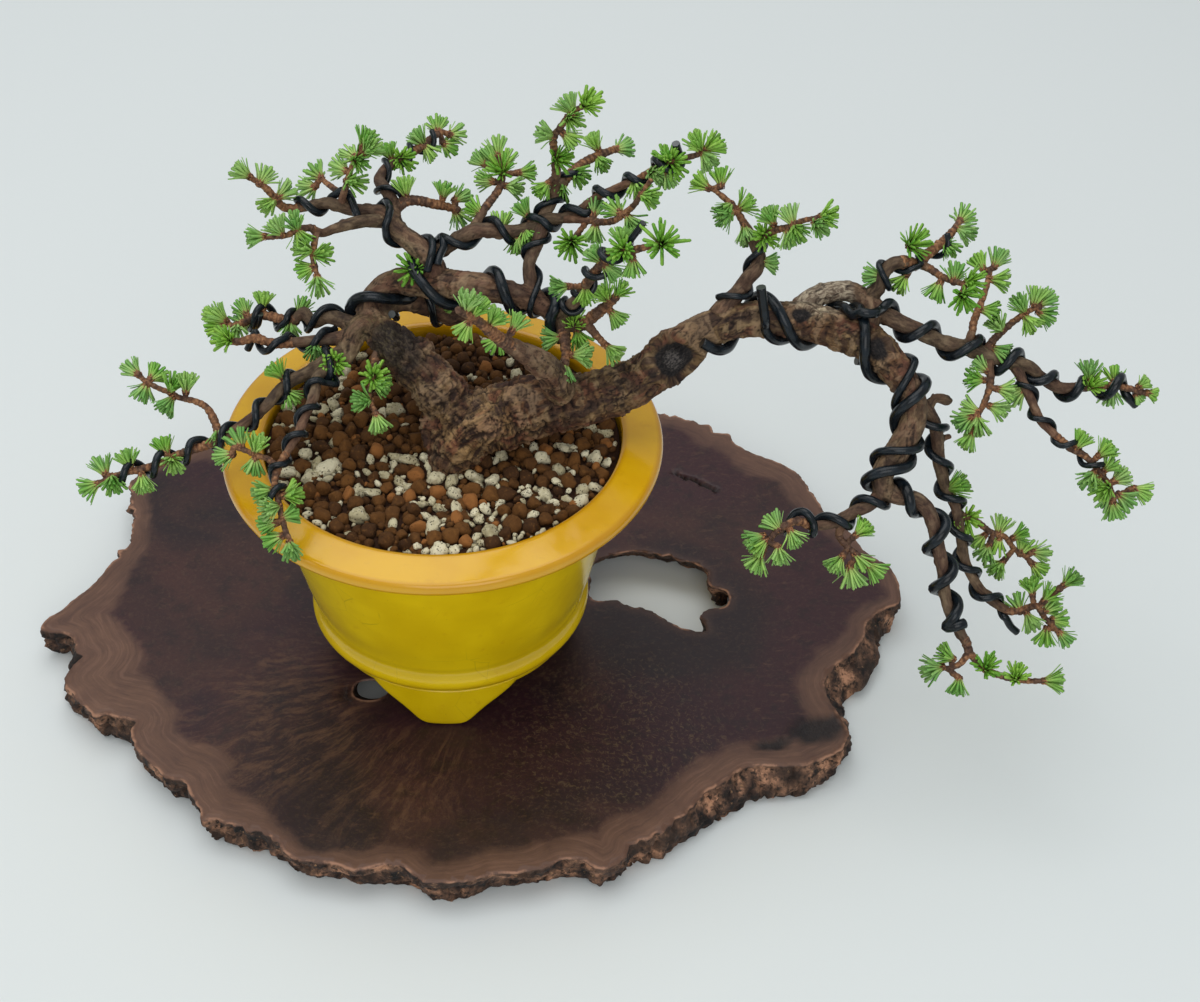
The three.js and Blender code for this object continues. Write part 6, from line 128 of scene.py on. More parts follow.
# Training wires: radius and centre line points, in mm
WIRE = {
 "wire_thick_upper_limb": [1.75,[[-25.78,18.83,144.48],[-30.03,19.42,148.12],[-31.81,18.7,152.83],[-29.78,17.03,157.22],[-25.33,16.07,158.96],[-20.66,16.47,157.89],[-16.92,18.66,155.41],[-13.51,21.96,152.9],[-10.14,25.89,153.45],[-9.04,29.65,156.75],[-8.86,30.16,162.4],[-10.28,26.85,166.67],[-9.89,20.73,167.79],[-6.7,15.47,165.94],[-3.11,12.31,162.33],[1.14,12.32,158.34],[5.59,15.09,155.96],[9.7,18.94,156.54],[13.04,21.77,160.02],[15.62,22.01,164.9],[17.78,19.26,169.1],[19.69,14.51,170.56],[21.25,9.84,168.54],[22.54,7.59,164.1],[23.82,8.5,159.26],[25.63,11.81,156.0],[28.31,15.79,155.27],[31.79,18.58,157.02],[35.26,18.66,160.09],[37.71,15.93,162.82],[38.57,11.7,163.53],[38.04,7.82,161.81],[37.15,6.08,158.39],[36.46,6.31,154.34],[37.38,6.63,150.86],[40.36,6.96,148.29]]],
 "wire_upper_left_crown": [1.25,[[-4.91,16.45,169.1],[-3.06,19.48,173.44],[-2.36,23.99,175.63],[-3.77,29.04,175.0],[-7.02,31.87,172.35],[-11.49,31.65,170.14],[-15.9,29.43,170.5],[-18.82,27.27,173.6],[-19.18,27.15,177.98],[-17.8,29.42,181.95],[-17.33,33.23,184.25],[-18.86,37.25,183.62],[-21.53,39.23,180.37],[-23.83,38.27,177.03],[-26.07,34.81,175.92],[-27.62,31.63,177.77],[-28.55,30.7,181.58],[-29.46,32.73,184.63],[-30.95,37.21,186.13],[-34.38,37.9,187.23],[-37.41,37.82,184.87],[-38.99,36.81,181.82],[-40.03,33.71,180.43],[-41.23,30.8,181.32],[-42.91,29.49,183.74],[-44.97,30.2,186.07],[-47.1,32.26,186.78],[-49.12,34.71,185.86]]],
 "wire_crown_right": [1.25,[[-0.8,17.68,171.08],[0.69,23.07,174.83],[-0.28,28.04,176.47],[-1.83,31.1,172.76],[-3.51,31.38,170.13],[-3.81,31.25,169.58],[-3.03,31.33,170.92],[-1.55,30.64,173.38],[-0.35,28.37,175.99],[1.8,25.3,176.81],[5.06,23.49,175.63],[8.34,24.23,173.65],[10.53,27.18,172.54],[11.92,30.94,172.77],[13.56,33.81,174.83],[15.54,34.49,178.22],[17.46,32.44,180.78],[19.4,29.11,180.7],[21.14,26.82,178.05],[22.84,26.79,174.46],[24.62,29.21,172.12],[26.16,32.7,172.46],[27.13,34.93,175.38],[27.75,34.64,179.05],[28.73,32.32,181.91],[30.88,29.54,183.16],[34.26,27.65,182.66],[36.92,27.46,180.4],[38.06,29.64,177.58],[39.02,33.03,177.4],[39.83,35.34,179.84],[40.61,35.18,183.03],[41.65,33.12,185.35],[43.42,30.6,186.36],[46.13,28.76,186.2],[49.34,28.81,185.73],[51.41,30.61,184.89],[52.17,33.45,185.82],[51.85,35.17,188.26],[51.28,34.86,191.22],[51.41,32.68,193.29],[52.7,29.99,193.69],[54.99,28.38,192.64],[57.61,28.68,191.29],[59.78,30.59,190.87],[61.02,32.91,192.09],[61.38,34.2,194.63],[61.39,33.64,197.42],[61.78,31.51,199.23],[63.06,29.02,199.52],[65.24,27.5,198.63],[67.78,27.77,197.58],[69.84,29.59,197.46],[70.82,31.79,198.8],[70.85,33.02,201.27],[70.62,32.48,203.95],[70.9,30.42,205.65],[72.12,28.01,205.79],[74.14,26.71,204.67],[76.4,27.11,203.36],[78.24,28.82,203.07],[79.56,31.07,203.94],[78.31,31.27,208.15],[77.32,30.62,211.61]]],
 "wire_rear_limb": [1.25,[[-16.16,16.13,152.34],[-15.42,18.86,148.3],[-16.06,22.23,144.91],[-17.48,26.62,143.48],[-17.94,31.18,145.25],[-16.07,33.93,149.16],[-12.12,33.59,152.63],[-7.72,30.46,153.25],[-4.88,26.83,150.42],[-3.97,25.06,145.47],[-4.04,26.24,140.29],[-3.46,29.95,136.96],[-1.71,35.04,135.84]]],
 "wire_crown_back": [0.9,[[-15.23,41.29,176.65],[-14.28,42.69,180.1],[-15.04,42.99,183.44],[-17.87,42.69,185.52],[-21.32,42.86,185.19],[-23.57,44.06,182.87],[-23.76,46.19,180.28],[-22.24,48.72,179.24],[-20.37,50.76,180.45],[-19.12,52.18,183.06],[-19.11,53.91,185.59],[-20.52,56.29,187.05],[-22.11,58.9,186.57],[-22.5,61.0,184.42],[-21.03,61.95,181.93],[-18.27,61.9,180.74],[-15.38,61.67,181.42],[-13.41,62.23,183.44],[-12.87,63.98,185.61],[-13.41,66.56,186.61],[-14.0,69.18,185.92],[-13.68,71.08,183.98],[-12.02,71.89,182.0],[-9.46,71.85,181.22],[-7.01,71.63,182.2],[-5.6,72.0,184.4],[-5.53,73.39,186.48],[-6.41,75.64,187.82]]],
 "wire_left_upper": [1.15,[[-32.39,18.86,145.63],[-34.35,20.96,148.84],[-37.29,21.16,151.47],[-40.81,19.22,152.13],[-43.4,17.15,149.96],[-45.15,16.0,146.2],[-46.75,16.95,142.83],[-47.56,20.36,141.72],[-48.15,24.1,142.31],[-49.9,26.17,143.8],[-52.07,25.55,145.78],[-53.52,22.96,147.11],[-54.89,20.48,146.53],[-56.23,19.35,144.08],[-57.3,20.46,141.45],[-58.08,23.24,140.21],[-58.87,26.19,141.1],[-60.03,27.75,143.63],[-61.64,27.14,146.28],[-63.42,24.95,147.35],[-64.79,22.63,146.11],[-65.55,21.64,143.42],[-66.3,22.17,140.7],[-67.49,23.84,138.48],[-64.9,23.05,141.01],[-63.29,22.58,146.15]]],
 "wire_left_middle": [1.15,[[-36.81,12.43,146.97],[-38.5,10.42,149.58],[-40.0,7.57,150.63],[-41.37,4.59,149.41],[-42.88,3.23,146.65],[-44.67,4.12,143.86],[-46.69,6.56,142.68],[-48.76,8.94,143.73],[-50.61,9.73,146.34],[-52.08,8.38,148.87],[-53.36,5.63,149.96],[-54.82,2.92,149.24],[-56.77,1.57,147.28],[-58.97,2.38,145.34],[-60.8,4.69,144.8],[-61.95,7.03,146.15],[-62.63,8.63,148.74],[-64.36,8.46,145.13],[-66.08,8.3,141.52]]],
 "wire_left_tip": [1.15,[[-29.69,5.12,139.14],[-33.65,5.87,140.7],[-37.34,5.62,143.03],[-39.12,3.48,146.76],[-38.18,0.0,148.4],[-36.06,-4.6,147.41],[-35.06,-7.36,144.05],[-37.11,-7.13,140.03],[-41.55,-5.32,138.42],[-45.68,-3.78,138.25],[-48.98,-3.52,140.55],[-50.71,-5.3,143.45],[-50.76,-8.57,144.93],[-49.9,-11.86,144.08],[-49.36,-13.79,141.3],[-50.11,-13.9,138.02],[-52.31,-12.93,135.72],[-55.43,-12.19,135.24],[-58.33,-12.8,136.47],[-59.97,-14.97,138.25],[-60.16,-18.09,139.1],[-59.55,-21.09,138.12],[-59.15,-22.83,135.44],[-59.87,-22.72,132.37],[-61.88,-21.33,130.39],[-64.69,-19.95,130.29],[-67.46,-19.81,131.67],[-69.48,-21.42,133.34],[-70.46,-24.27,133.91],[-70.64,-27.09,132.68],[-70.74,-28.48,129.96],[-71.4,-27.82,127.03],[-72.96,-25.72,125.36],[-75.2,-23.65,125.59],[-77.6,-22.99,127.28],[-79.6,-24.24,129.15],[-80.87,-26.84,129.82],[-81.5,-29.46,128.63],[-81.95,-30.73,126.06],[-82.74,-30.08,123.4],[-84.15,-28.12,121.88],[-86.18,-26.17,122.0],[-88.51,-25.48,123.35],[-90.57,-26.59,124.83],[-91.93,-28.95,125.23],[-92.64,-31.32,124.04],[-93.14,-32.5,121.6],[-93.95,-31.93,119.05],[-95.37,-30.05,117.62],[-97.26,-28.17,118.0],[-99.22,-27.45,119.73],[-100.87,-28.43,121.62],[-102.08,-30.64,122.42],[-102.91,-32.92,121.53],[-103.61,-34.08,119.37],[-104.5,-33.66,117.05],[-105.83,-32.1,115.8],[-107.54,-30.14,115.73]]],
 "wire_left_hanging": [1.05,[[-37.58,-1.56,140.12],[-34.81,-4.91,139.78],[-33.87,-8.55,140.34],[-36.42,-10.44,142.63],[-39.38,-11.5,144.86],[-42.23,-12.23,144.67],[-44.05,-12.7,142.19],[-43.84,-13.38,139.18],[-41.91,-14.63,137.07],[-39.55,-16.56,136.83],[-38.29,-18.81,138.41],[-38.95,-20.79,140.61],[-41.25,-22.18,141.93],[-44.04,-23.09,141.5],[-45.91,-23.92,139.41],[-45.99,-25.05,136.75],[-44.45,-26.68,134.92],[-42.42,-28.7,134.87],[-41.27,-30.78,136.47],[-41.88,-32.49,138.65],[-44.09,-33.63,139.99],[-46.75,-34.22,139.53],[-48.51,-34.62,137.48],[-48.74,-35.38,134.87],[-47.69,-36.88,132.93],[-46.3,-39.09,132.5],[-45.69,-41.46,133.52],[-46.49,-43.46,135.05],[-48.51,-44.91,136.03],[-50.97,-45.69,135.65],[-52.65,-46.04,133.68],[-52.53,-46.45,131.13],[-50.72,-47.24,129.4],[-48.48,-48.49,129.41],[-47.11,-50.08,130.86],[-47.14,-51.9,132.62],[-48.34,-53.87,133.64],[-49.77,-55.61,132.99],[-50.88,-56.91,130.96]]],
 "wire_thick_trunk_to_cascade": [1.7,[[88.04,-0.38,153.68],[93.17,1.59,149.24],[96.99,5.94,146.27],[99.42,12.24,146.0],[101.34,17.77,149.14],[103.47,20.37,154.94],[106.24,18.82,160.89],[109.53,13.86,164.23],[112.85,7.98,163.28],[115.78,4.1,158.57],[118.51,3.73,152.31],[121.75,6.84,147.09],[125.9,12.06,145.17],[130.69,16.73,147.31],[135.4,18.36,152.4],[139.16,15.74,157.81],[141.33,9.67,160.84],[141.91,2.8,159.73],[141.7,-1.99,154.91],[142.02,-3.18,148.37],[143.91,-1.58,142.33],[148.14,1.02,138.44],[154.08,2.67,137.6],[159.9,1.77,139.35],[163.52,-2.07,142.27],[163.6,-7.59,144.4],[160.52,-12.43,144.28],[156.23,-14.66,141.75],[153.0,-14.2,137.6],[152.18,-12.42,132.77],[153.55,-11.24,127.94],[156.43,-12.4,123.91],[159.08,-16.17,121.67],[159.77,-21.27,121.5],[157.69,-25.86,122.72],[153.44,-28.48,123.85],[148.27,-29.2,123.69],[144.13,-28.42,121.2],[142.62,-26.46,116.8],[144.57,-24.58,113.06],[148.65,-23.3,111.82],[152.52,-23.34,113.3],[154.99,-24.97,116.26],[156.25,-28.25,118.32],[156.94,-32.18,118.41],[157.64,-35.11,116.15],[158.33,-35.66,112.61],[159.11,-33.89,109.45],[160.45,-31.24,107.19],[163.1,-29.0,106.08],[166.76,-28.35,105.96],[170.09,-30.0,106.27],[171.77,-33.4,106.39],[171.15,-37.05,105.71],[168.85,-39.5,104.05],[166.22,-40.02,101.49],[164.66,-38.73,98.44],[165.1,-36.58,95.57],[167.5,-34.88,93.5],[170.91,-34.75,92.45],[173.96,-36.57,92.2],[175.4,-39.79,92.16],[174.75,-43.22,91.69],[172.45,-45.49,90.39],[169.73,-45.87,88.26],[167.99,-44.51,85.6],[168.13,-42.32,82.95],[170.23,-40.64,80.91],[173.46,-40.46,79.93],[176.31,-42.12,79.89],[177.75,-45.07,80.19],[177.42,-48.36,80.03],[175.84,-50.93,78.8],[174.04,-51.9,76.4],[172.64,-51.46,73.28],[176.07,-52.82,75.53],[179.99,-51.79,76.41]]],
 "wire_trunk_to_far_right": [1.5,[[106.21,3.4,174.55],[108.09,2.66,163.34],[108.75,2.76,159.39],[109.41,2.86,155.45],[113.07,6.46,149.52],[117.4,11.68,146.41],[122.87,17.08,147.57],[129.08,19.75,152.27],[134.33,17.23,157.64],[136.19,12.41,161.54],[138.26,7.39,162.75],[141.07,4.79,163.82],[143.88,5.08,163.32],[146.08,7.39,162.63],[148.19,10.62,162.37],[150.78,14.05,162.19],[152.92,16.37,159.71],[153.92,16.41,155.37],[154.1,13.77,151.77],[154.47,9.51,150.54],[156.05,5.63,152.02],[159.03,4.06,154.98],[162.48,5.58,157.27],[165.33,8.95,157.22],[167.06,12.03,154.51],[167.96,12.87,150.25],[168.68,10.76,146.49],[169.81,6.79,145.11],[171.75,3.22,146.53],[174.51,1.78,149.6],[177.8,2.82,152.33],[181.25,5.59,152.96],[182.18,9.07,150.99],[182.6,10.16,147.19],[184.02,8.34,143.47],[185.69,5.06,141.72],[187.94,1.6,142.49],[189.58,-0.24,145.71],[191.7,0.92,148.9],[193.91,4.0,149.89],[195.61,6.88,148.11],[196.47,7.72,144.66],[196.74,6.02,141.48],[197.31,2.87,139.63],[199.27,-0.07,139.42],[202.45,-1.25,140.49],[205.62,0.01,141.61],[207.8,2.86,141.51],[208.78,5.72,139.57],[209.06,7.1,136.23],[209.62,6.31,132.75],[211.01,3.67,130.87],[213.08,0.84,131.48],[215.06,-0.3,134.14],[216.58,0.71,137.09],[217.92,3.33,138.72],[219.39,6.17,138.19],[221.04,7.64,135.93],[222.72,6.96,133.38],[224.27,4.62,132.09],[225.71,2.03,132.78],[227.14,0.62,135.06],[228.61,1.17,137.62],[230.1,3.36,138.92],[231.38,5.93,138.12],[232.36,7.35,135.73],[233.27,6.83,133.15],[234.29,4.73,131.12],[236.22,4.48,129.25],[238.14,4.23,127.38]]],
 "wire_cascade_left": [1.3,[[140.11,4.65,142.59],[146.94,7.55,141.63],[153.58,7.94,143.16],[158.41,4.41,146.8],[159.51,-1.77,149.31],[157.15,-7.77,148.55],[153.72,-10.9,144.46],[152.0,-10.76,138.82],[153.29,-9.23,133.34],[156.77,-9.25,128.8],[160.8,-12.03,126.18],[162.76,-17.25,126.04],[160.94,-22.37,127.67],[156.1,-24.86,129.24],[150.52,-24.06,128.9],[146.56,-21.21,125.92],[145.99,-19.07,120.95],[148.54,-18.96,115.19],[151.13,-20.63,109.63],[151.44,-26.33,108.73],[150.82,-31.77,110.33],[148.91,-34.59,113.46],[145.27,-33.88,115.58],[142.2,-31.47,114.88],[140.33,-29.75,112.1],[139.62,-30.32,108.67],[139.59,-32.99,106.3],[139.32,-36.45,106.04],[138.11,-39.15,107.74],[135.91,-39.94,110.12],[133.22,-38.81,111.58],[130.53,-36.89,111.42],[128.08,-35.93,109.71],[126.23,-36.85,107.28],[125.28,-39.53,105.83],[125.24,-42.75,106.44],[125.49,-44.58,108.98],[125.45,-44.28,112.18],[124.43,-42.42,114.58],[122.31,-40.4,115.25],[119.76,-39.53,114.0],[118.03,-40.57,112.07],[117.36,-43.03,110.7],[116.98,-45.84,109.92]]],
 "wire_lower_right": [1.25,[[160.53,-5.67,131.65],[161.72,-8.94,130.11],[164.18,-11.45,129.28],[167.84,-12.18,128.92],[171.14,-10.64,128.0],[172.47,-7.69,126.06],[171.23,-5.26,123.42],[168.4,-5.02,120.9],[165.87,-7.27,119.16],[165.32,-10.87,118.24],[167.22,-13.97,117.68],[170.59,-15.18,116.81],[173.7,-14.36,115.06],[175.11,-12.5,112.28],[174.33,-11.2,109.01],[172.09,-11.74,106.19],[170.03,-14.37,104.69],[169.79,-18.04,104.67],[171.93,-20.91,105.46],[175.5,-21.87,105.89],[178.74,-20.83,104.84],[180.12,-18.83,102.35],[179.15,-17.41,99.25],[176.93,-17.73,96.58],[175.08,-20.03,94.87],[174.95,-23.35,94.12],[176.86,-26.1,93.74],[179.96,-27.07,92.98],[182.63,-26.0,91.35],[183.5,-23.88,88.98],[182.31,-22.25,86.34],[180.0,-22.35,83.97],[178.1,-24.41,82.24],[178.07,-27.51,81.36],[180.13,-29.97,81.15],[183.31,-30.59,80.95],[186.09,-29.35,80.0],[187.46,-27.32,77.97],[187.11,-25.98,75.1],[185.81,-26.43,72.23],[184.82,-28.76,70.26],[185.29,-31.89,69.76],[187.43,-34.13,70.41],[190.48,-34.4,71.24],[193.26,-32.95,71.22],[195.09,-30.93,69.78],[195.84,-29.73,67.14],[195.87,-30.24,64.19],[195.91,-32.43,62.39],[196.29,-35.58,62.14],[199.21,-35.83,59.43],[202.12,-36.08,56.71]]],
 "wire_right_rising": [1.0,[[151.77,17.41,164.23],[149.67,17.12,167.68],[147.47,18.47,170.54],[146.29,21.83,171.67],[147.25,25.16,170.71],[149.79,26.31,168.7],[152.73,25.12,167.25],[155.55,23.27,167.0],[158.32,22.24,168.24],[160.41,23.11,170.4],[160.94,25.61,171.78],[160.26,28.84,171.9],[160.83,31.5,170.88],[163.0,32.78,169.19],[165.91,32.39,168.34],[168.65,31.3,169.05],[170.53,30.72,171.37],[171.04,31.68,174.06],[170.48,33.96,176.27]]],
 "wire_far_right_drooping": [0.9,[[193.2,-3.44,141.45],[195.41,-5.11,142.6],[198.03,-5.9,142.62],[200.4,-5.79,141.05],[201.35,-5.6,138.4],[200.67,-6.1,135.7],[199.12,-7.69,133.96],[197.9,-10.2,133.63],[198.08,-12.84,134.46],[199.94,-14.52,135.56],[202.62,-14.77,135.88],[205.01,-14.11,134.89],[206.45,-13.54,132.75],[206.74,-13.97,130.19],[206.34,-15.69,128.28],[206.11,-18.22,127.71],[206.82,-20.55,128.52],[208.61,-21.7,129.91],[210.96,-21.28,130.77],[213.04,-19.92,130.34],[214.39,-18.73,128.62],[214.99,-18.68,126.28],[215.1,-20.1,124.39],[215.27,-22.36,123.75],[216.04,-24.48,124.23],[217.65,-25.81,125.18],[219.8,-25.93,125.6],[222.04,-25.14,125.23]]],
 "wire_centre_branch": [1.0,[[91.75,13.11,164.36],[95.36,11.3,165.68],[99.29,10.55,165.6],[102.78,11.86,164.26],[104.53,15.2,163.05],[104.23,19.03,163.44],[102.83,21.79,165.68],[101.98,22.52,169.03],[102.47,21.73,172.44],[104.35,20.95,175.13],[106.94,21.54,176.85],[108.91,23.94,177.0],[108.93,26.86,175.87],[106.94,29.07,174.5],[104.07,29.88,174.45],[101.09,29.53,175.86]]],
 "wire_apex_and_front": [1.0,[[45.62,52.29,185.11],[46.43,49.49,186.37],[46.08,47.42,188.42],[44.17,46.35,190.56],[41.18,46.15,191.21],[38.39,46.35,189.76],[37.21,46.09,186.85],[37.88,44.83,183.99],[39.52,42.48,182.56],[40.7,39.46,183.07],[40.0,36.9,184.9],[37.39,34.9,185.92],[34.0,34.29,185.62],[31.34,34.66,183.43],[30.96,34.98,180.11],[32.76,34.05,177.3],[34.91,31.36,175.92],[36.52,28.09,175.9],[36.23,24.74,176.9],[33.71,22.43,177.84],[30.23,21.93,177.49],[27.51,22.85,175.4],[26.93,24.03,172.15],[28.66,24.16,169.15],[31.41,22.56,167.67],[33.62,19.58,167.42],[33.86,15.88,167.03],[32.38,12.06,165.73],[30.92,8.53,163.28],[29.97,7.98,158.94],[30.59,10.74,155.12],[33.08,14.56,154.03],[36.42,16.85,155.61],[39.17,16.58,158.16],[41.07,14.42,160.46],[41.73,11.44,164.18],[39.82,5.78,164.36],[43.21,3.4,161.76],[46.65,4.3,161.89],[48.54,6.14,163.85],[48.48,7.61,166.69],[46.82,7.67,169.41],[44.89,5.97,171.24],[44.06,2.98,171.97],[45.11,0.06,172.15],[47.74,-1.54,172.48],[50.61,-1.28,173.58],[52.27,0.27,175.61],[52.13,1.85,178.23],[50.61,2.11,180.81],[48.88,0.57,182.73],[48.31,-2.2,183.66],[49.55,-4.88,183.83],[52.17,-6.23,183.93],[54.96,-5.83,184.68],[56.69,-4.29,186.42],[56.72,-2.85,188.91],[55.41,-2.68,191.45],[53.89,-4.24,193.28],[53.41,-6.92,194.02],[54.6,-9.34,193.75],[56.97,-10.35,193.2],[59.55,-9.71,193.22],[61.52,-8.37,194.29],[62.67,-7.45,196.35],[63.0,-7.98,198.71],[62.85,-9.76,200.74],[64.79,-9.94,204.23],[66.74,-10.12,207.72]]],
}
# Top edge of the slab: x, y, and how far the lower part stands out beyond it
SLAB_EDGE = [[34.0,135.0,-2.5],[-18.0,131.5,-2.5],[-62.0,124.0,-2.5],[-101.5,111.9,-2.5],[-132.1,94.8,-2.5],[-138.2,83.0,-2.5],[-135.9,70.8,-2.5],[-132.7,60.9,-2.5],[-131.8,49.2,-2.5],[-132.8,44.3,-2.5],[-135.8,42.9,-2.5],[-134.5,39.6,-2.5],[-137.0,35.7,-2.5],[-139.4,28.2,-2.5],[-142.6,21.6,-2.5],[-146.5,16.1,-2.5],[-150.2,9.7,-2.3],[-154.2,5.1,-1.9],[-156.4,0.6,-1.5],[-156.6,-1.2,-1.7],[-153.0,-3.2,-1.8],[-148.6,-3.6,-1.3],[-144.6,-4.7,0.1],[-142.0,-8.7,2.2],[-140.5,-12.9,4.6],[-137.5,-15.4,5.6],[-140.3,-19.7,4.3],[-141.6,-24.8,1.6],[-141.4,-28.9,-0.5],[-137.5,-33.0,-1.6],[-134.8,-37.0,-2.2],[-131.6,-41.0,-2.6],[-127.1,-45.7,-2.4],[-123.1,-44.8,-1.5],[-116.9,-46.3,-0.1],[-111.8,-47.8,0.5],[-112.9,-51.8,-0.2],[-111.4,-56.5,-1.4],[-108.1,-61.8,-2.1],[-103.7,-66.4,-2.1],[-100.1,-70.1,-2.2],[-97.2,-73.9,-2.4],[-90.6,-75.2,-2.3],[-87.5,-79.6,-2.1],[-83.7,-85.5,-2.4],[-81.1,-91.2,-2.7],[-76.2,-93.3,-2.2],[-68.1,-94.6,-1.5],[-64.5,-95.9,-1.4],[-57.5,-97.9,-1.8],[-53.1,-101.4,-2.7],[-49.6,-106.3,-4.0],[-45.9,-109.0,-4.4],[-40.3,-109.5,-3.7],[-34.7,-110.1,-3.3],[-28.9,-112.1,-3.9],[-25.5,-113.4,-4.1],[-21.2,-111.9,-3.2],[-15.8,-110.4,-2.0],[-10.2,-111.0,-1.9],[-6.5,-114.4,-2.5],[-0.8,-117.7,-3.0],[3.4,-117.5,-3.1],[7.9,-117.8,-3.0],[14.4,-116.3,-3.0],[19.9,-113.8,-3.4],[27.6,-113.2,-4.4],[34.3,-112.0,-4.7],[39.3,-109.8,-3.7],[44.2,-107.6,-2.2],[48.7,-106.8,-1.6],[52.1,-108.5,-2.1],[56.0,-110.2,-2.9],[61.1,-109.7,-3.1],[65.0,-106.1,-2.3],[67.3,-100.3,-1.0],[73.5,-97.3,-0.0],[80.4,-91.4,0.9],[86.2,-86.1,2.3],[91.5,-79.6,3.8],[96.9,-73.6,4.8],[104.1,-67.9,5.1],[108.5,-64.5,5.2],[118.5,-63.4,4.9],[128.2,-62.7,3.4],[134.7,-60.2,1.0],[142.2,-56.2,-0.8],[145.5,-50.9,-0.9],[146.4,-45.9,0.9],[144.0,-39.0,3.7],[141.4,-33.0,5.8],[139.4,-25.9,7.0],[140.2,-19.7,7.7],[144.5,-13.3,7.7],[152.0,-5.7,7.1],[156.6,3.1,6.6],[158.0,9.7,5.4],[163.2,15.4,2.8],[169.9,19.5,0.1],[171.6,21.2,-1.0],[172.6,30.4,-1.2],[171.0,38.4,-1.7],[167.6,43.6,-2.3],[160.5,50.1,-2.5],[155.0,61.6,-2.5],[147.1,71.1,-2.5],[144.2,80.9,-2.5],[140.3,88.6,-2.5],[136.8,97.0,-2.5],[130.8,102.5,-2.5],[125.7,105.8,-2.5],[117.7,110.3,-2.5],[111.2,116.5,-2.5],[109.1,121.8,-2.5],[102.7,122.8,-2.5],[101.7,127.6,-2.5],[94.9,129.8,-2.5],[89.6,132.7,-2.5],[83.5,134.4,-2.5],[79.0,136.1,-2.5]]
SLAB_HOLE = [[54.0,41.7],[70.9,46.2],[86.7,42.5],[96.4,37.0],[97.4,28.5],[104.6,24.8],[103.6,17.6],[93.9,13.5],[95.5,3.8],[86.0,6.3],[74.7,14.1],[63.1,19.3],[52.3,20.2]]
SLAB_SMALL_HOLE = [-28.6,-30.3]

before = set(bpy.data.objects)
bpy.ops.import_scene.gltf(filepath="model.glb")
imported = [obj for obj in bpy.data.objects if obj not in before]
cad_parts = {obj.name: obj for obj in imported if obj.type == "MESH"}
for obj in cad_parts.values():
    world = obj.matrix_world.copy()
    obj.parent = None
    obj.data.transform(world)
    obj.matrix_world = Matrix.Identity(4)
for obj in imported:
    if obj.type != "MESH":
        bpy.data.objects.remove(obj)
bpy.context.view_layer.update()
RIM_Z = 108.0
SLAB_T = 14.7
rng = np.random.default_rng(41)

# ---------------------------------------------------------------- camera
cam_data = bpy.data.cameras.new("camera")
cam = bpy.data.objects.new("camera", cam_data)
bpy.context.scene.collection.objects.link(cam)
right = Vector((0.9998477, 0.01155073, 0.01308308))
up = Vector((-0.01745241, 0.66174112, 0.74952925))
ahead = Vector((0.0, 0.74964343, -0.66184192))
m = Matrix((right, up, -ahead)).transposed().to_4x4()
m.translation = Vector((0.05472830, -0.53442742, 0.55470637))
cam.matrix_world = m
cam_data.sensor_fit = "HORIZONTAL"
cam_data.sensor_width = 36
cam_data.lens = 60
cam_data.clip_start, cam_data.clip_end = 0.01, 50
bpy.context.scene.camera = cam


# ---------------------------------------------------------------- numbers
def hash3(i, seed):
    h = (i[..., 0] * 374761393 + i[..., 1] * 668265263 + i[..., 2] * 2147483647 + seed * 1274126177) & 0xFFFFFFFF
    h = ((h ^ (h >> 13)) * 1274126177) & 0xFFFFFFFF
    h = ((h ^ (h >> 15)) * 2246822519) & 0xFFFFFFFF
    return ((h ^ (h >> 16)) & 0xFFFF) / 65535.0


def vnoise(p, seed=0):
    """Smooth value noise from -1 to 1."""
    p = np.asarray(p, float)
    i = np.floor(p).astype(np.int64)
    f = p - i
    f = f * f * (3 - 2 * f)
    out = 0
    for dx in (0, 1):
        for dy in (0, 1):
            for dz in (0, 1):
                w = (f[..., 0] if dx else 1 - f[..., 0]) * (f[..., 1] if dy else 1 - f[..., 1]) * (f[..., 2] if dz else 1 - f[..., 2])
                out = out + w * hash3(i + np.array([dx, dy, dz]), seed)
    return out * 2 - 1


def fbm(p, octaves=4, seed=0):
    out, a, total = 0, 1.0, 0.0
    p = np.asarray(p, float)
    for k in range(octaves):
        out = out + a * vnoise(p * 2.0**k + 17.3 * k, seed + k)
        total += a
        a *= 0.5
    return out / total


def worley(p, seed=0):
    """Distances to the nearest and the second nearest cell point, and the nearest cell's random number."""
    p = np.asarray(p, float)
    base = np.floor(p).astype(np.int64)
    f1 = np.full(p.shape[:-1], 9.0)
    f2 = np.full(p.shape[:-1], 9.0)
    who = np.zeros(p.shape[:-1])
    for dx in (-1, 0, 1):
        for dy in (-1, 0, 1):
            for dz in (-1, 0, 1):
                c = base + np.array([dx, dy, dz])
                q = c + np.stack([hash3(c, seed), hash3(c, seed + 1), hash3(c, seed + 2)], -1)
                d = np.linalg.norm(q - p, axis=-1)
                closer = d < f1
                f2 = np.where(closer, f1, np.minimum(f2, d))
                who = np.where(closer, hash3(c, seed + 3), who)
                f1 = np.where(closer, d, f1)
    return f1, f2, who


def smoothstep(a, b, x):
    t = np.clip((x - a) / (b - a), 0, 1)
    return t * t * (3 - 2 * t)


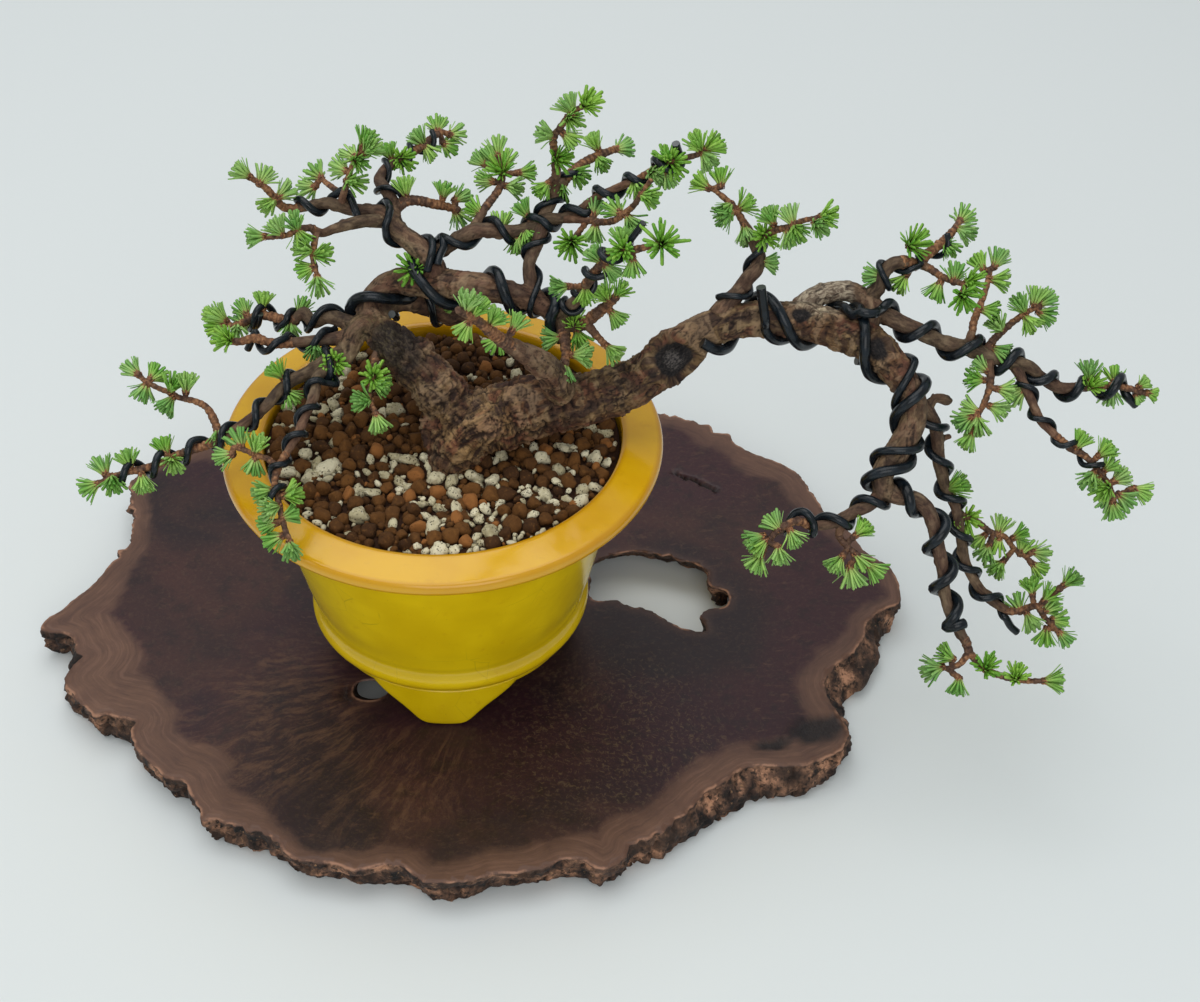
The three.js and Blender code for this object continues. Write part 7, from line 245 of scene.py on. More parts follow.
def spline(points, step, closed=False):
    """Catmull-Rom through points of any width, at about the given step."""
    P = np.asarray(points, float)
    n = len(P)
    out = []
    for i in range(n if closed else n - 1):
        if closed:
            a, b, c, d = P[(i - 1) % n], P[i], P[(i + 1) % n], P[(i + 2) % n]
        else:
            a, b, c, d = P[max(i - 1, 0)], P[i], P[i + 1], P[min(i + 2, n - 1)]
            if i == 0:
                a = 2 * b - c
            if i == n - 2:
                d = 2 * c - b
        k = max(1, int(math.ceil(np.linalg.norm((c - b)[:3]) / step)))
        # centripetal spacing keeps uneven points from overshooting
        w = [max(np.linalg.norm((y - x)[:3]), 1e-6) ** 0.5 for x, y in ((a, b), (b, c), (c, d))]
        m1 = (b - a) / w[0] - (c - a) / (w[0] + w[1]) + (c - b) / w[1]
        m2 = (c - b) / w[1] - (d - b) / (w[1] + w[2]) + (d - c) / w[2]
        m1, m2 = m1 * w[1], m2 * w[1]
        for t in np.arange(k) / k:
            out.append((2 * t**3 - 3 * t * t + 1) * b + (t**3 - 2 * t * t + t) * m1 + (-2 * t**3 + 3 * t * t) * c + (t**3 - t * t) * m2)
    if not closed:
        out.append(P[-1])
    return np.array(out)


def frames(P):
    """Tangents and two cross directions that don't twist along the points."""
    P = P[:, :3]
    T = np.gradient(P, axis=0)
    T /= np.maximum(np.linalg.norm(T, axis=1, keepdims=True), 1e-9)
    u = np.cross([0.0, 0.0, 1.0], T[0])
    if np.linalg.norm(u) < 0.1:
        u = np.cross([1.0, 0.0, 0.0], T[0])
    U = np.zeros_like(P)
    for i in range(len(P)):
        u = u - T[i] * (u @ T[i])
        u = u / np.linalg.norm(u)
        U[i] = u
    return T, U, np.cross(T, U)


def tube(P, sides, radius=None, round_end=True):
    """Closed tube along P; radius may be (rings, sides). Returns vertices, quads and triangles."""
    T, U, W = frames(P)
    n = len(P)
    a = 2 * np.pi * np.arange(sides) / sides
    R = P[:, 3][:, None] * np.ones(sides) if radius is None else radius
    ring = P[:, None, :3] + R[..., None] * (U[:, None] * np.cos(a)[None, :, None] + W[:, None] * np.sin(a)[None, :, None])
    rings = [ring[i] for i in range(n)]
    caps = []
    if round_end:
        r0, r1 = R[0].mean(), R[-1].mean()
        for k in (0.55, 0.9):
            caps.append((P[0, :3] - T[0] * r0 * 0.5 * k) + (ring[0] - P[0, :3]) * math.sqrt(max(0.0, 1 - k * k)))
        rings = caps[::-1] + rings
        for k in (0.55, 0.9):
            rings.append((P[-1, :3] + T[-1] * r1 * 0.5 * k) + (ring[-1] - P[-1, :3]) * math.sqrt(max(0.0, 1 - k * k)))
        first, last = P[0, :3] - T[0] * r0 * 0.5, P[-1, :3] + T[-1] * r1 * 0.5
    else:
        first, last = P[0, :3], P[-1, :3]
    V = np.concatenate(rings + [first[None], last[None]])
    m = len(rings)
    i = np.arange(m - 1)[:, None] * sides
    k = np.arange(sides)[None]
    k2 = (k + 1) % sides
    quads = np.stack([i + k, i + k2, i + sides + k2, i + sides + k], -1).reshape(-1, 4)
    k, k2 = k[0], k2[0]
    e = (m - 1) * sides
    tris = np.concatenate([
        np.stack([np.full(sides, m * sides), k2, k], -1),
        np.stack([np.full(sides, m * sides + 1), e + k, e + k2], -1),
    ])
    return V, quads, tris


class Shape:
    """Vertices, faces and per-vertex numbers gathered into one mesh."""

    def __init__(self):
        self.V, self.F, self.A, self.n, self.M = [], [], {}, 0, []

    def add(self, V, *faces, mat=0, **numbers):
        V = np.asarray(V, float)
        for F in faces:
            F = np.asarray(F, int)
            if len(F):
                self.F.append(F + self.n)
                self.M.append(np.full(len(F), mat))
        for k, v in numbers.items():
            v = np.asarray(v, float)
            if v.ndim == 0:
                v = np.full(len(V), float(v))
            self.A.setdefault(k, []).append(v)
        self.V.append(V)
        self.n += len(V)
        return self

    def build(self, name, *materials, slot=None, replaces=(), smooth=True):
        V = np.concatenate(self.V)
        me = bpy.data.meshes.new(name)
        faces = [f for F in self.F for f in F.tolist()]
        me.from_pydata((V * 0.001).tolist(), [], faces)
        for k, parts in self.A.items():
            a = np.concatenate(parts)
            kind = "FLOAT" if a.ndim == 1 else "FLOAT_VECTOR"
            at = me.attributes.new(k, kind, "POINT")
            at.data.foreach_set("value" if a.ndim == 1 else "vector", a.astype(np.float32).ravel())
        me.polygons.foreach_set("use_smooth", np.full(len(faces), smooth))
        for mat in materials:
            me.materials.append(mat)
        if len(materials) > 1:
            me.polygons.foreach_set("material_index", np.concatenate(self.M).astype(np.int32))
        me.update()
        o = bpy.data.objects.new(name, me)
        bpy.context.scene.collection.objects.link(o)
        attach(o, "root")
        if replaces:
            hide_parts(*replaces)
        tris = sum(len(F) * (F.shape[1] - 2) for F in self.F)
        print(f"PIECE {name} {tris}")
        return o


# ---------------------------------------------------------------- materials
class Nodes:
    def __init__(self, name):
        self.mat = bpy.data.materials.new(name)
        self.mat.use_nodes = True
        self.t = self.mat.node_tree
        self.t.nodes.clear()

    def add(self, kind, props=None, **ins):
        x = self.t.nodes.new("ShaderNode" + kind)
        for k, v in (props or {}).items():
            setattr(x, k, v)
        for k, v in ins.items():
            sock = x.inputs[int(k[1:])] if k[0] == "i" and k[1:].isdigit() else x.inputs[k.replace("_", " ")]
            if isinstance(v, bpy.types.NodeSocket):
                self.t.links.new(v, sock)
            else:
                sock.default_value = v
        return x

    def math(self, op, a, b=0.0, c=None, clamp=False):
        x = self.add("Math", {"operation": op, "use_clamp": clamp}, i0=a, i1=b)
        if c is not None:
            if isinstance(c, bpy.types.NodeSocket):
                self.t.links.new(c, x.inputs[2])
            else:
                x.inputs[2].default_value = c
        return x.outputs[0]

    def mix(self, fac, a, b, mode="MIX"):
        x = self.add("Mix", {"data_type": "RGBA", "blend_type": mode}, i0=fac, i6=a, i7=b)
        return x.outputs[2]

    def step(self, x, lo, hi):
        """0 below lo, 1 above hi, smooth between."""
        r = self.add("MapRange", {"interpolation_type": "SMOOTHSTEP"}, Value=x, From_Min=lo, From_Max=hi)
        return r.outputs[0]

    def noise(self, vector, scale, detail=4.0, rough=0.55, distortion=0.0):
        return self.add("TexNoise", None, Vector=vector, Scale=scale, Detail=detail, Roughness=rough, Distortion=distortion).outputs[0]

    def scaled(self, vector, x, y, z):
        return self.add("Mapping", None, Vector=vector, Scale=(x, y, z)).outputs[0]

    def voronoi(self, vector, scale, feature="F1", out="Distance", rand=1.0):
        return self.add("TexVoronoi", {"feature": feature}, Vector=vector, Scale=scale, Randomness=rand).outputs[out]

    def attr(self, name, vector=False):
        x = self.add("Attribute", {"attribute_name": name})
        return x.outputs["Vector"] if vector else x.outputs["Fac"]

    def place(self):
        """Position in the row frame, in mm."""
        c = self.add("TexCoord").outputs["Object"]
        return self.add("VectorMath", {"operation": "SCALE"}, i0=c, Scale=1000.0).outputs[0]

    def ramp(self, fac, *stops):
        x = self.add("ValToRGB", None, Fac=fac)
        el = x.color_ramp.elements
        while len(el) > 1:
            el.remove(el[-1])
        el[0].position, el[0].color = stops[0][0], (*stops[0][1], 1)
        for p, c in stops[1:]:
            e = el.new(p)
            e.color = (*c, 1)
        return x.outputs[0]

    def bump(self, height, distance_mm, strength=1.0, normal=None):
        x = self.add("Bump", None, Height=height, Strength=strength, Distance=distance_mm * 0.001)
        if normal is not None:
            self.t.links.new(normal, x.inputs["Normal"])
        return x.outputs[0]

    def finish(self, **ins):
        b = self.add("BsdfPrincipled", None, **ins)
        o = self.add("OutputMaterial")
        self.t.links.new(b.outputs[0], o.inputs[0])
        return self.mat


def srgb(r, g, b):
    return tuple(((c / 255) / 12.92 if c <= 10 else ((c / 255 + 0.055) / 1.055) ** 2.4) for c in (r, g, b))


def rgba(r, g, b):
    return (*srgb(r, g, b), 1.0)


def bark_material(name, young=False):
    g = Nodes(name)
    q = g.attr("grain", True)
    girth = g.attr("girth")
    crev = g.attr("crevice")
    flake = g.attr("flake")
    wound = g.attr("wound")
    moss = g.attr("moss")
    patch = g.attr("patch")
    scab = g.attr("scab")
    band = g.attr("band")
    old = g.step(girth, 2.6, 7.0)
    streak = g.mix(g.attr("worn"), g.noise(g.scaled(q, 0.34, 0.85, 0.85), 1.0, 4.0, 0.62, 0.6), g.noise(g.scaled(q, 1.25, 0.24, 0.24), 1.0, 4.0, 0.60, 0.5))
    fleck = g.noise(g.scaled(q, 1.1, 1.5, 1.5), 1.0, 4.0, 0.66)
    tone = g.math("ADD", g.math("ADD", g.math("MULTIPLY", streak, 0.62), g.math("MULTIPLY", flake, 0.20)), g.math("MULTIPLY", scab, 0.18))
    warm = g.ramp(tone, (0.30, srgb(44, 31, 25)), (0.42, srgb(82, 59, 46)), (0.54, srgb(112, 85, 66)), (0.72, srgb(152, 122, 96)))
    grey = g.ramp(tone, (0.30, srgb(48, 37, 29)), (0.42, srgb(86, 69, 52)), (0.54, srgb(118, 97, 74)), (0.72, srgb(160, 138, 108)))
    body = g.mix(g.step(g.attr("broad"), 0.40, 0.58), warm, grey)
    # smooth red-brown patches where a plate has dropped, pale grey flakes, dark scabs, and bands across the limb
    body = g.mix(g.math("MULTIPLY", g.step(patch, 0.55, 0.66), g.math("MULTIPLY_ADD", old, 0.55, 0.15)), body, rgba(116, 80, 68))
    body = g.mix(g.math("MULTIPLY", g.step(scab, 0.57, 0.66), g.math("MULTIPLY_ADD", old, 0.24, 0.22)), body, rgba(152, 132, 106))
    body = g.mix(g.math("MULTIPLY", g.step(patch, 0.42, 0.34), g.math("MULTIPLY_ADD", old, 0.40, 0.40)), body, rgba(58, 44, 40))
    body = g.mix(g.math("MULTIPLY", g.step(band, 0.46, 0.34), g.math("MULTIPLY", old, 0.60)), body, rgba(60, 43, 38))
    body = g.mix(g.math("MULTIPLY", g.step(band, 0.54, 0.66), g.math("MULTIPLY", old, 0.42)), body, rgba(166, 142, 118))
    body = g.mix(g.math("MULTIPLY", g.step(fleck, 0.60, 0.76), 0.22), body, rgba(186, 164, 134))
    body = g.mix(g.math("MULTIPLY", g.step(fleck, 0.42, 0.28), 0.24), body, rgba(42, 31, 26))
    if young:
        body = g.mix(0.30, body, rgba(46, 37, 34))
    # worn warm bark on the elbow, the dark head of the old trunk, and a weathered stub
    body = g.mix(g.math("MULTIPLY", g.attr("worn"), g.math("MULTIPLY", g.step(tone, 0.46, 0.64), 0.46)), body, rgba(170, 140, 108))
    body = g.mix(g.math("MULTIPLY", g.attr("bleached"), 0.75), body, g.mix(g.step(streak, 0.40, 0.62), rgba(112, 98, 84), rgba(200, 186, 162)))
    body = g.mix(g.math("MULTIPLY", g.attr("charred"), 0.88, clamp=True), body, g.mix(g.step(fleck, 0.42, 0.66), rgba(30, 26, 24), rgba(72, 63, 54)))
    # cracks, folds and plate lips darkened: partly the bark's own darker colour there, partly painted shade
    body = g.mix(g.math("MULTIPLY", crev, 0.92, clamp=True), body, rgba(28, 19, 17))
    if young:
        orange = g.ramp(tone, (0.3, srgb(80, 53, 41)), (0.5, srgb(124, 88, 66)), (0.7, srgb(168, 130, 100)))
        body = g.mix(g.math("MULTIPLY", g.step(girth, 2.0, 1.2), 0.6), body, orange)
        # the same on young bark: partly its own colour, partly painted shade
        body = g.mix(g.math("MULTIPLY", crev, 0.7, clamp=True), body, rgba(40, 26, 22))
    body = g.mix(g.math("MULTIPLY", moss, g.math("MULTIPLY", g.step(fleck, 0.40, 0.62), 0.55)), body, rgba(100, 96, 62))
    # thick wood is a little warmer, most of all the lowest bend
    deep = g.math("MULTIPLY_ADD", g.attr("worn"), 0.06, g.math("MULTIPLY_ADD", old, 0.17, 1.0))
    body = g.add("HueSaturation", None, Saturation=deep, Value=g.math("MULTIPLY_ADD", g.attr("worn"), 0.05, 1.0), Color=body).outputs[0]
    core = g.mix(g.step(fleck, 0.36, 0.64), rgba(40, 37, 38), rgba(92, 86, 82))
    # painted shade: the sunken ring round the wound's raised core is near-black
    hollow = g.mix(g.step(fleck, 0.40, 0.66), rgba(19, 17, 18), rgba(50, 44, 42))
    dead = g.mix(g.step(g.math("ADD", wound, g.math("MULTIPLY", fleck, 0.3)), 0.96, 1.12), hollow, core)
    body = g.mix(g.step(wound, 0.05, 0.66), body, dead)
    rough = g.math("MULTIPLY_ADD", fleck, 0.25, 0.68, clamp=True)
    h = g.math("ADD", g.math("MULTIPLY", streak, 0.7), g.math("MULTIPLY", fleck, 0.5))
    return g.finish(Base_Color=body, Roughness=rough, Normal=g.bump(h, 0.55, 0.85), Specular_IOR_Level=0.3)


def shoot_material():
    g = Nodes("young_shoot_bark")
    p = g.place()
    n = g.noise(p, 0.9, 5.0, 0.6)
    m2 = g.noise(p, 0.16, 2.0)
    body = g.ramp(n, (0.3, srgb(84, 54, 38)), (0.45, srgb(130, 88, 60)), (0.6, srgb(164, 118, 82)), (0.75, srgb(198, 156, 116)))
    dark = g.ramp(n, (0.3, srgb(52, 36, 30)), (0.5, srgb(92, 66, 52)), (0.75, srgb(134, 104, 82)))
    body = g.mix(g.step(m2, 0.56, 0.44), body, dark)
    # grooves and cracks darkened, partly painted shade
    body = g.mix(g.math("MULTIPLY", g.attr("crevice"), 0.8, clamp=True), body, rgba(46, 26, 22))
    return g.finish(Base_Color=body, Roughness=0.75, Normal=g.bump(g.noise(p, 1.8, 4.0), 0.3, 0.8), Specular_IOR_Level=0.3)


def scale_material():
    g = Nodes("bud_scales")
    t = g.attr("along")
    k = g.attr("tint")
    body = g.mix(k, rgba(98, 56, 38), rgba(166, 112, 72))
    body = g.mix(g.step(t, 0.5, 1.0), body, rgba(196, 150, 104))
    body = g.mix(g.step(t, 0.3, 0.0), body, rgba(58, 30, 24))
    n = g.noise(g.place(), 1.4, 3.0)
    body = g.mix(g.math("MULTIPLY", g.step(n, 0.55, 0.3), 0.5), body, rgba(40, 24, 20))
    return g.finish(Base_Color=body, Roughness=0.62, Normal=g.bump(n, 0.15, 0.6), Specular_IOR_Level=0.35)


def needle_material():
    g = Nodes("needles")
    t = g.attr("along")
    k = g.attr("tint")
    j = g.attr("shade")
    fresh = g.mix(k, rgba(112, 176, 48), rgba(170, 216, 82))
    cool = g.mix(k, rgba(114, 168, 86), rgba(174, 210, 126))
    body = g.mix(j, fresh, cool)
    body = g.mix(g.math("MULTIPLY", g.step(t, 0.60, 0.0), 0.8), body, rgba(194, 212, 122))
    body = g.mix(g.math("MULTIPLY", g.step(t, 0.10, 0.0), 0.6), body, rgba(158, 132, 74))
    n = g.noise(g.place(), 0.7, 2.0)
    body = g.mix(g.math("MULTIPLY", g.math("MULTIPLY", n, g.step(t, 0.3, 1.0)), 0.50), body, rgba(84, 144, 60))
    return g.finish(Base_Color=body, Roughness=0.5, Specular_IOR_Level=0.4)


def wire_material():
    g = Nodes("anodised_wire")
    p = g.place()
    n = g.noise(p, 0.35, 3.0)
    s = g.noise(g.scaled(p, 1.0, 1.0, 1.0), 2.2, 4.0, 0.7)
    body = g.mix(g.step(n, 0.35, 0.65), rgba(10, 16, 20), rgba(20, 29, 36))
    body = g.mix(g.math("MULTIPLY", g.step(s, 0.66, 0.78), 0.5), body, rgba(92, 92, 92))
    rough = g.math("MULTIPLY_ADD", n, 0.16, 0.16, clamp=True)
    return g.finish(Base_Color=body, Roughness=rough, Specular_IOR_Level=0.34, Normal=g.bump(s, 0.04, 0.3))


def wire_end_material():
    g = Nodes("cut_wire_end")
    n = g.noise(g.place(), 4.0, 3.0)
    body = g.mix(n, rgba(70, 72, 74), rgba(128, 130, 130))
    return g.finish(Base_Color=body, Roughness=0.38, Metallic=1.0, Normal=g.bump(n, 0.06, 0.6))


def glaze_material():
    g = Nodes("yellow_glaze")
    p = g.place()
    sep = g.add("SeparateXYZ", None, Vector=p)
    z = sep.outputs[2]
    cloud = g.noise(p, 0.035, 3.0)
    fine = g.noise(p, 0.25, 4.0, 0.6)
    wall = g.mix(g.step(cloud, 0.3, 0.7), rgba(218, 181, 0), rgba(235, 200, 8))
    rim = g.mix(g.step(cloud, 0.3, 0.7), rgba(214, 158, 6), rgba(226, 174, 14))
    body = g.mix(g.step(g.math("ADD", z, g.math("MULTIPLY", fine, 3.0)), RIM_Z - 12.0, RIM_Z - 4.0), wall, rim)
    body = g.mix(g.math("MULTIPLY", g.step(fine, 0.42, 0.2), 0.35), body, rgba(196, 140, 8))
    # glaze breaks a little browner on edges and thin places
    edge = g.attr("edge")
    body = g.mix(g.math("MULTIPLY", edge, 0.45, clamp=True), body, rgba(176, 112, 10))
    speck = g.voronoi(p, 0.12)
    speck_size = g.noise(p, 0.09, 2.0)
    dot = g.step(speck, g.math("MULTIPLY_ADD", speck_size, 0.09, -0.012), 0.0)
    body = g.mix(g.math("MULTIPLY", dot, 0.85), body, rgba(96, 64, 20))
    speck2 = g.voronoi(p, 0.31)
    body = g.mix(g.math("MULTIPLY", g.step(speck2, 0.07, 0.03), 0.5), body, rgba(150, 104, 24))
    warp = g.add("VectorMath", {"operation": "ADD"}, i0=p, i1=g.add("TexNoise", None, Vector=p, Scale=0.05, Detail=2.0).outputs[1]).outputs[0]
    craze = g.voronoi(warp, 0.055, "DISTANCE_TO_EDGE")
    line = g.step(craze, 0.006, 0.001)
    where = g.math("MULTIPLY", g.step(cloud, 0.46, 0.56), g.step(z, RIM_Z - 16.0, RIM_Z - 24.0))
    body = g.mix(g.math("MULTIPLY", g.math("MULTIPLY", line, where), 0.30), body, rgba(110, 88, 10))
    # painted shade: darker in the groove above the belt, under the belt, on the inner wall below the rim and where the
    # feet meet the slab
    grime = g.attr("grime")
    body = g.mix(g.math("MULTIPLY", grime, 0.7, clamp=True), body, rgba(92, 66, 22))
    rough = g.math("MULTIPLY_ADD", fine, 0.16, 0.12, clamp=True)
    wave = g.noise(p, 0.09, 3.0)
    nrm = g.bump(g.math("ADD", g.math("MULTIPLY", wave, 1.0), g.math("MULTIPLY", fine, 0.18)), 0.35, 0.55)
    return g.finish(Base_Color=body, Roughness=rough, Specular_IOR_Level=0.42, Coat_Weight=0.24, Coat_Roughness=0.08, Normal=nrm)


def clay_material():
    g = Nodes("bare_clay")
    p = g.place()
    n = g.noise(p, 0.5, 5.0)
    body = g.mix(n, rgba(128, 74, 44), rgba(164, 106, 66))
    return g.finish(Base_Color=body, Roughness=0.85, Normal=g.bump(n, 0.3, 0.6))


def grain_material(name, low, high, pale, dark, pits):
    g = Nodes(name)
    p = g.place()
    tint = g.attr("tint")
    n = g.noise(p, 0.7, 5.0, 0.65)
    body = g.mix(tint, rgba(*low), rgba(*high))
    body = g.mix(g.step(tint, 1.4, 2.0), body, rgba(146, 94, 48))
    body = g.mix(g.math("MULTIPLY", g.step(n, 0.52, 0.72), 0.55), body, rgba(*pale))
    body = g.mix(g.math("MULTIPLY", g.step(n, 0.46, 0.28), 0.55), body, rgba(*dark))
    h = n
    if pits:
        # painted shade in the pores: small pits are darkened
        v = g.voronoi(p, 1.15)
        hole = g.math("MULTIPLY", g.step(v, 0.34, 0.18), g.step(g.noise(p, 0.5, 1.0), 0.44, 0.52))
        body = g.mix(g.math("MULTIPLY", hole, 0.92), body, rgba(58, 46, 34))
        h = g.math("SUBTRACT", n, g.math("MULTIPLY", hole, 0.8))
    shade = g.attr("deep")
    body = g.mix(g.math("MULTIPLY", shade, 0.75, clamp=True), body, rgba(24, 15, 10))
    return g.finish(Base_Color=body, Roughness=0.9, Specular_IOR_Level=0.25, Normal=g.bump(h, 0.5, 0.8))


def slab_material():
    g = Nodes("oiled_burl")
    p = g.place()
    rim = g.attr("rim")       # mm in from the natural edge
    side = g.attr("side")     # 1 on the rough edge, 0 on the flat faces
    crack = g.attr("crack")
    knot = g.attr("knot")
    flat = g.scaled(p, 1.0, 1.0, 0.6)
    swirl = g.add("VectorMath", {"operation": "SCALE"}, i0=g.add("TexNoise", None, Vector=flat, Scale=0.012, Detail=2.0).outputs[1], Scale=30.0).outputs[0]
    bent = g.add("VectorMath", {"operation": "ADD"}, i0=flat, i1=swirl).outputs[0]
    mott = g.noise(flat, 0.13, 5.0, 0.62)
    hair = g.noise(g.scaled(bent, 0.14, 0.42, 1.0), 1.0, 5.0, 0.72, 0.2)
    rays = g.noise(g.attr("rays", True), 1.0, 5.0, 0.72, 0.3)
    growth = g.noise(g.attr("growth", True), 1.0, 5.0, 0.68, 0.2)
    burl = g.noise(bent, 0.62, 5.0, 0.72, 0.7)
    fan, bird, band = g.attr("fan"), g.attr("bird"), g.attr("band")
    # wine-dark heart with purple shades
    heart = g.mix(g.step(g.attr("big"), 0.40, 0.60), rgba(38, 24, 28), rgba(60, 36, 35))
    heart = g.mix(g.math("MULTIPLY", g.step(g.attr("wine"), 0.46, 0.62), 0.6), heart, rgba(58, 28, 37))
    heart = g.mix(g.math("MULTIPLY", g.step(g.attr("soft"), 0.52, 0.68), 0.40), heart, rgba(80, 50, 44))
    heart = g.mix(g.math("MULTIPLY", g.step(mott, 0.50, 0.34), 0.45), heart, rgba(27, 18, 21))
    heart = g.mix(g.math("MULTIPLY", g.step(hair, 0.54, 0.72), g.math("MULTIPLY_ADD", g.attr("where"), 0.34, 0.10)), heart, rgba(104, 76, 60))
    # tan rays fan out at the lower left
    heart = g.mix(g.math("MULTIPLY", fan, g.math("MULTIPLY", g.step(rays, 0.44, 0.70), 0.55)), heart, rgba(124, 92, 70))
    heart = g.mix(g.math("MULTIPLY", fan, g.math("MULTIPLY", g.step(rays, 0.47, 0.33), 0.45)), heart, rgba(38, 25, 26))
    # fine olive-brown burl figure right of the foot
    heart = g.mix(g.math("MULTIPLY", g.step(burl, 0.50, 0.66), g.math("MULTIPLY_ADD", bird, 0.46, 0.16)), heart, rgba(104, 86, 64))
    heart = g.mix(g.math("MULTIPLY", g.step(burl, 0.47, 0.36), g.math("MULTIPLY_ADD", bird, 0.4, 0.20)), heart, rgba(27, 18, 20))
    # smooth brown sapwood along the natural edge, wide in most places, with a soft uneven inner border
    heart = g.add("HueSaturation", None, Saturation=1.06, Value=0.85, Color=heart).outputs[0]
    sap = g.mix(mott, rgba(80, 55, 46), rgba(114, 84, 66))
    sap = g.mix(g.math("MULTIPLY", g.step(growth, 0.48, 0.68), 0.38), sap, rgba(134, 100, 82))
    sap = g.mix(g.math("MULTIPLY", g.step(growth, 0.47, 0.33), 0.38), sap, rgba(58, 38, 36))
    body = g.mix(g.math("MULTIPLY", band, 0.92), heart, sap)
    body = g.mix(g.math("MULTIPLY", g.step(rim, 5.0, 0.5), 0.20), body, rgba(112, 80, 64))
    body = g.mix(g.math("MULTIPLY", g.step(rim, 1.2, 0.15), g.math("MULTIPLY_ADD", g.step(mott, 0.44, 0.60), 0.70, 0.04)), body, rgba(180, 134, 106))
    lump = g.noise(p, 0.13, 4.0, 0.62)
    lump2 = g.noise(p, 0.5, 4.0, 0.65)
    lump3 = g.noise(p, 0.06, 2.0)
    rough_edge = g.ramp(lump, (0.34, srgb(24, 20, 20)), (0.45, srgb(64, 46, 38)), (0.56, srgb(112, 82, 64)), (0.66, srgb(182, 134, 104)))
    rough_edge = g.mix(g.math("MULTIPLY", g.step(lump2, 0.52, 0.36), 0.9), rough_edge, rgba(24, 21, 18))
    rough_edge = g.mix(g.math("MULTIPLY", g.step(lump2, 0.60, 0.72), 0.5), rough_edge, rgba(188, 144, 104))
    rough_edge = g.mix(g.math("MULTIPLY", g.step(lump3, 0.52, 0.42), 0.45), rough_edge, rgba(62, 46, 36))
    body = g.mix(side, body, rough_edge)
    body = g.mix(g.math("MULTIPLY", knot, 0.92, clamp=True), body, rgba(22, 17, 18))
    # painted shade: the open crack is near-black inside
    body = g.mix(crack, body, rgba(14, 9, 8))
    rough = g.math("MULTIPLY_ADD", mott, 0.22, 0.34, clamp=True)
    rough = g.math("MAXIMUM", rough, g.math("MULTIPLY", side, 0.75))
    h = g.math("ADD", g.math("MULTIPLY", mott, 0.12), g.math("MULTIPLY", lump2, g.math("MAXIMUM", side, g.math("MULTIPLY", knot, 0.9))))
    return g.finish(Base_Color=body, Roughness=rough, Specular_IOR_Level=0.32, Normal=g.bump(h, 0.8, 0.7))


BARK = bark_material("old_bark")
BARK_LIMB = bark_material("limb_bark", young=True)
SHOOT_BARK = shoot_material()
SCALES = scale_material()
NEEDLES = needle_material()
WIRE_SKIN = wire_material()
WIRE_END = wire_end_material()
GLAZE = glaze_material()
CLAY = clay_material()
AKADAMA = grain_material("fired_clay_grains", (62, 38, 18), (107, 69, 31), (130, 89, 44), (33, 20, 11), False)
PUMICE = grain_material("pumice_grains", (179, 168, 132), (227, 218, 186), (238, 230, 206), (121, 105, 74), True)
FINES = grain_material("soil_fines", (62, 36, 22), (96, 58, 34), (120, 82, 54), (26, 16, 11), False)
SLAB = slab_material()


# ---------------------------------------------------------------- old wood
def wood_line(name):
    line = LIMB[name]
    end = WOOD_END.get(name)
    if end is None:
        return np.array(line, float)
    if end == 0:
        return None
    return np.array(line[: end + 1], float)


TRUNK = ["T", "G", "GL", "FB", "H", "Bk", "BD", "UPB"]
lines = {n: wood_line(n) for n in LIMB}
lines = {n: v for n, v in lines.items() if v is not None and len(v) > 1}
dense = {}
for n, v in lines.items():
    d = spline(v, 0.8)
    if n == "T":
        # the butt flares a little where it enters the soil
        s = smoothstep(112.0, 98.0, d[:, 2])
        d[:, 3] *= 1 + 0.05 * s
    dense[n] = d

# centre points of every limb, for reading grain direction, girth and position along the limb
centre, girth, along, tu, tw, tt, whose = [], [], [], [], [], [], []
for idx, (n, d) in enumerate(dense.items()):
    T, U, W = frames(d)
    s = np.concatenate([[0], np.cumsum(np.linalg.norm(np.diff(d[:, :3], axis=0), axis=1))])
    centre.append(d[:, :3]); girth.append(d[:, 3]); along.append(s + 37.0 * idx)
    tu.append(U); tw.append(W); tt.append(T); whose.append(np.full(len(d), idx))
centre, girth, along = np.concatenate(centre), np.concatenate(girth), np.concatenate(along)
tu, tw, tt, whose = np.concatenate(tu), np.concatenate(tw), np.concatenate(tt), np.concatenate(whose)


def read_wood(V):
    """For points near the wood: coordinates straightened along the limb (along, across, across) and the limb's radius."""
    q = np.zeros((len(V), 3))
    r = np.zeros(len(V))
    C = centre.astype(np.float32)
    c2 = (C * C).sum(1)
    for a in range(0, len(V), 6000):
        v = V[a : a + 6000].astype(np.float32)
        d = np.sqrt(np.maximum((v * v).sum(1)[:, None] + c2[None] - 2 * v @ C.T, 0)) - girth[None].astype(np.float32) * 1.0
        k = d.argmin(1)
        off = V[a : a + 6000] - centre[k]
        q[a : a + 6000] = np.stack([along[k] + (off * tt[k]).sum(1), (off * tu[k]).sum(1), (off * tw[k]).sum(1)], -1)
        r[a : a + 6000] = girth[k]
    return q, r


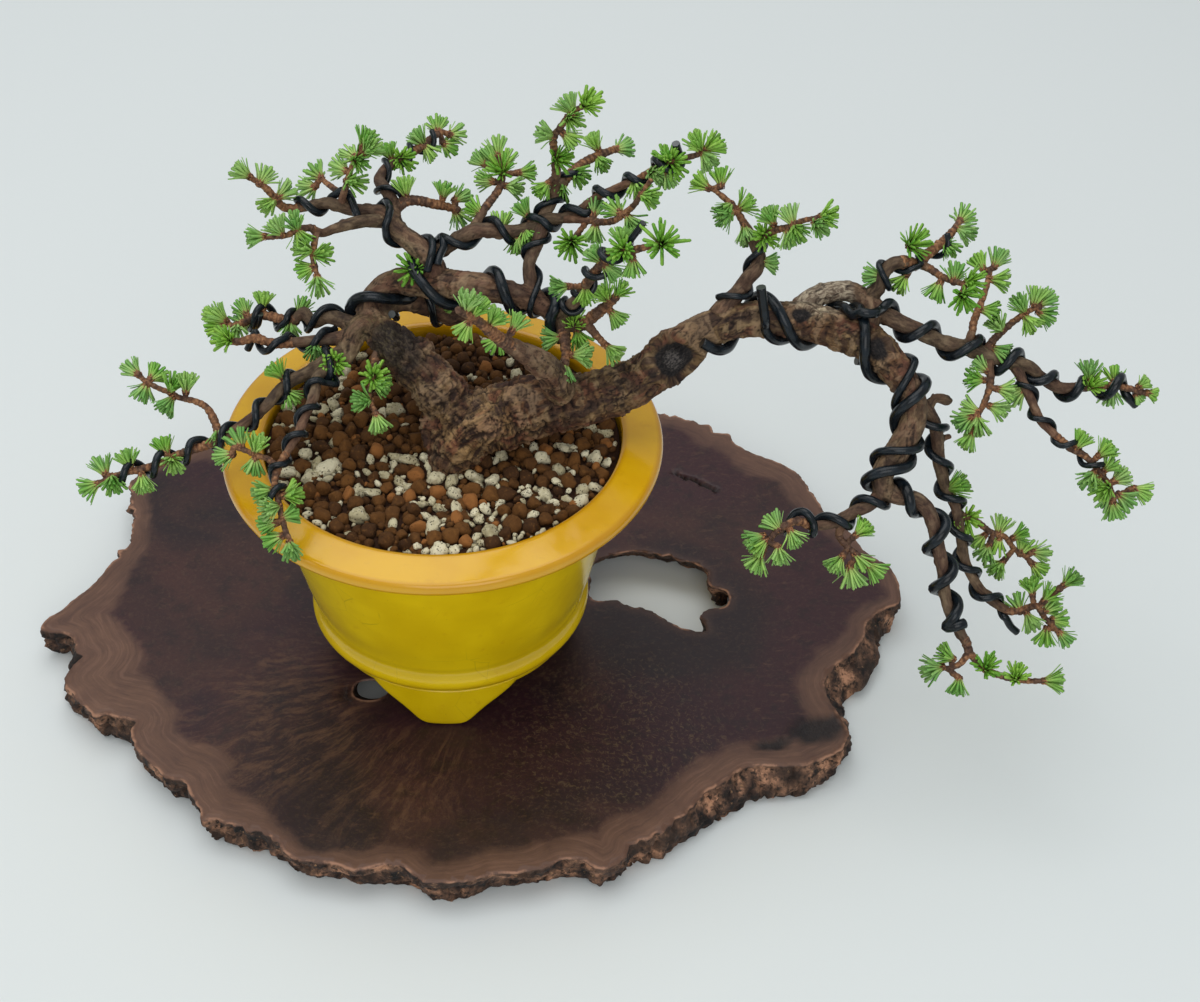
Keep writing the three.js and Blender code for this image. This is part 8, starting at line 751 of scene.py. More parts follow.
def fuse(parts, voxel, smooth=2):
    """One closed skin round overlapping closed parts, on a grid of voxel mm, as vertices and quads."""
    sh = Shape()
    for p in parts:
        sh.add(*p)
    V = np.concatenate(sh.V)
    me = bpy.data.meshes.new("raw")
    me.from_pydata((V * 0.001).tolist(), [], [f for F in sh.F for f in F.tolist()])
    o = bpy.data.objects.new("raw", me)
    bpy.context.scene.collection.objects.link(o)
    mod = o.modifiers.new("skin", "REMESH")
    mod.mode, mod.voxel_size, mod.adaptivity = "VOXEL", voxel * 0.001, 0.0
    dg = bpy.context.evaluated_depsgraph_get()
    new = bpy.data.meshes.new_from_object(o.evaluated_get(dg))
    n = len(new.vertices)
    co = np.zeros(n * 3, np.float32)
    new.vertices.foreach_get("co", co)
    co = co.reshape(-1, 3).astype(float) * 1000
    tot = np.zeros(len(new.polygons), np.int32)
    new.polygons.foreach_get("loop_total", tot)
    vi = np.zeros(int(tot.sum()), np.int32)
    new.loops.foreach_get("vertex_index", vi)
    assert (tot == 4).all()
    F = vi.reshape(-1, 4)
    bpy.data.objects.remove(o)
    bpy.data.meshes.remove(new)
    bpy.data.meshes.remove(me)
    for _ in range(smooth):
        acc, cnt = np.zeros_like(co), np.zeros(n)
        for a in range(4):
            i, j = F[:, a], F[:, (a + 1) % 4]
            for x, y in ((i, j), (j, i)):
                for c in range(3):
                    acc[:, c] += np.bincount(x, co[y, c], n)
                cnt += np.bincount(x, minlength=n)
        co = co * 0.5 + 0.5 * acc / cnt[:, None]
    return co, F


def normals(V, F):
    a, b, c, d = (V[F[:, k]] for k in range(4))
    fn = np.cross(c - a, d - b)
    N = np.zeros_like(V)
    for k in range(4):
        for x in range(3):
            N[:, x] += np.bincount(F[:, k], fn[:, x], len(V))
    return N / np.maximum(np.linalg.norm(N, axis=1, keepdims=True), 1e-12)


# cut and healed wounds: centre on the bark, radius across, radius along, depth
WOUND = [
    ([78.4, 0.0, 146.6], 8.9, 1.8, 1.0),
    ([71.6, -2.4, 142.6], 2.6, 0.8, 0.55),
    ([121.0, 8.6, 159.8], 3.6, 0.9, 0.85),
    ([145.7, -0.8, 153.2], 4.7, 1.1, 0.80),
    ([164.4, -5.7, 137.1], 1.6, 0.5, 0.5),
    ([106.0, 20.0, 156.0], 3.2, 0.7, 0.5),
    ([28.0, 7.0, 128.0], 3.4, 0.8, 0.4),
]
trunk_parts = []
COIL = {name: spline(np.array([[*p, r] for p in pts]), 0.9) for name, (r, pts) in WIRE.items()}


def smooth_run(x, times):
    for _ in range(times):
        x[1:-1] = (x[:-2] + 2 * x[1:-1] + x[2:]) / 4
    return x


def hug(skins):
    """Draws every coil in to the bark, and lets it ride over the coils that lie under it."""
    from mathutils.bvhtree import BVHTree

    trees = [BVHTree.FromPolygons(V.tolist(), F.tolist()) for V, F in skins]
    laid = []
    for name, line in COIL.items():
        r = line[0, 3]
        P = line[:, :3].copy()
        move = np.zeros_like(P)
        for i, p in enumerate(P):
            best = None
            for tree in trees:
                hit = tree.find_nearest(Vector(p), 9.0)
                if hit[0] is not None and (best is None or hit[3] < best[3]):
                    best = hit
            if best is None or best[3] > 3.4 + r:
                continue
            off = Vector(p) - best[0]
            outward = off.dot(best[1]) > 0
            d = best[3] if outward else -best[3]
            pull = d - 0.93 * r
            fade = 1.0 - float(smoothstep(2.0 + r, 3.4 + r, d))
            direction = off.normalized() if best[3] > 0.3 else best[1]
            if not outward and best[3] > 0.3:
                direction = -direction
            move[i] = -np.array(direction) * pull * fade
        smooth_run(move, 3)
        Q = P + move
        for r2, other in laid:
            for _ in range(3):
                d = np.linalg.norm(Q[:, None] - other[None], axis=2)
                j = d.argmin(1)
                gap = d[np.arange(len(Q)), j] - (r + r2)
                away = Q - other[j]
                away /= np.maximum(np.linalg.norm(away, axis=1, keepdims=True), 1e-6)
                Q = Q + away * np.maximum(0.02 - gap, 0)[:, None]
        extra = Q - P - move
        smooth_run(extra, 2)
        Q = P + move + extra
        line[:, :3] = Q
        laid.append((r, Q))


def near_wire(V):
    """Gap from each point to the nearest wire's skin, in mm."""
    out = np.zeros(len(V))
    points = np.concatenate([c[:, :3] for c in COIL.values()])
    radius = np.concatenate([c[:, 3] for c in COIL.values()])
    W = points.astype(np.float32)
    w2 = (W * W).sum(1)
    for a in range(0, len(V), 6000):
        v = V[a : a + 6000].astype(np.float32)
        d = np.sqrt(np.maximum((v * v).sum(1)[:, None] + w2[None] - 2 * v @ W.T, 0)) - radius[None].astype(np.float32)
        out[a : a + 6000] = d.min(1)
    return out


def bark(V, F):
    """Adds the bark's relief. Returns vertices and the numbers that its material reads."""
    N = normals(V, F)
    q, r = read_wood(V)
    a = np.clip(r, 1.0, 12.0)
    big = fbm(q * [0.09, 0.15, 0.15], 3, 3)
    lump = fbm(q * [0.26, 0.36, 0.36], 3, 7)
    warp = np.stack([fbm(q * [0.12, 0.2, 0.2] + 31.0 * k, 2, 50 + k) for k in range(3)], -1)
    # long cracks that wander, and finer ones between them
    c1 = np.abs(fbm(q * [0.085, 0.34, 0.34] + 0.9 * warp, 3, 11))
    c2 = np.abs(fbm(q * [0.16, 0.42, 0.42] + 1.1 * warp, 2, 13))
    fis = smoothstep(0.075, 0.0, c1) * smoothstep(1.6, 4.0, r)
    fine = smoothstep(0.060, 0.0, c2)
    # flaking plates: noise cut into steps
    f = (fbm(q * [0.20, 0.32, 0.32] + 0.7 * warp, 2, 23) * 0.5 + 0.5) * 7.0
    stair = (np.floor(f) + smoothstep(0.40, 0.62, f - np.floor(f))) / 7.0 - 0.5
    lip = smoothstep(0.30, 0.46, f - np.floor(f)) * smoothstep(0.60, 0.48, f - np.floor(f))
    # crosswise folds where thick wood bends, and short wrinkles elsewhere
    fold = fbm(q * [0.40, 0.08, 0.08] + 0.7 * warp, 2, 19)
    cross = smoothstep(0.10, 0.0, np.abs(fold)) * smoothstep(3.5, 7.5, r) * smoothstep(-0.1, 0.35, np.maximum(fbm(q * [0.05, 0.08, 0.08] + 9.0, 2, 29), 0.9 * np.exp(-((V - np.array([20.0, -10.0, 124.0])) ** 2).sum(1) / 22.0**2)))
    flake = fbm(q * [0.45, 0.70, 0.70] + 0.8 * warp, 2, 27)
    patch = 0.5 + 0.48 * fbm(q * [0.15, 0.27, 0.27] + 0.7 * warp, 3, 203)
    band = 0.5 + 0.48 * fbm(q * [0.40, 0.07, 0.07] + 0.8 * warp, 2, 205)
    # close wrinkles across the thick elbow
    elbow = np.exp(-((V - np.array([18.0, -9.0, 123.0])) ** 2).sum(1) / 27.0**2)
    wrinkle = smoothstep(0.16, 0.0, np.abs(fbm(q * [0.36, 0.06, 0.06] + 0.8 * warp, 2, 231))) * smoothstep(5.0, 8.0, r) * elbow
    swell = fbm(q * [0.22, 0.05, 0.05] + 0.6 * warp, 2, 237) * smoothstep(5.0, 8.0, r) * elbow
    # scaly and coarse near the elbow and the old trunk, closer and smoother out along the arm
    calm = 1 - 0.50 * smoothstep(48.0, 74.0, V[:, 0]) * smoothstep(3.0, 4.5, r)
    knob = worley(q * [0.20, 0.34, 0.34] + 5.0, 43)
    bumps = smoothstep(0.42, 0.10, knob[0]) * (knob[2] > 0.55)
    h = 0.095 * a * big + 0.085 * a * lump * calm + (0.28 + 0.05 * a) * bumps * smoothstep(1.1, 1.8, r) * 1.25
    h += (0.15 + 0.165 * a) * stair * calm + 0.055 * a * (band - 0.5) * 2.2 * smoothstep(3.0, 5.5, r)
    h -= 0.066 * a * fis + (0.03 + 0.018 * a) * fine + 0.085 * a * cross
    h += (0.07 + 0.014 * a) * flake * (0.4 + 0.6 * calm) * (1 - 0.5 * elbow) + 1.1 * swell - 0.75 * wrinkle
    # how dark the cracks, folds and plate lips are painted: partly the bark's own darker colour, partly painted shade
    # in the recesses
    crev = np.clip(0.95 * fis + 0.7 * wrinkle + 0.55 * lip * smoothstep(3.0, 6.0, r) + 0.35 * fine * smoothstep(1.5, 3.5, r) + 0.75 * cross + np.clip(-flake - 0.50, 0, 1) * 1.0, 0, 1)
    wound = np.zeros(len(V))
    for c, R, deep, dark in WOUND:
        c = np.array(c)
        k = (np.linalg.norm(centre - c, axis=1) - girth).argmin()
        off = V - c
        lengthwise = (off @ tt[k]) / (0.80 if R > 5 else 1.0)
        sideways = np.linalg.norm(off - (off @ tt[k])[:, None] * tt[k], axis=1) / (1.12 if R > 5 else 1.0)
        d = np.hypot(lengthwise, sideways) / R
        d = d * (1 + 0.24 * vnoise(off * (1.3 / R) + R, 4) + 0.10 * vnoise(off * (4.0 / R) + R, 6))
        h = np.where(d < 1.6, h * (0.35 + 0.65 * smoothstep(0.8, 1.6, d)) + deep * (0.8 * np.exp(-(((d - 1.12) / 0.20) ** 2)) - 1.0 * smoothstep(1.0, 0.78, d) + 0.45 * smoothstep(0.62, 0.35, d)), h)
        h += (0.32 * vnoise(V * 1.2, 9) + 0.16 * vnoise(V * 2.9, 10)) * smoothstep(0.95, 0.7, d) * min(1.0, R / 5)
        wound = np.maximum(wound, dark * smoothstep(1.0, 0.66, d) * (1 - 0.35 * d))
    gap = near_wire(V)
    out = V + N * h[:, None]
    # bark is pressed in under a wire and never stands above it
    tight = smoothstep(0.9, 0.15, gap)
    out = out * (1 - tight)[:, None] + (V + N * np.minimum(h, -0.05)[:, None]) * tight[:, None]
    # the old trunk's head is ragged and folded
    head = np.exp(-(((V - np.array([-13.0, 3.0, 148.0])) / [10.0, 10.0, 8.5]) ** 2).sum(1) * 0.9)
    rag = np.abs(fbm(V * [0.30, 0.30, 0.16] + 4.0, 4, 91))
    out = out - N * (head * 2.3 * smoothstep(0.18, 0.0, rag))[:, None] + N * (head * 1.7 * fbm(V * 0.24, 3, 93))[:, None]
    # the head's sunk folds are darkened as well, partly painted shade
    crev = np.maximum(crev, head * smoothstep(0.12, 0.02, rag) * 0.9)
    moss = smoothstep(-4.0, -22.0, V[:, 0]) * smoothstep(3.0, 5.0, r) * smoothstep(-0.1, 0.3, fbm(V * 0.12, 3, 71))
    def near(c, r_in, r_out):
        d = np.linalg.norm(V - np.array(c), axis=1) + 5.0 * fbm(V * 0.16, 3, 95)
        return smoothstep(r_out, r_in, d)

    charred = near((-13.5, 3.0, 148.5), 7.5, 13.0)
    return out, dict(grain=q, girth=r, crevice=crev, wound=wound, moss=moss * (1 - 0.7 * charred), flake=np.clip(stair + 0.5, 0, 1),
                     broad=0.5 + 0.45 * fbm(q * [0.05, 0.12, 0.12], 3, 201), patch=patch, scab=0.5 + 0.48 * fbm(q * [0.30, 0.44, 0.44] + 0.6 * warp, 2, 207),
                     band=band, worn=near((17.0, -14.0, 122.0), 9.0, 24.0), charred=charred, bleached=near((128.0, 18.0, 162.0), 7.0, 12.0))


def stub(child):
    """The foot of a limb, swelling into the limb that carries it."""
    d = dense[child].copy()
    s = np.concatenate([[0], np.cumsum(np.linalg.norm(np.diff(d[:, :3], axis=0), axis=1))])
    n = max(3, int((s < 3.2 * d[0, 3]).sum()))
    d = d[:n].copy()
    k = np.linspace(0, 1, n)
    d[:, 3] *= 1.22 - 0.22 * smoothstep(0, 0.7, k) - 0.35 * smoothstep(0.7, 1.0, k)
    return tube(d, 14)


def clamp_z(V):
    return V


trunk_parts = [tube(dense[n], 24 if n == "T" else 18) for n in TRUNK if n in dense]
limb_names = [n for n in dense if n not in TRUNK]
for n in limb_names:
    if PARENT.get(n) in TRUNK and PARENT.get(n) in dense:
        trunk_parts.append(stub(n))
# gnarls that the limb lines don't carry: the knee over the soil, the old stub above the left arm, and small knobs
GNARL = [
    [[-0.3, -8.0, 128.5, 4.0], [0.4, -10.0, 122.2, 4.6], [1.4, -12.5, 115.5, 4.8], [2.0, -14.0, 108.0, 4.6]],
    [[-4.6, -9.2, 127.6, 1.2], [-5.6, -10.2, 122.6, 1.7], [-4.6, -11.8, 117.6, 1.2]],
    [[-9.0, 3.0, 144.0, 6.6], [-6.8, 4.4, 147.4, 6.0]],
    [[-13.0, 2.5, 147.2, 5.2], [-12.0, 4.0, 150.0, 4.0]],
    [[15.0, -13.0, 119.5, 3.2], [20.5, -12.0, 121.5, 3.4]],
    [[58.0, 1.5, 124.4, 3.4], [62.0, 2.0, 125.6, 3.0]],
    [[81.0, 4.0, 152.2, 3.0], [85.0, 6.0, 155.4, 2.6]],
    [[103.0, 8.0, 160.6, 2.4], [106.0, 9.0, 161.0, 2.0]],
    [[128.0, 7.0, 159.8, 2.6], [131.5, 6.0, 159.6, 2.2]],
    [[155.6, -1.0, 147.8, 2.2], [157.4, -2.5, 146.2, 1.8]],
    [[161.0, -8.0, 136.0, 2.2], [162.4, -10.0, 134.0, 1.7]],
]
trunk_parts += [tube(spline(g0, 0.9), 14) for g0 in GNARL]
skin_t = fuse(trunk_parts, 0.56)
skin_l = fuse([tube(dense[n], 14) for n in limb_names] + [stub(n) for n in limb_names if PARENT.get(n) in limb_names], 0.47, 1)
hug((skin_t, skin_l))
for name, mat, (V, F) in (("trunk_bark", BARK, skin_t), ("limb_bark", BARK_LIMB, skin_l)):
    V, numbers = bark(V, F)
    Shape().add(V, F, **numbers).build(name, mat, slot="bark", replaces=["trunk_and_branches"])

# ---------------------------------------------------------------- young shoots, spurs and needles
REGION = {}
for node in TUFT:
    if any(w in node for w in ("far_right", "right_rising", "right_fork", "centre", "front") ) and "crown" not in node:
        REGION[node] = "right"
    elif any(w in node for w in ("cascade", "lower_right")):
        REGION[node] = "cascade"
    elif "left" in node and "upper_left" not in node and "crown" not in node:
        REGION[node] = "left"
    else:
        REGION[node] = "crown"
twigs = {k: Shape() for k in ("right", "cascade", "left", "crown")}
scales = {k: Shape() for k in twigs}
blades = {k: Shape() for k in twigs}


def twig(shape, line):
    d = spline(line, 0.5)
    T, U, W = frames(d)
    sides = 8
    s = np.concatenate([[0], np.cumsum(np.linalg.norm(np.diff(d[:, :3], axis=0), axis=1))])
    a = 2 * np.pi * np.arange(sides) / sides
    seed = int(abs(d[0, 0] * 7 + d[0, 2] * 13)) % 997
    p = np.stack(np.broadcast_arrays(s[:, None] * 1.0 + seed, np.cos(a)[None] * 1.3, np.sin(a)[None] * 1.3), -1)
    n1 = fbm(p * 0.8, 3, 31)
    ring = 0.5 + 0.5 * np.sin(s * 2 * np.pi / 1.9 + 2.0 * vnoise(np.stack([s * 0.4, s * 0 + seed, s * 0], -1), 5))
    rr = d[:, 3][:, None] * (0.92 + 0.14 * ring[:, None] + 0.20 * n1)
    V, Q, Tr = tube(d, sides, rr)
    # the grooves between the rings are darkened: partly the bark's own colour, partly painted shade
    crev = np.concatenate([np.zeros((2, sides)), np.clip((0.35 - ring[:, None]) * 1.6 + np.clip(-n1, 0, 1) * 0.8, 0, 1), np.zeros((2, sides))]).ravel()
    crev = np.concatenate([crev, [0, 0]])
    shape.add(V, Q, Tr, crevice=crev)


def basis(d):
    d = np.asarray(d, float) / np.linalg.norm(d)
    u = np.cross([0.0, 0.0, 1.0], d)
    if np.linalg.norm(u) < 0.1:
        u = np.cross([1.0, 0.0, 0.0], d)
    u /= np.linalg.norm(u)
    return d, u, np.cross(d, u)


def spur(tw, sc, a, b, d, L):
    """A short woody spur with whorls of old bud scales under the needles."""
    a, b = np.array(a), np.array(b)
    d, u, v = basis(d)
    top = b + d * 0.35
    mid = (a + b) / 2 + d * 0.15
    line = np.array([[*a, 0.95], [*mid, 1.05], [*b, 1.12], [*top, 0.8]])
    if np.linalg.norm(b - a) < 0.6:
        line = np.array([[*(b - d * 0.9), 0.95], [*b, 1.1], [*top, 0.8]])
    p = spline(line, 0.5)
    sides = 8
    n = fbm(np.stack(np.broadcast_arrays(np.arange(len(p))[:, None] * 0.5 + b[0], np.cos(np.arange(sides) * 0.7)[None] + b[1], np.sin(np.arange(sides) * 0.7)[None] + b[2]), -1), 2, 3)
    rr = p[:, 3][:, None] * (1 + 0.09 * np.sin(np.arange(len(p)) * 1.9)[:, None] + 0.22 * n)
    V, Q, Tr = tube(p, sides, rr)
    tw.add(V, Q, Tr, crevice=np.full(len(V), 0.35))
    # scales
    for whorl, (h, count, spread, size) in enumerate(((-1.0, 6, 0.30, 1.25), (-0.35, 7, 0.42, 1.45), (0.25, 7, 0.52, 1.35))):
        for k in range(count):
            t = 2 * math.pi * (k + 0.5 * whorl + rng.uniform(-0.2, 0.2)) / count
            out = math.cos(t) * u + math.sin(t) * v
            tan = -math.sin(t) * u + math.cos(t) * v
            foot = b + d * h + out * 0.80
            w = rng.uniform(0.34, 0.46)
            length = size * rng.uniform(0.75, 1.2)
            lean = spread * rng.uniform(0.6, 1.5)
            mid_p = foot + d * length * 0.5 + out * (0.30 + lean * 0.35)
            tip = foot + d * length * 0.95 + out * (0.25 + lean)
            th = 0.13
            P = [foot - tan * w * 0.8, foot + out * (th + 0.18), foot + tan * w * 0.8, foot - out * 0.2,
                 mid_p - tan * w, mid_p + out * th, mid_p + tan * w, mid_p - out * th, tip]
            q = [[0, 1, 5, 4], [1, 2, 6, 5], [2, 3, 7, 6], [3, 0, 4, 7], [3, 2, 1, 0]]
            tr = [[4, 5, 8], [5, 6, 8], [6, 7, 8], [7, 4, 8]]
            sc.add(P, q, tr, along=[0, 0, 0, 0, 0.5, 0.5, 0.5, 0.5, 1.0], tint=np.full(9, rng.uniform()))


def tuft(shape, b, d, L, count, star=0.0):
    """A tuft of flat soft needles that flare from the top of a spur like a brush with a level rim."""
    b = np.array(b)
    d, u, v = basis(d)
    k = np.arange(count)
    rad = np.sqrt((k + 0.5) / count)
    phi = k * 2.399963 + rng.uniform(0, 6.28) + rng.normal(0, 0.16, count)
    wide = math.radians(40 + 12 * star + rng.normal(0, 3.0))
    alpha = wide * rad * (1 + rng.normal(0, 0.06, count)) + rng.normal(0, 0.035, count)
    stray = rng.uniform(size=count) < 0.04
    alpha = np.clip(np.where(stray, alpha + 0.3, alpha), 0.02, 1.2)
    length = L * 0.99 * (0.95 + 0.05 * rad) * rng.uniform(0.90, 1.05, count)
    out = np.cos(phi)[:, None] * u + np.sin(phi)[:, None] * v
    side = -np.sin(phi)[:, None] * u + np.cos(phi)[:, None] * v
    root = b + d * 0.1 + out * (0.80 * rad)[:, None]
    a0 = alpha * 0.70
    a1 = alpha * rng.uniform(1.10, 1.38, count)
    bend = rng.normal(0, 0.07, count)
    twist = rng.normal(0, 0.45, count)
    stations = (0.0, 0.45, 0.95, 1.0)
    half = np.array([0.34, 0.58, 0.54, 0.24])
    thick = np.array([0.18, 0.20, 0.16, 0.08])
    broad = rng.uniform(0.9, 1.15, count)[:, None]
    pos = root.copy()
    last = 0.0
    rings = []
    for i, t in enumerate(stations):
        tm = (last + t) / 2
        ang = a0 + (a1 - a0) * tm
        dirn = np.cos(ang)[:, None] * d + np.sin(ang)[:, None] * out + (bend * tm)[:, None] * side
        dirn /= np.linalg.norm(dirn, axis=1, keepdims=True)
        pos = pos + dirn * (length * (t - last))[:, None]
        last = t
        s2 = side * np.cos(twist)[:, None] + np.cross(dirn, side) * np.sin(twist)[:, None]
        s2 -= dirn * (s2 * dirn).sum(1)[:, None]
        s2 /= np.linalg.norm(s2, axis=1, keepdims=True)
        nn = np.cross(dirn, s2)
        if i < 3:
            rings.append(np.stack([pos - s2 * half[i] * broad, pos - nn * thick[i] * 1.5, pos + s2 * half[i] * broad], 1))
        else:
            rings.append(np.stack([pos - s2 * half[i], pos + s2 * half[i]], 1))
    V = np.concatenate(rings, 1)  # count, 11, 3
    m = V.shape[1]
    base = (np.arange(count) * m)[:, None]
    q = []
    for r in range(2):
        for c in range(3):
            q.append([3 * r + c, 3 * r + (c + 1) % 3, 3 * r + 3 + (c + 1) % 3, 3 * r + 3 + c])
    # the blunt tip: an edge 9-10 closes the last ring 6, 7, 8
    q += [[8, 6, 9, 10], [7, 8, 10, 9]]
    tr = [[2, 1, 0], [6, 7, 9]]
    Q = (np.array(q)[None] + base[..., None]).reshape(-1, 4)
    Tr = (np.array(tr)[None] + base[..., None]).reshape(-1, 3)
    t = np.array([0.0] * 3 + [0.45] * 3 + [0.95] * 3 + [1.0] * 2)
    tint_tuft = rng.uniform(0.15, 0.85)
    tint = np.clip(tint_tuft + rng.normal(0, 0.2, count), 0, 1)
    shade = np.clip((0.0 if star > 0.5 else rng.uniform(0.1, 1.0)) + rng.normal(0, 0.08, count), 0, 1)
    shape.add(V.reshape(-1, 3), Q, Tr, along=np.tile(t, count), tint=np.repeat(tint, m), shade=np.repeat(shade, m))


for node, members in SHOOT.items():
    for limb, start in members:
        line = [list(p) for p in LIMB[limb][start:]]
        if len(line) < 2:
            continue
        if start > 0:
            a, b = np.array(LIMB[limb][start - 1]), np.array(LIMB[limb][start])
            back = (a - b) / max(np.linalg.norm((a - b)[:3]), 1e-6) * 1.4
            line = [list(b + back * [1, 1, 1, 0])] + line
        twig(twigs[REGION[node]], line)

tufts = [(node, t) for node, group in TUFT.items() for t in group] + [(None, t) for t in TUFT_ON_OLD_WOOD]
for node, t in tufts:
    a, b, d, L = t[0:3], t[3:6], t[6:9], t[9]
    if node:
        key = REGION[node]
    else:
        key = "left" if b[0] < -25 else ("crown" if b[0] < 60 else ("right" if b[2] > 140 else "cascade"))
    star = 1.0 if (np.array(d) @ np.array([0.0, -0.75, 0.66])) > 0.82 else 0.0
    big = L > 8.5
    spur(twigs[key], scales[key], a, b, d, L)
    tuft(blades[key], b, d, L, 38 if big else (34 if star else 29), star)

members = {k: sorted(n for n in TUFT if REGION[n] == k) for k in twigs}
for k in twigs:
    twigs[k].build(f"shoots_{k}", SHOOT_BARK, slot="shoots_and_needles", replaces=members[k])
    scales[k].build(f"bud_scales_{k}", SCALES, slot="shoots_and_needles", replaces=members[k], smooth=False)
    blades[k].build(f"needles_{k}", NEEDLES, slot="shoots_and_needles", replaces=members[k])

# ---------------------------------------------------------------- wires
for name, (r, pts) in WIRE.items():
    line = COIL[name].copy()
    line[:, 3] *= 1.10
    # a hand-wound wire is never a perfect helix: a faint waver
    s = np.arange(len(line))[:, None] * 0.9
    line[:, :3] += 0.05 * np.concatenate([vnoise(np.concatenate([s * 0.21 + len(pts), s * 0 + 9.0 * k, s * 0], 1), 3)[:, None] for k in range(3)], 1)
    sides = 10 if r > 1.2 else 9
    V, Q, Tr = tube(line, sides, round_end=False)
    sh = Shape().add(V, Q)
    # the cut ends are flat caps that show bare metal
    n = len(V)
    T, U, W = frames(line)
    sh.F.append(Tr)
    sh.M.append(np.full(len(Tr), 1))
    o = sh.build(name.replace("wire_", "coil_"), WIRE_SKIN, WIRE_END, slot="dark_wire", replaces=[name])
    me = o.data
    flat = np.ones(len(me.polygons), bool)
    flat[len(Q):] = False
    me.polygons.foreach_set("use_smooth", flat)

# ---------------------------------------------------------------- pot
PROFILE = [
    [0, -79], [24, -79], [40, -79], [44.5, -78.8], [46.4, -77.6], [47.0, -75.6], [47.2, -73.2], [48.4, -72.2], [50.2, -71.3], [50.9, -69.8],
    [50.9, -68.2], [50.5, -66.4], [49.7, -64.9], [49.3, -63.5], [49.8, -61.2], [52.4, -52], [54.2, -44], [56, -36], [57.8, -28.5], [59.6, -21],
    [61.2, -14.5], [62.7, -9.4], [64.2, -6.6], [66.8, -4.2], [70, -2.4], [73, -1.2], [75.1, -0.4], [75.9, 0.4], [76.2, 1.8], [76.0, 3.2],
    [75.2, 4.2], [73.0, 4.7], [69, 5.3], [65.4, 5.8], [63.3, 6.0], [62.4, 5.7], [61.9, 4.7], [61.8, 2], [61.6, -1], [60.6, -5], [59.2, -9], [57.3, -15],
]
INNER = [[53.5, -29], [51.6, -36], [48, -52], [45.4, -62], [43, -67], [40.6, -71], [20, -71.8], [0, -72]]
ring = np.concatenate([spline(np.array([[r, h, 0.0] for r, h in PROFILE]), 1.0)[:, :2], np.array(INNER, float)])
ring[:, 0] = np.maximum(ring[:, 0], 0)
ring[0, 0] = ring[-1, 0] = 0
around = 132
a = 2 * np.pi * np.arange(around) / around
body = ring[1:-1]
R = body[:, 0][:, None] * np.ones(around)
Z = body[:, 1][:, None] + RIM_Z + 0 * a[None]
P = np.stack([R * np.cos(a), R * np.sin(a), Z], -1)
# thrown by hand: the wall wanders by a few tenths of a millimetre
wob = 0.28 * vnoise(np.stack([np.cos(a) * 1.6, np.sin(a) * 1.6, a * 0], -1)[None] + np.stack([body[:, 1] * 0, body[:, 1] * 0, body[:, 1] * 0.03], -1)[:, None], 5)
rad = np.stack([np.cos(a), np.sin(a)], -1)[None]
P[..., :2] += rad * (wob * smoothstep(20, 45, R))[..., None]
P[..., 2] += 0.22 * vnoise(np.stack([np.cos(a) * 1.3, np.sin(a) * 1.3, a * 0 + 4], -1), 8)[None] * smoothstep(-20, 0, body[:, 1])[:, None]
n = len(body)
i = np.arange(n - 1)[:, None] * around
k = np.arange(around)[None]
k2 = (k + 1) % around
Q = np.stack([i + k, i + k2, i + around + k2, i + around + k], -1).reshape(-1, 4)
V = np.concatenate([P.reshape(-1, 3), [[0, 0, ring[0, 1] + RIM_Z], [0, 0, ring[-1, 1] + RIM_Z]]])
k, k2 = k[0], k2[0]
Tr = np.concatenate([np.stack([np.full(around, n * around), k2, k], -1), np.stack([np.full(around, n * around + 1), (n - 1) * around + k, (n - 1) * around + k2], -1)])
curv = np.zeros(n)
d1 = np.gradient(body, axis=0)
ang = np.unwrap(np.arctan2(d1[:, 1], d1[:, 0]))
curv = np.gradient(ang) / np.maximum(np.linalg.norm(d1, axis=1), 1e-6)
edge = np.clip(smoothstep(0.10, 0.45, curv), 0, 1)
# painted shade on the glaze: in the groove above the belt, under the belt, and on the inner wall below the rim
painted_shade_z = (0.6 * smoothstep(-60.5, -63.2, body[:, 1]) * smoothstep(-67.5, -65.0, body[:, 1]) + 0.7 * smoothstep(-71.0, -72.4, body[:, 1]) * smoothstep(-77.0, -73.5, body[:, 1])) * (body[:, 0] > 44)
inside = smoothstep(4.4, 1.6, body[:, 1]) * (body[:, 0] < 62.4) * (body[:, 1] > -30) * (np.arange(n) > body[:, 1].argmax())
grime = np.repeat(np.clip(painted_shade_z * 0.5 + inside * 0.55, 0, 1), around)
pot = Shape().add(V, Q, Tr, edge=np.concatenate([np.repeat(edge, around), [0, 0]]), grime=np.concatenate([grime, [0.2, 0.4]]))

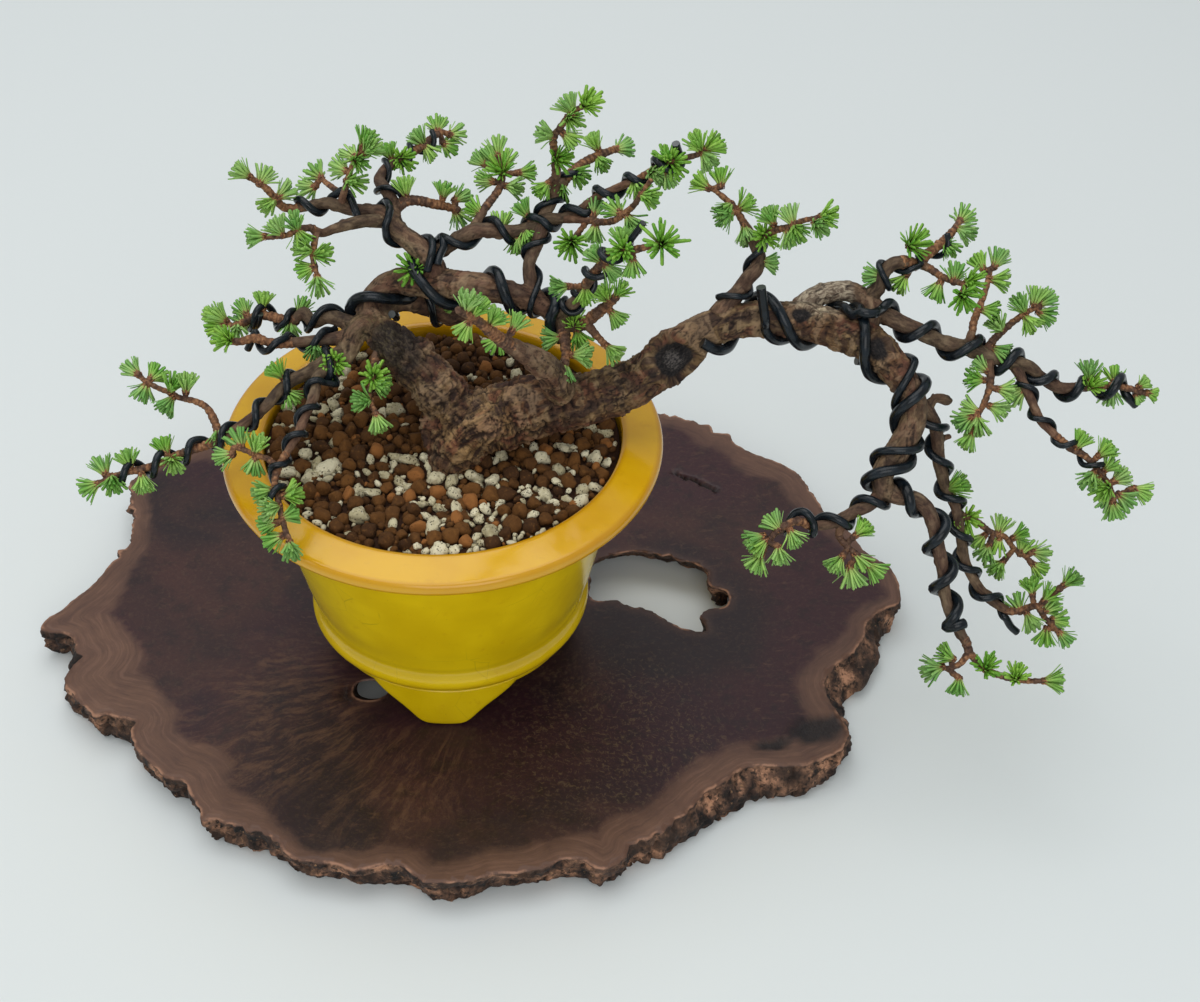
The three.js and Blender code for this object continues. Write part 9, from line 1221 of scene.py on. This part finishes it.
# three bracket feet under the belt
FOOT = [[1.5, 0], [4.6, 0.12], [7.2, 0.7], [9.4, 2.0], [11.4, 3.8], [13.2, 5.6], [15.4, 7.5], [18.0, 9.4], [21.0, 11.3], [23.8, 13.2], [26.0, 15.2], [27.2, 17.8]]
foot_rows = spline(np.array([[w, h, 0.0] for w, h in FOOT]), 0.7)[:, :2]
cols = 28
for spin in (0.0, 2 * math.pi / 3, 4 * math.pi / 3):
    shell = []
    for front in (True, False):
        for w, h in foot_rows:
            x = np.linspace(-1, 1, cols)
            xx = w * x
            Rf = 47.2
            Rb = 37.4 - 0.06 * h
            round_edge = 1.1 * (1 - np.clip(1 - np.abs(x), 0, 0.12) / 0.12) ** 2 + 0.9 * math.exp(-h / 0.7)
            R1 = (Rf - round_edge) if front else (Rb + round_edge * 0.6)
            y = -np.sqrt(np.maximum(R1**2 - xx**2, 1.0))
            zz = np.full(cols, 15.05 + h + (0.25 * math.exp(-h / 0.5) if not front else 0.0))
            shell.append(np.stack([xx, y, zz], -1))
    V = np.concatenate(shell)
    m = len(foot_rows)
    q = []
    for r in range(m - 1):
        for c in range(cols - 1):
            f0 = r * cols + c
            q.append([f0, f0 + 1, f0 + cols + 1, f0 + cols])
            b0 = (m + r) * cols + c
            q.append([b0 + 1, b0, b0 + cols, b0 + cols + 1])
        for c, flip in ((0, False), (cols - 1, True)):
            f0, b0 = r * cols + c, (m + r) * cols + c
            face = [b0, f0, f0 + cols, b0 + cols]
            q.append(face[::-1] if flip else face)
    for c in range(cols - 1):
        q.append([m * cols + c, m * cols + c + 1, c + 1, c])
        t0, b1 = (m - 1) * cols + c, (2 * m - 1) * cols + c
        q.append([t0, t0 + 1, b1 + 1, b1])
    cs, sn = math.cos(spin), math.sin(spin)
    V = np.stack([V[:, 0] * cs - V[:, 1] * sn, V[:, 0] * sn + V[:, 1] * cs, V[:, 2]], -1)
    hh = V[:, 2] - 15.05
    # painted shade along the bottom of each foot, where it meets the slab
    pot.add(V, q, edge=0.8 * smoothstep(1.6, 0.0, hh), grime=0.35 * smoothstep(1.0, 0.0, hh))
pot.build("glazed_pot", GLAZE, slot="yellow_glaze", replaces=["pot"])

# ---------------------------------------------------------------- soil
def ico(sub):
    t = (1 + 5**0.5) / 2
    v = np.array([[-1, t, 0], [1, t, 0], [-1, -t, 0], [1, -t, 0], [0, -1, t], [0, 1, t], [0, -1, -t], [0, 1, -t], [t, 0, -1], [t, 0, 1], [-t, 0, -1], [-t, 0, 1]], float)
    v /= np.linalg.norm(v[0])
    f = np.array([[0, 11, 5], [0, 5, 1], [0, 1, 7], [0, 7, 10], [0, 10, 11], [1, 5, 9], [5, 11, 4], [11, 10, 2], [10, 7, 6], [7, 1, 8], [3, 9, 4], [3, 4, 2], [3, 2, 6], [3, 6, 8], [3, 8, 9], [4, 9, 5], [2, 4, 11], [6, 2, 10], [8, 6, 7], [9, 8, 1]])
    for _ in range(sub):
        mid, vv, ff = {}, v.tolist(), []
        def m2(i, j):
            key = (min(i, j), max(i, j))
            if key not in mid:
                p = (np.array(vv[i]) + np.array(vv[j])) / 2
                vv.append((p / np.linalg.norm(p)).tolist())
                mid[key] = len(vv) - 1
            return mid[key]
        for x, y, z in f:
            p, q2, r2 = m2(x, y), m2(y, z), m2(z, x)
            ff += [[x, p, r2], [y, q2, p], [z, r2, q2], [p, q2, r2]]
        v, f = np.array(vv), np.array(ff)
    return v, f


def soil_height(x, y):
    r = np.hypot(x, y)
    z = np.interp(r, [0, 14, 32, 50, 60.4, 62], [4.2, 4.0, 3.7, 3.4, 3.0, 2.8]) + RIM_Z
    return z + 0.9 * np.sin(x * 0.31 + 1) * np.cos(y * 0.27) * np.clip((61.0 - r) / 8, 0, 1)


SOIL_R = 61.3
rings, per = 44, 120
V = [[0, 0, float(soil_height(np.array(0.0), np.array(0.0))) - 2.2]]
for j in range(1, rings + 1):
    r = SOIL_R * j / rings
    t = 2 * np.pi * np.arange(per) / per
    x, y = r * np.cos(t), r * np.sin(t)
    zz = soil_height(x, y) - 2.2 + 0.5 * fbm(np.stack([x, y, x * 0], -1) * 0.5, 3, 2)
    V += np.stack([x, y, zz], -1).tolist()
Q, Tr = [], []
for j in range(rings - 1):
    for k in range(per):
        a0 = 1 + j * per + k
        b0 = 1 + j * per + (k + 1) % per
        Q.append([a0, a0 + per, b0 + per, b0])
for k in range(per):
    Tr.append([0, 1 + k, 1 + (k + 1) % per])
base = len(V)
V += [[p[0] * 0.955, p[1] * 0.955, RIM_Z - 9.0] for p in V[1 + (rings - 1) * per :]]
for k in range(per):
    a0, b0 = 1 + (rings - 1) * per + k, 1 + (rings - 1) * per + (k + 1) % per
    Q.append([a0, base + k, base + (k + 1) % per, b0])
V.append([0, 0, RIM_Z - 9.0])
for k in range(per):
    Tr.append([len(V) - 1, base + (k + 1) % per, base + k])
# painted shade: the fines lying under the grains are darkened throughout
Shape().add(V, Q, Tr, tint=0.3, deep=0.75).build("soil_fines", FINES, slot="potting_mix", replaces=["soil"])

# loose grains: packed by size, pushed down between their neighbours
wood_xy = dense["T"][dense["T"][:, 2] < 112]
spots = []
cell = {}


def free_spot(x, y, r, k=0.80):
    ci, cj = int(x // 7), int(y // 7)
    for a1 in (-1, 0, 1):
        for b1 in (-1, 0, 1):
            for s in cell.get((ci + a1, cj + b1), ()):
                if (s[0] - x) ** 2 + (s[1] - y) ** 2 < (k * (s[2] + r)) ** 2:
                    return False
    return True


for r_lo, r_hi, tries in ((2.4, 3.3, 1300), (1.8, 2.4, 3500), (1.3, 1.8, 6500), (0.8, 1.3, 9000)):
    for _ in range(tries):
        rr = rng.uniform(r_lo, r_hi)
        t, q = rng.uniform(0, 2 * math.pi), math.sqrt(rng.uniform())
        x, y = (61.0 - rr) * q * math.cos(t), (61.0 - rr) * q * math.sin(t)
        if not free_spot(x, y, rr):
            continue
        if (np.hypot(wood_xy[:, 0] - x, wood_xy[:, 1] - y) < wood_xy[:, 3] - rr * 0.4).any():
            continue
        spots.append((x, y, rr, 0))
        cell.setdefault((int(x // 7), int(y // 7)), []).append((x, y, rr))
under = []
for _ in range(420):
    rr = rng.uniform(1.6, 2.6)
    t, q = rng.uniform(0, 2 * math.pi), math.sqrt(rng.uniform())
    under.append(((60.2 - rr) * q * math.cos(t), (60.2 - rr) * q * math.sin(t), rr, 1))
print("GRAINS", len(spots), len(under))
V1, F1 = ico(1)
V2, F2 = ico(2)
clay, stone = Shape(), Shape()
for x, y, rr, layer in spots + under:
    # pale pumice lies thicker towards the viewer's left and right, darker clay at the back
    patch = 0.5 + 0.5 * float(fbm(np.array([x, y, 0.0]) * 0.07 + 3, 2, 77))
    front = smoothstep(40, -30, y)
    chance = (0.30 + 0.26 * smoothstep(0.3, 0.72, patch)) * (0.62 + 0.42 * float(front))
    if rr > 2.7:
        chance *= 0.7
    is_stone = rng.uniform() < 1.02 * chance * (0.5 if layer else 1.0)
    bv, bf = (V2, F2) if rr > 1.95 and layer == 0 and y < 34 else (V1, F1)
    seed = rng.uniform(0, 500, 3)
    if is_stone:
        axes = np.array([rng.uniform(0.98, 1.42), rng.uniform(0.58, 0.95), rng.uniform(0.55, 0.85)]) * rr * rng.uniform(0.8, 1.08)
        rel = 1 + 0.46 * fbm(bv * 1.3 + seed, 2, 5) + 0.20 * vnoise(bv * 3.3 + seed, 9)
    else:
        axes = np.array([1.0, rng.uniform(0.78, 1.0), rng.uniform(0.74, 0.95)]) * rr * 1.08
        # broken lumps of fired clay: flats and blunt corners
        face = rng.normal(size=(7, 3))
        face /= np.linalg.norm(face, axis=1, keepdims=True)
        cut = rng.uniform(0.62, 0.88, 7)
        dots = bv @ face.T
        flat = np.min(np.where(dots > 0.05, cut[None] / np.maximum(dots, 0.05), 9.0), 1)
        rel = np.minimum(1.06, flat) + 0.09 * fbm(bv * 1.7 + seed, 2, 5) + 0.045 * vnoise(bv * 4.6 + seed, 6)
    v = bv * rel[:, None] * axes
    e = rng.uniform(0, 6.28, 3)
    for ax, an in ((0, e[0] * (0.16 if is_stone else 1)), (1, e[1] * (0.16 if is_stone else 1)), (2, e[2])):
        c, s = math.cos(an), math.sin(an)
        i0, i1 = [(1, 2), (0, 2), (0, 1)][ax]
        w0 = v[:, i0] * c - v[:, i1] * s
        v[:, i1] = v[:, i0] * s + v[:, i1] * c
        v[:, i0] = w0
    low = -0.9 - rng.uniform(0, 0.9) if layer == 0 else -2.6 - rng.uniform(0, 0.8)
    zc = float(soil_height(np.array(x), np.array(y))) + low + rr * 0.18
    v += [x, y, zc]
    # painted shade: grains darken with depth below the soil surface, and more towards the back
    deep = np.clip((soil_height(v[:, 0], v[:, 1]) - 0.6 - v[:, 2]) / 2.6, 0, 1)
    back = float(smoothstep(5, 50, y)) * 0.35
    target = stone if is_stone else clay
    tint = rng.uniform()
    if not is_stone and rng.uniform() < 0.07:
        tint = 2.1  # a few orange-tan ones
    target.add(v, bf, tint=np.full(len(v), tint), deep=np.clip(deep + back, 0, 1))
clay.build("clay_grains", AKADAMA, slot="potting_mix", replaces=["soil"])
stone.build("pumice_grains", PUMICE, slot="potting_mix", replaces=["soil"])

# ---------------------------------------------------------------- burl slab
def closed_loop(points, step):
    return spline(np.array([[x, y, 0.0] for x, y in points]), step, closed=True)[:, :2]


def loop_normals(L, window):
    """Outward or inward side of a loop, from its smoothed run."""
    n = len(L)
    k = np.exp(-0.5 * (np.arange(-3 * window, 3 * window + 1) / window) ** 2)
    k /= k.sum()
    S = np.stack([np.convolve(np.concatenate([L[-3 * window :, c], L[:, c], L[: 3 * window, c]]), k, "valid") for c in (0, 1)], -1)
    T = np.roll(S, -1, 0) - np.roll(S, 1, 0)
    T /= np.maximum(np.linalg.norm(T, axis=1, keepdims=True), 1e-9)
    return np.stack([-T[:, 1], T[:, 0]], -1)


def area2(L):
    return 0.5 * np.sum(L[:, 0] * np.roll(L[:, 1], -1) - np.roll(L[:, 0], -1) * L[:, 1])


edge_line = spline(np.array(SLAB_EDGE), 1.05, closed=True)
loops = [edge_line[:, :2], closed_loop(SLAB_HOLE, 0.9)]
low_off = edge_line[:, 2]
sx, sy = SLAB_SMALL_HOLE
t = 2 * np.pi * np.arange(40) / 40
loops.append(np.stack([sx + 6.3 * np.cos(t) * (1 + 0.06 * np.cos(3 * t)), sy + 4.8 * np.sin(t)], -1))
if area2(loops[0]) < 0:
    loops[0], low_off = loops[0][::-1], low_off[::-1]
loops[1] = loops[1] if area2(loops[1]) < 0 else loops[1][::-1]
loops[2] = loops[2][::-1]
LEVELS = [0.1, 0.8, 2.0, 3.4, 4.9, 6.4, 7.9, 9.4, 10.8, 12.0, 13.0, 13.9, 14.7]
slab = Shape()
sv, sq, loop_at = [], [], []
rim_v, side_v = [], []
for li, L in enumerate(loops):
    Nn = loop_normals(L, (5, 3, 2)[li])
    s3 = np.stack([L[:, 0], L[:, 1], np.zeros(len(L))], -1)
    # ragged in some stretches, smoother in others; here standing out below the top, there cut under
    ragged = (0.35 + 1.1 * smoothstep(-0.25, 0.35, fbm(s3 * 0.028, 2, 18)))
    jag = (0.6, 1.5, 0.9)[li] * fbm(s3 * 0.13, 4, 12) * ragged + (1.5, 0.8, 0.7)[li] * fbm(s3 * 0.45, 3, 15) * ragged
    flare = low_off if li == 0 else (4.6, 2.0, 0.2)[li] * fbm(s3 * 0.045 + 7.0, 3, 41) - 0.6
    rows = []
    for z in LEVELS:
        inset = np.interp(z, [0, 3, 11.2, 14.7], [1.9, 0.2, 0.0, 0.3]) * (1.0, 1.0, 0.3)[li]
        q3 = np.stack([L[:, 0], L[:, 1], np.full(len(L), z * 1.5)], -1)
        crag = (2.4, 1.6, 0.25)[li] * fbm(q3 * 0.16, 4, 31) + (1.3, 0.8, 0.1)[li] * fbm(q3 * 0.42, 3, 35)
        fold = np.abs(fbm(q3 * 0.10 + 3.0, 3, 37))
        crag = crag - (2.4, 1.4, 0.1)[li] * smoothstep(0.10, 0.0, fold)
        deep = smoothstep(14.5, 12.2, z)
        low = smoothstep(14.2, 4.5, z)
        drift = np.array([[0.0, (1 - z / 14.7) * 15.5 if li == 2 else 0.0]])  # the small hole slants back
        under = 11.0 * np.clip(Nn[:, 1], 0, 1) * (1 - z / 14.7) if li == 1 else np.zeros(len(L))
        rows.append(np.concatenate([L + drift + Nn * (under + inset + 0.1 - jag - crag * (0.10 + 0.75 * deep) - flare * low)[:, None], np.full((len(L), 1), z)], 1))
    rows = np.array(rows)
    start = len(sv)
    loop_at.append((start, len(L), rows))
    sv += rows.reshape(-1, 3).tolist()
    n = len(L)
    for r in range(len(LEVELS) - 1):
        for k in range(n):
            a0, b0 = start + r * n + k, start + r * n + (k + 1) % n
            sq.append([a0, b0, b0 + n, a0 + n])
    rim_v += np.zeros(len(LEVELS) * n).tolist()
    side_v += np.repeat(np.clip(1 - smoothstep(13.9, 14.7, np.array(LEVELS)), 0, 1), n).tolist()
# dark, open knots in the top face: middle, half-lengths, turn
KNOTS = [((138.0, -44.0), (17.0, 6.2), 0.42), ((119.0, -52.5), (9.0, 3.2), 0.3), ((-29.0, -31.5), (10.5, 5.0), 0.0), ((78.0, 30.0), (14.0, 3.0), -0.5)]


def knot_depth(x, y):
    out = np.zeros(np.shape(x))
    wob = 0.45 * fbm(np.stack([x, y, x * 0], -1) * 0.16, 3, 81)
    for (cx, cy), (ra, rb), turn in KNOTS:
        c, s0 = math.cos(turn), math.sin(turn)
        u, v = (x - cx) * c + (y - cy) * s0, -(x - cx) * s0 + (y - cy) * c
        out = np.maximum(out, smoothstep(1.25, 0.55, np.hypot(u / ra, v / rb) + wob))
    return out


crack_line = np.array([[86.0, 95.4], [89.5, 92.8], [92.5, 92.2], [96.7, 89.0], [101.2, 85.6]])


def crack_near(x, y):
    d = np.full(np.shape(x), 99.0)
    for i in range(len(crack_line) - 1):
        a, b = crack_line[i], crack_line[i + 1]
        t = np.clip(((x - a[0]) * (b[0] - a[0]) + (y - a[1]) * (b[1] - a[1])) / ((b - a) @ (b - a)), 0, 1)
        d = np.minimum(d, np.hypot(x - a[0] - t * (b[0] - a[0]), y - a[1] - t * (b[1] - a[1])))
    return d


def cap(level, step, up_side):
    """Fills a flat face between the loops, with points inside it at about step mm."""
    pts, edges, ids = [], [], []
    for start, n, rows in loop_at:
        o = len(pts)
        for k in range(n):
            pts.append(Vector(rows[level][k][:2]))
            ids.append(start + level * n + k)
            edges.append((o + k, o + (k + 1) % n))
    ring_pts = np.array([list(p) for p in pts])
    if step:
        g = np.arange(-160, 176, step)
        X, Y = np.meshgrid(g, g)
        X = X + rng.uniform(-0.3, 0.3, X.shape) * step
        Y = Y + rng.uniform(-0.3, 0.3, Y.shape) * step
        G2 = np.stack([X.ravel(), Y.ravel()], -1)
        extra = []
        for i in range(len(crack_line) - 1):
            a, b = crack_line[i], crack_line[i + 1]
            for t in np.linspace(0, 1, 9):
                for off in (-1.3, -0.7, 0, 0.7, 1.3):
                    d = (b - a) / np.linalg.norm(b - a)
                    extra.append(a + (b - a) * t + np.array([-d[1], d[0]]) * off)
        G2 = np.concatenate([G2[crack_near(G2[:, 0], G2[:, 1]) > 1.8], np.array(extra)])
        inside = np.zeros(len(G2), bool)
        o = 0
        for start, n, rows in loop_at:
            L = rows[level][:, :2]
            a, b = L, np.roll(L, -1, 0)
            hit = np.zeros(len(G2), bool)
            for c in range(0, len(G2), 4000):
                gx, gy = G2[c : c + 4000, 0][:, None], G2[c : c + 4000, 1][:, None]
                crosses = ((a[:, 1] > gy) != (b[:, 1] > gy)) & (gx < (b[:, 0] - a[:, 0]) * (gy - a[:, 1]) / (b[:, 1] - a[:, 1] + 1e-12) + a[:, 0])
                hit[c : c + 4000] = crosses.sum(1) % 2 == 1
            inside ^= hit
        G2 = G2[inside]
        far = np.zeros(len(G2), bool)
        for c in range(0, len(G2), 4000):
            q = G2[c : c + 4000]
            d2 = (q**2).sum(1)[:, None] + (ring_pts**2).sum(1)[None] - 2 * q @ ring_pts.T
            far[c : c + 4000] = d2.min(1) > 0.7**2
        G2 = G2[far]
    else:
        G2 = np.zeros((0, 2))
    n_ring = len(pts)
    pts += [Vector(p) for p in G2.tolist()]
    V2d, _, F2d, orig, _, _ = delaunay_2d_cdt(pts, edges, [], 1, 1e-6)
    z0 = LEVELS[level]
    index = {}
    newv, newr, newc, newk = [], [], [], []
    P2 = np.array([list(p) for p in V2d])
    o1 = np.full(len(P2), -1)
    for i, og in enumerate(orig):
        for j in og:
            if j < n_ring:
                o1[i] = j
                break
    rimd = np.zeros(len(P2))
    for c in range(0, len(P2), 4000):
        q = P2[c : c + 4000]
        d2 = (q**2).sum(1)[:, None] + (ring_pts**2).sum(1)[None] - 2 * q @ ring_pts.T
        rimd[c : c + 4000] = np.sqrt(np.maximum(d2.min(1), 0))
    zz = np.full(len(P2), z0)
    ck = np.zeros(len(P2))
    if step:
        q3 = np.stack([P2[:, 0], P2[:, 1], P2[:, 0] * 0], -1)
        zz = zz + smoothstep(0, 6, rimd) * 0.12 + 0.10 * fbm(q3 * 0.05, 3, 61) * smoothstep(0, 8, rimd)
        d = crack_near(P2[:, 0], P2[:, 1])
        wide = 0.75 + 0.5 * vnoise(q3 * 0.4, 6)
        ck = smoothstep(wide + 0.45, wide - 0.1, d)
        zz = zz - 2.4 * ck
        kn = knot_depth(P2[:, 0], P2[:, 1]) * smoothstep(0.2, 1.4, rimd)
        zz = zz - 1.5 * kn * (0.6 + 0.8 * np.abs(fbm(q3 * 0.35, 3, 83)))
    else:
        kn = np.zeros(len(P2))
    base = len(sv)
    count = 0
    for i in range(len(P2)):
        if o1[i] >= 0:
            index[i] = ids[o1[i]]
        else:
            index[i] = base + count
            count += 1
            newv.append([P2[i, 0], P2[i, 1], zz[i]])
            newr.append(rimd[i])
            newc.append(ck[i])
            newk.append(kn[i])
    mid = np.array([P2[list(f)].mean(0) for f in F2d])
    keep = np.zeros(len(mid), bool)
    for start, n, rows in loop_at:
        a, b = rows[level][:, :2], np.roll(rows[level][:, :2], -1, 0)
        for c in range(0, len(mid), 4000):
            gx, gy = mid[c : c + 4000, 0][:, None], mid[c : c + 4000, 1][:, None]
            crosses = ((a[:, 1] > gy) != (b[:, 1] > gy)) & (gx < (b[:, 0] - a[:, 0]) * (gy - a[:, 1]) / (b[:, 1] - a[:, 1] + 1e-12) + a[:, 0])
            keep[c : c + 4000] ^= crosses.sum(1) % 2 == 1
    faces = []
    for f, k in zip(F2d, keep):
        if k:
            tri = [index[v] for v in f]
            faces.append(tri if up_side else tri[::-1])
    return newv, newr, newc, newk, faces


crack_v = [0.0] * len(sv)
knot_v = [0.0] * len(sv)
tris = []
for level, step, up_side in ((len(LEVELS) - 1, 2.2, True), (0, 0, False)):
    newv, newr, newc, newk, faces = cap(level, step, up_side)
    sv += newv
    rim_v += newr
    side_v += [0.0] * len(newv)
    crack_v += newc
    knot_v += newk
    tris += faces
# where the figure of the wood changes, as numbers on the mesh
W3 = np.array(sv) * [1.0, 1.0, 0.4]
swirl = np.stack([fbm(W3 * 0.016 + 20.0 * k, 2, 210 + k) for k in range(3)], -1) * 18.0


def region(x, y, r_in, r_out):
    d = np.hypot(W3[:, 0] - x, W3[:, 1] - y) + 12.0 * fbm(W3 * 0.05, 3, 215)
    return smoothstep(r_out, r_in, d)


outer = loop_at[0][2][-1][:, :2]
d_out = np.zeros(len(W3))
for c in range(0, len(W3), 4000):
    q = W3[c : c + 4000, :2]
    d_out[c : c + 4000] = np.sqrt(np.maximum(((q**2).sum(1)[:, None] + (outer**2).sum(1)[None] - 2 * q @ outer.T).min(1), 0))
width = 9.0 + 7.0 * fbm(W3 * 0.020, 2, 221)
# the band is widest at the far left
width = width + 17.0 * region(-142.0, -22.0, 14.0, 52.0) + 5.0 * region(-90.0, -75.0, 20.0, 50.0)
d_in = d_out + 5.5 * fbm(W3 * 0.055, 4, 223)
figure = dict(
    big=0.5 + 0.45 * fbm((W3 + swirl) * 0.013, 3, 225), wine=0.5 + 0.45 * fbm(W3 * 0.02, 2, 227), soft=0.5 + 0.45 * fbm((W3 + swirl) * 0.035, 3, 229),
    where=smoothstep(0.46, 0.60, 0.5 + 0.45 * fbm(W3 * 0.024, 2, 231)), band=smoothstep(-1.6, 1.8, width - d_in) * (0.72 + 0.28 * smoothstep(0.0, 9.0, width - d_in)),
    fan=np.maximum(region(-62.0, -46.0, 18.0, 50.0), 0.8 * region(-14.0, -72.0, 12.0, 40.0)), bird=region(58.0, -52.0, 20.0, 56.0),
)
# rays run out from under the pot
away = W3[:, :2] - np.array([14.0, -12.0])
dist, turn = np.hypot(away[:, 0], away[:, 1]), np.arctan2(away[:, 0], -away[:, 1])
figure["rays"] = np.stack([dist * 0.075 + 0.5 * fbm(W3 * 0.05, 2, 233), turn * 22.0 + 1.6 * fbm(W3 * 0.045, 3, 235), W3[:, 2] * 0.1], -1)
figure["growth"] = np.stack([d_out * 0.55 + 1.3 * fbm(W3 * 0.05, 3, 239), W3[:, 0] * 0.05, W3[:, 1] * 0.05], -1)
sh = Shape()
sh.add(sv, sq, tris, rim=rim_v, side=side_v, crack=crack_v, knot=knot_v, **figure)
sh.build("burl_slab", SLAB, slot="burl_wood", replaces=["display_slab"])

# ---------------------------------------------------------------- floor and light
fm = bpy.data.meshes.new("floor")
s = 4.0
fm.from_pydata([(-s, -s, 0), (s, -s, 0), (s, s, 0), (-s, s, 0)], [], [(0, 1, 2, 3)])
floor = bpy.data.objects.new("floor", fm)
bpy.context.scene.collection.objects.link(floor)
g = Nodes("pale_floor")
fm.materials.append(g.finish(Base_Color=rgba(222, 227, 226), Roughness=0.6, Specular_IOR_Level=0.3))


def area(name, where, size, power, target=(0.02, 0.0, 0.08), tint=(1, 1, 1)):
    d = bpy.data.lights.new(name, "AREA")
    d.shape, d.size, d.energy, d.color = "SQUARE", size, power, tint
    o = bpy.data.objects.new(name, d)
    o.location = where
    o.rotation_euler = (Vector(target) - Vector(where)).to_track_quat("-Z", "Y").to_euler()
    bpy.context.scene.collection.objects.link(o)


area("top_light", (-0.15, 0.25, 1.5), 1.5, 11.4)
area("front_light", (0.20, -1.4, 1.05), 1.2, 8.5)
area("left_light", (-1.4, -0.3, 0.9), 1.0, 2.0)
world = bpy.data.worlds.new("studio")
bpy.context.scene.world = world
world.use_nodes = True
world.node_tree.nodes["Background"].inputs[0].default_value = (0.93, 0.97, 1.0, 1)
world.node_tree.nodes["Background"].inputs[1].default_value = 0.48
bpy.context.scene.view_settings.view_transform = "Standard"
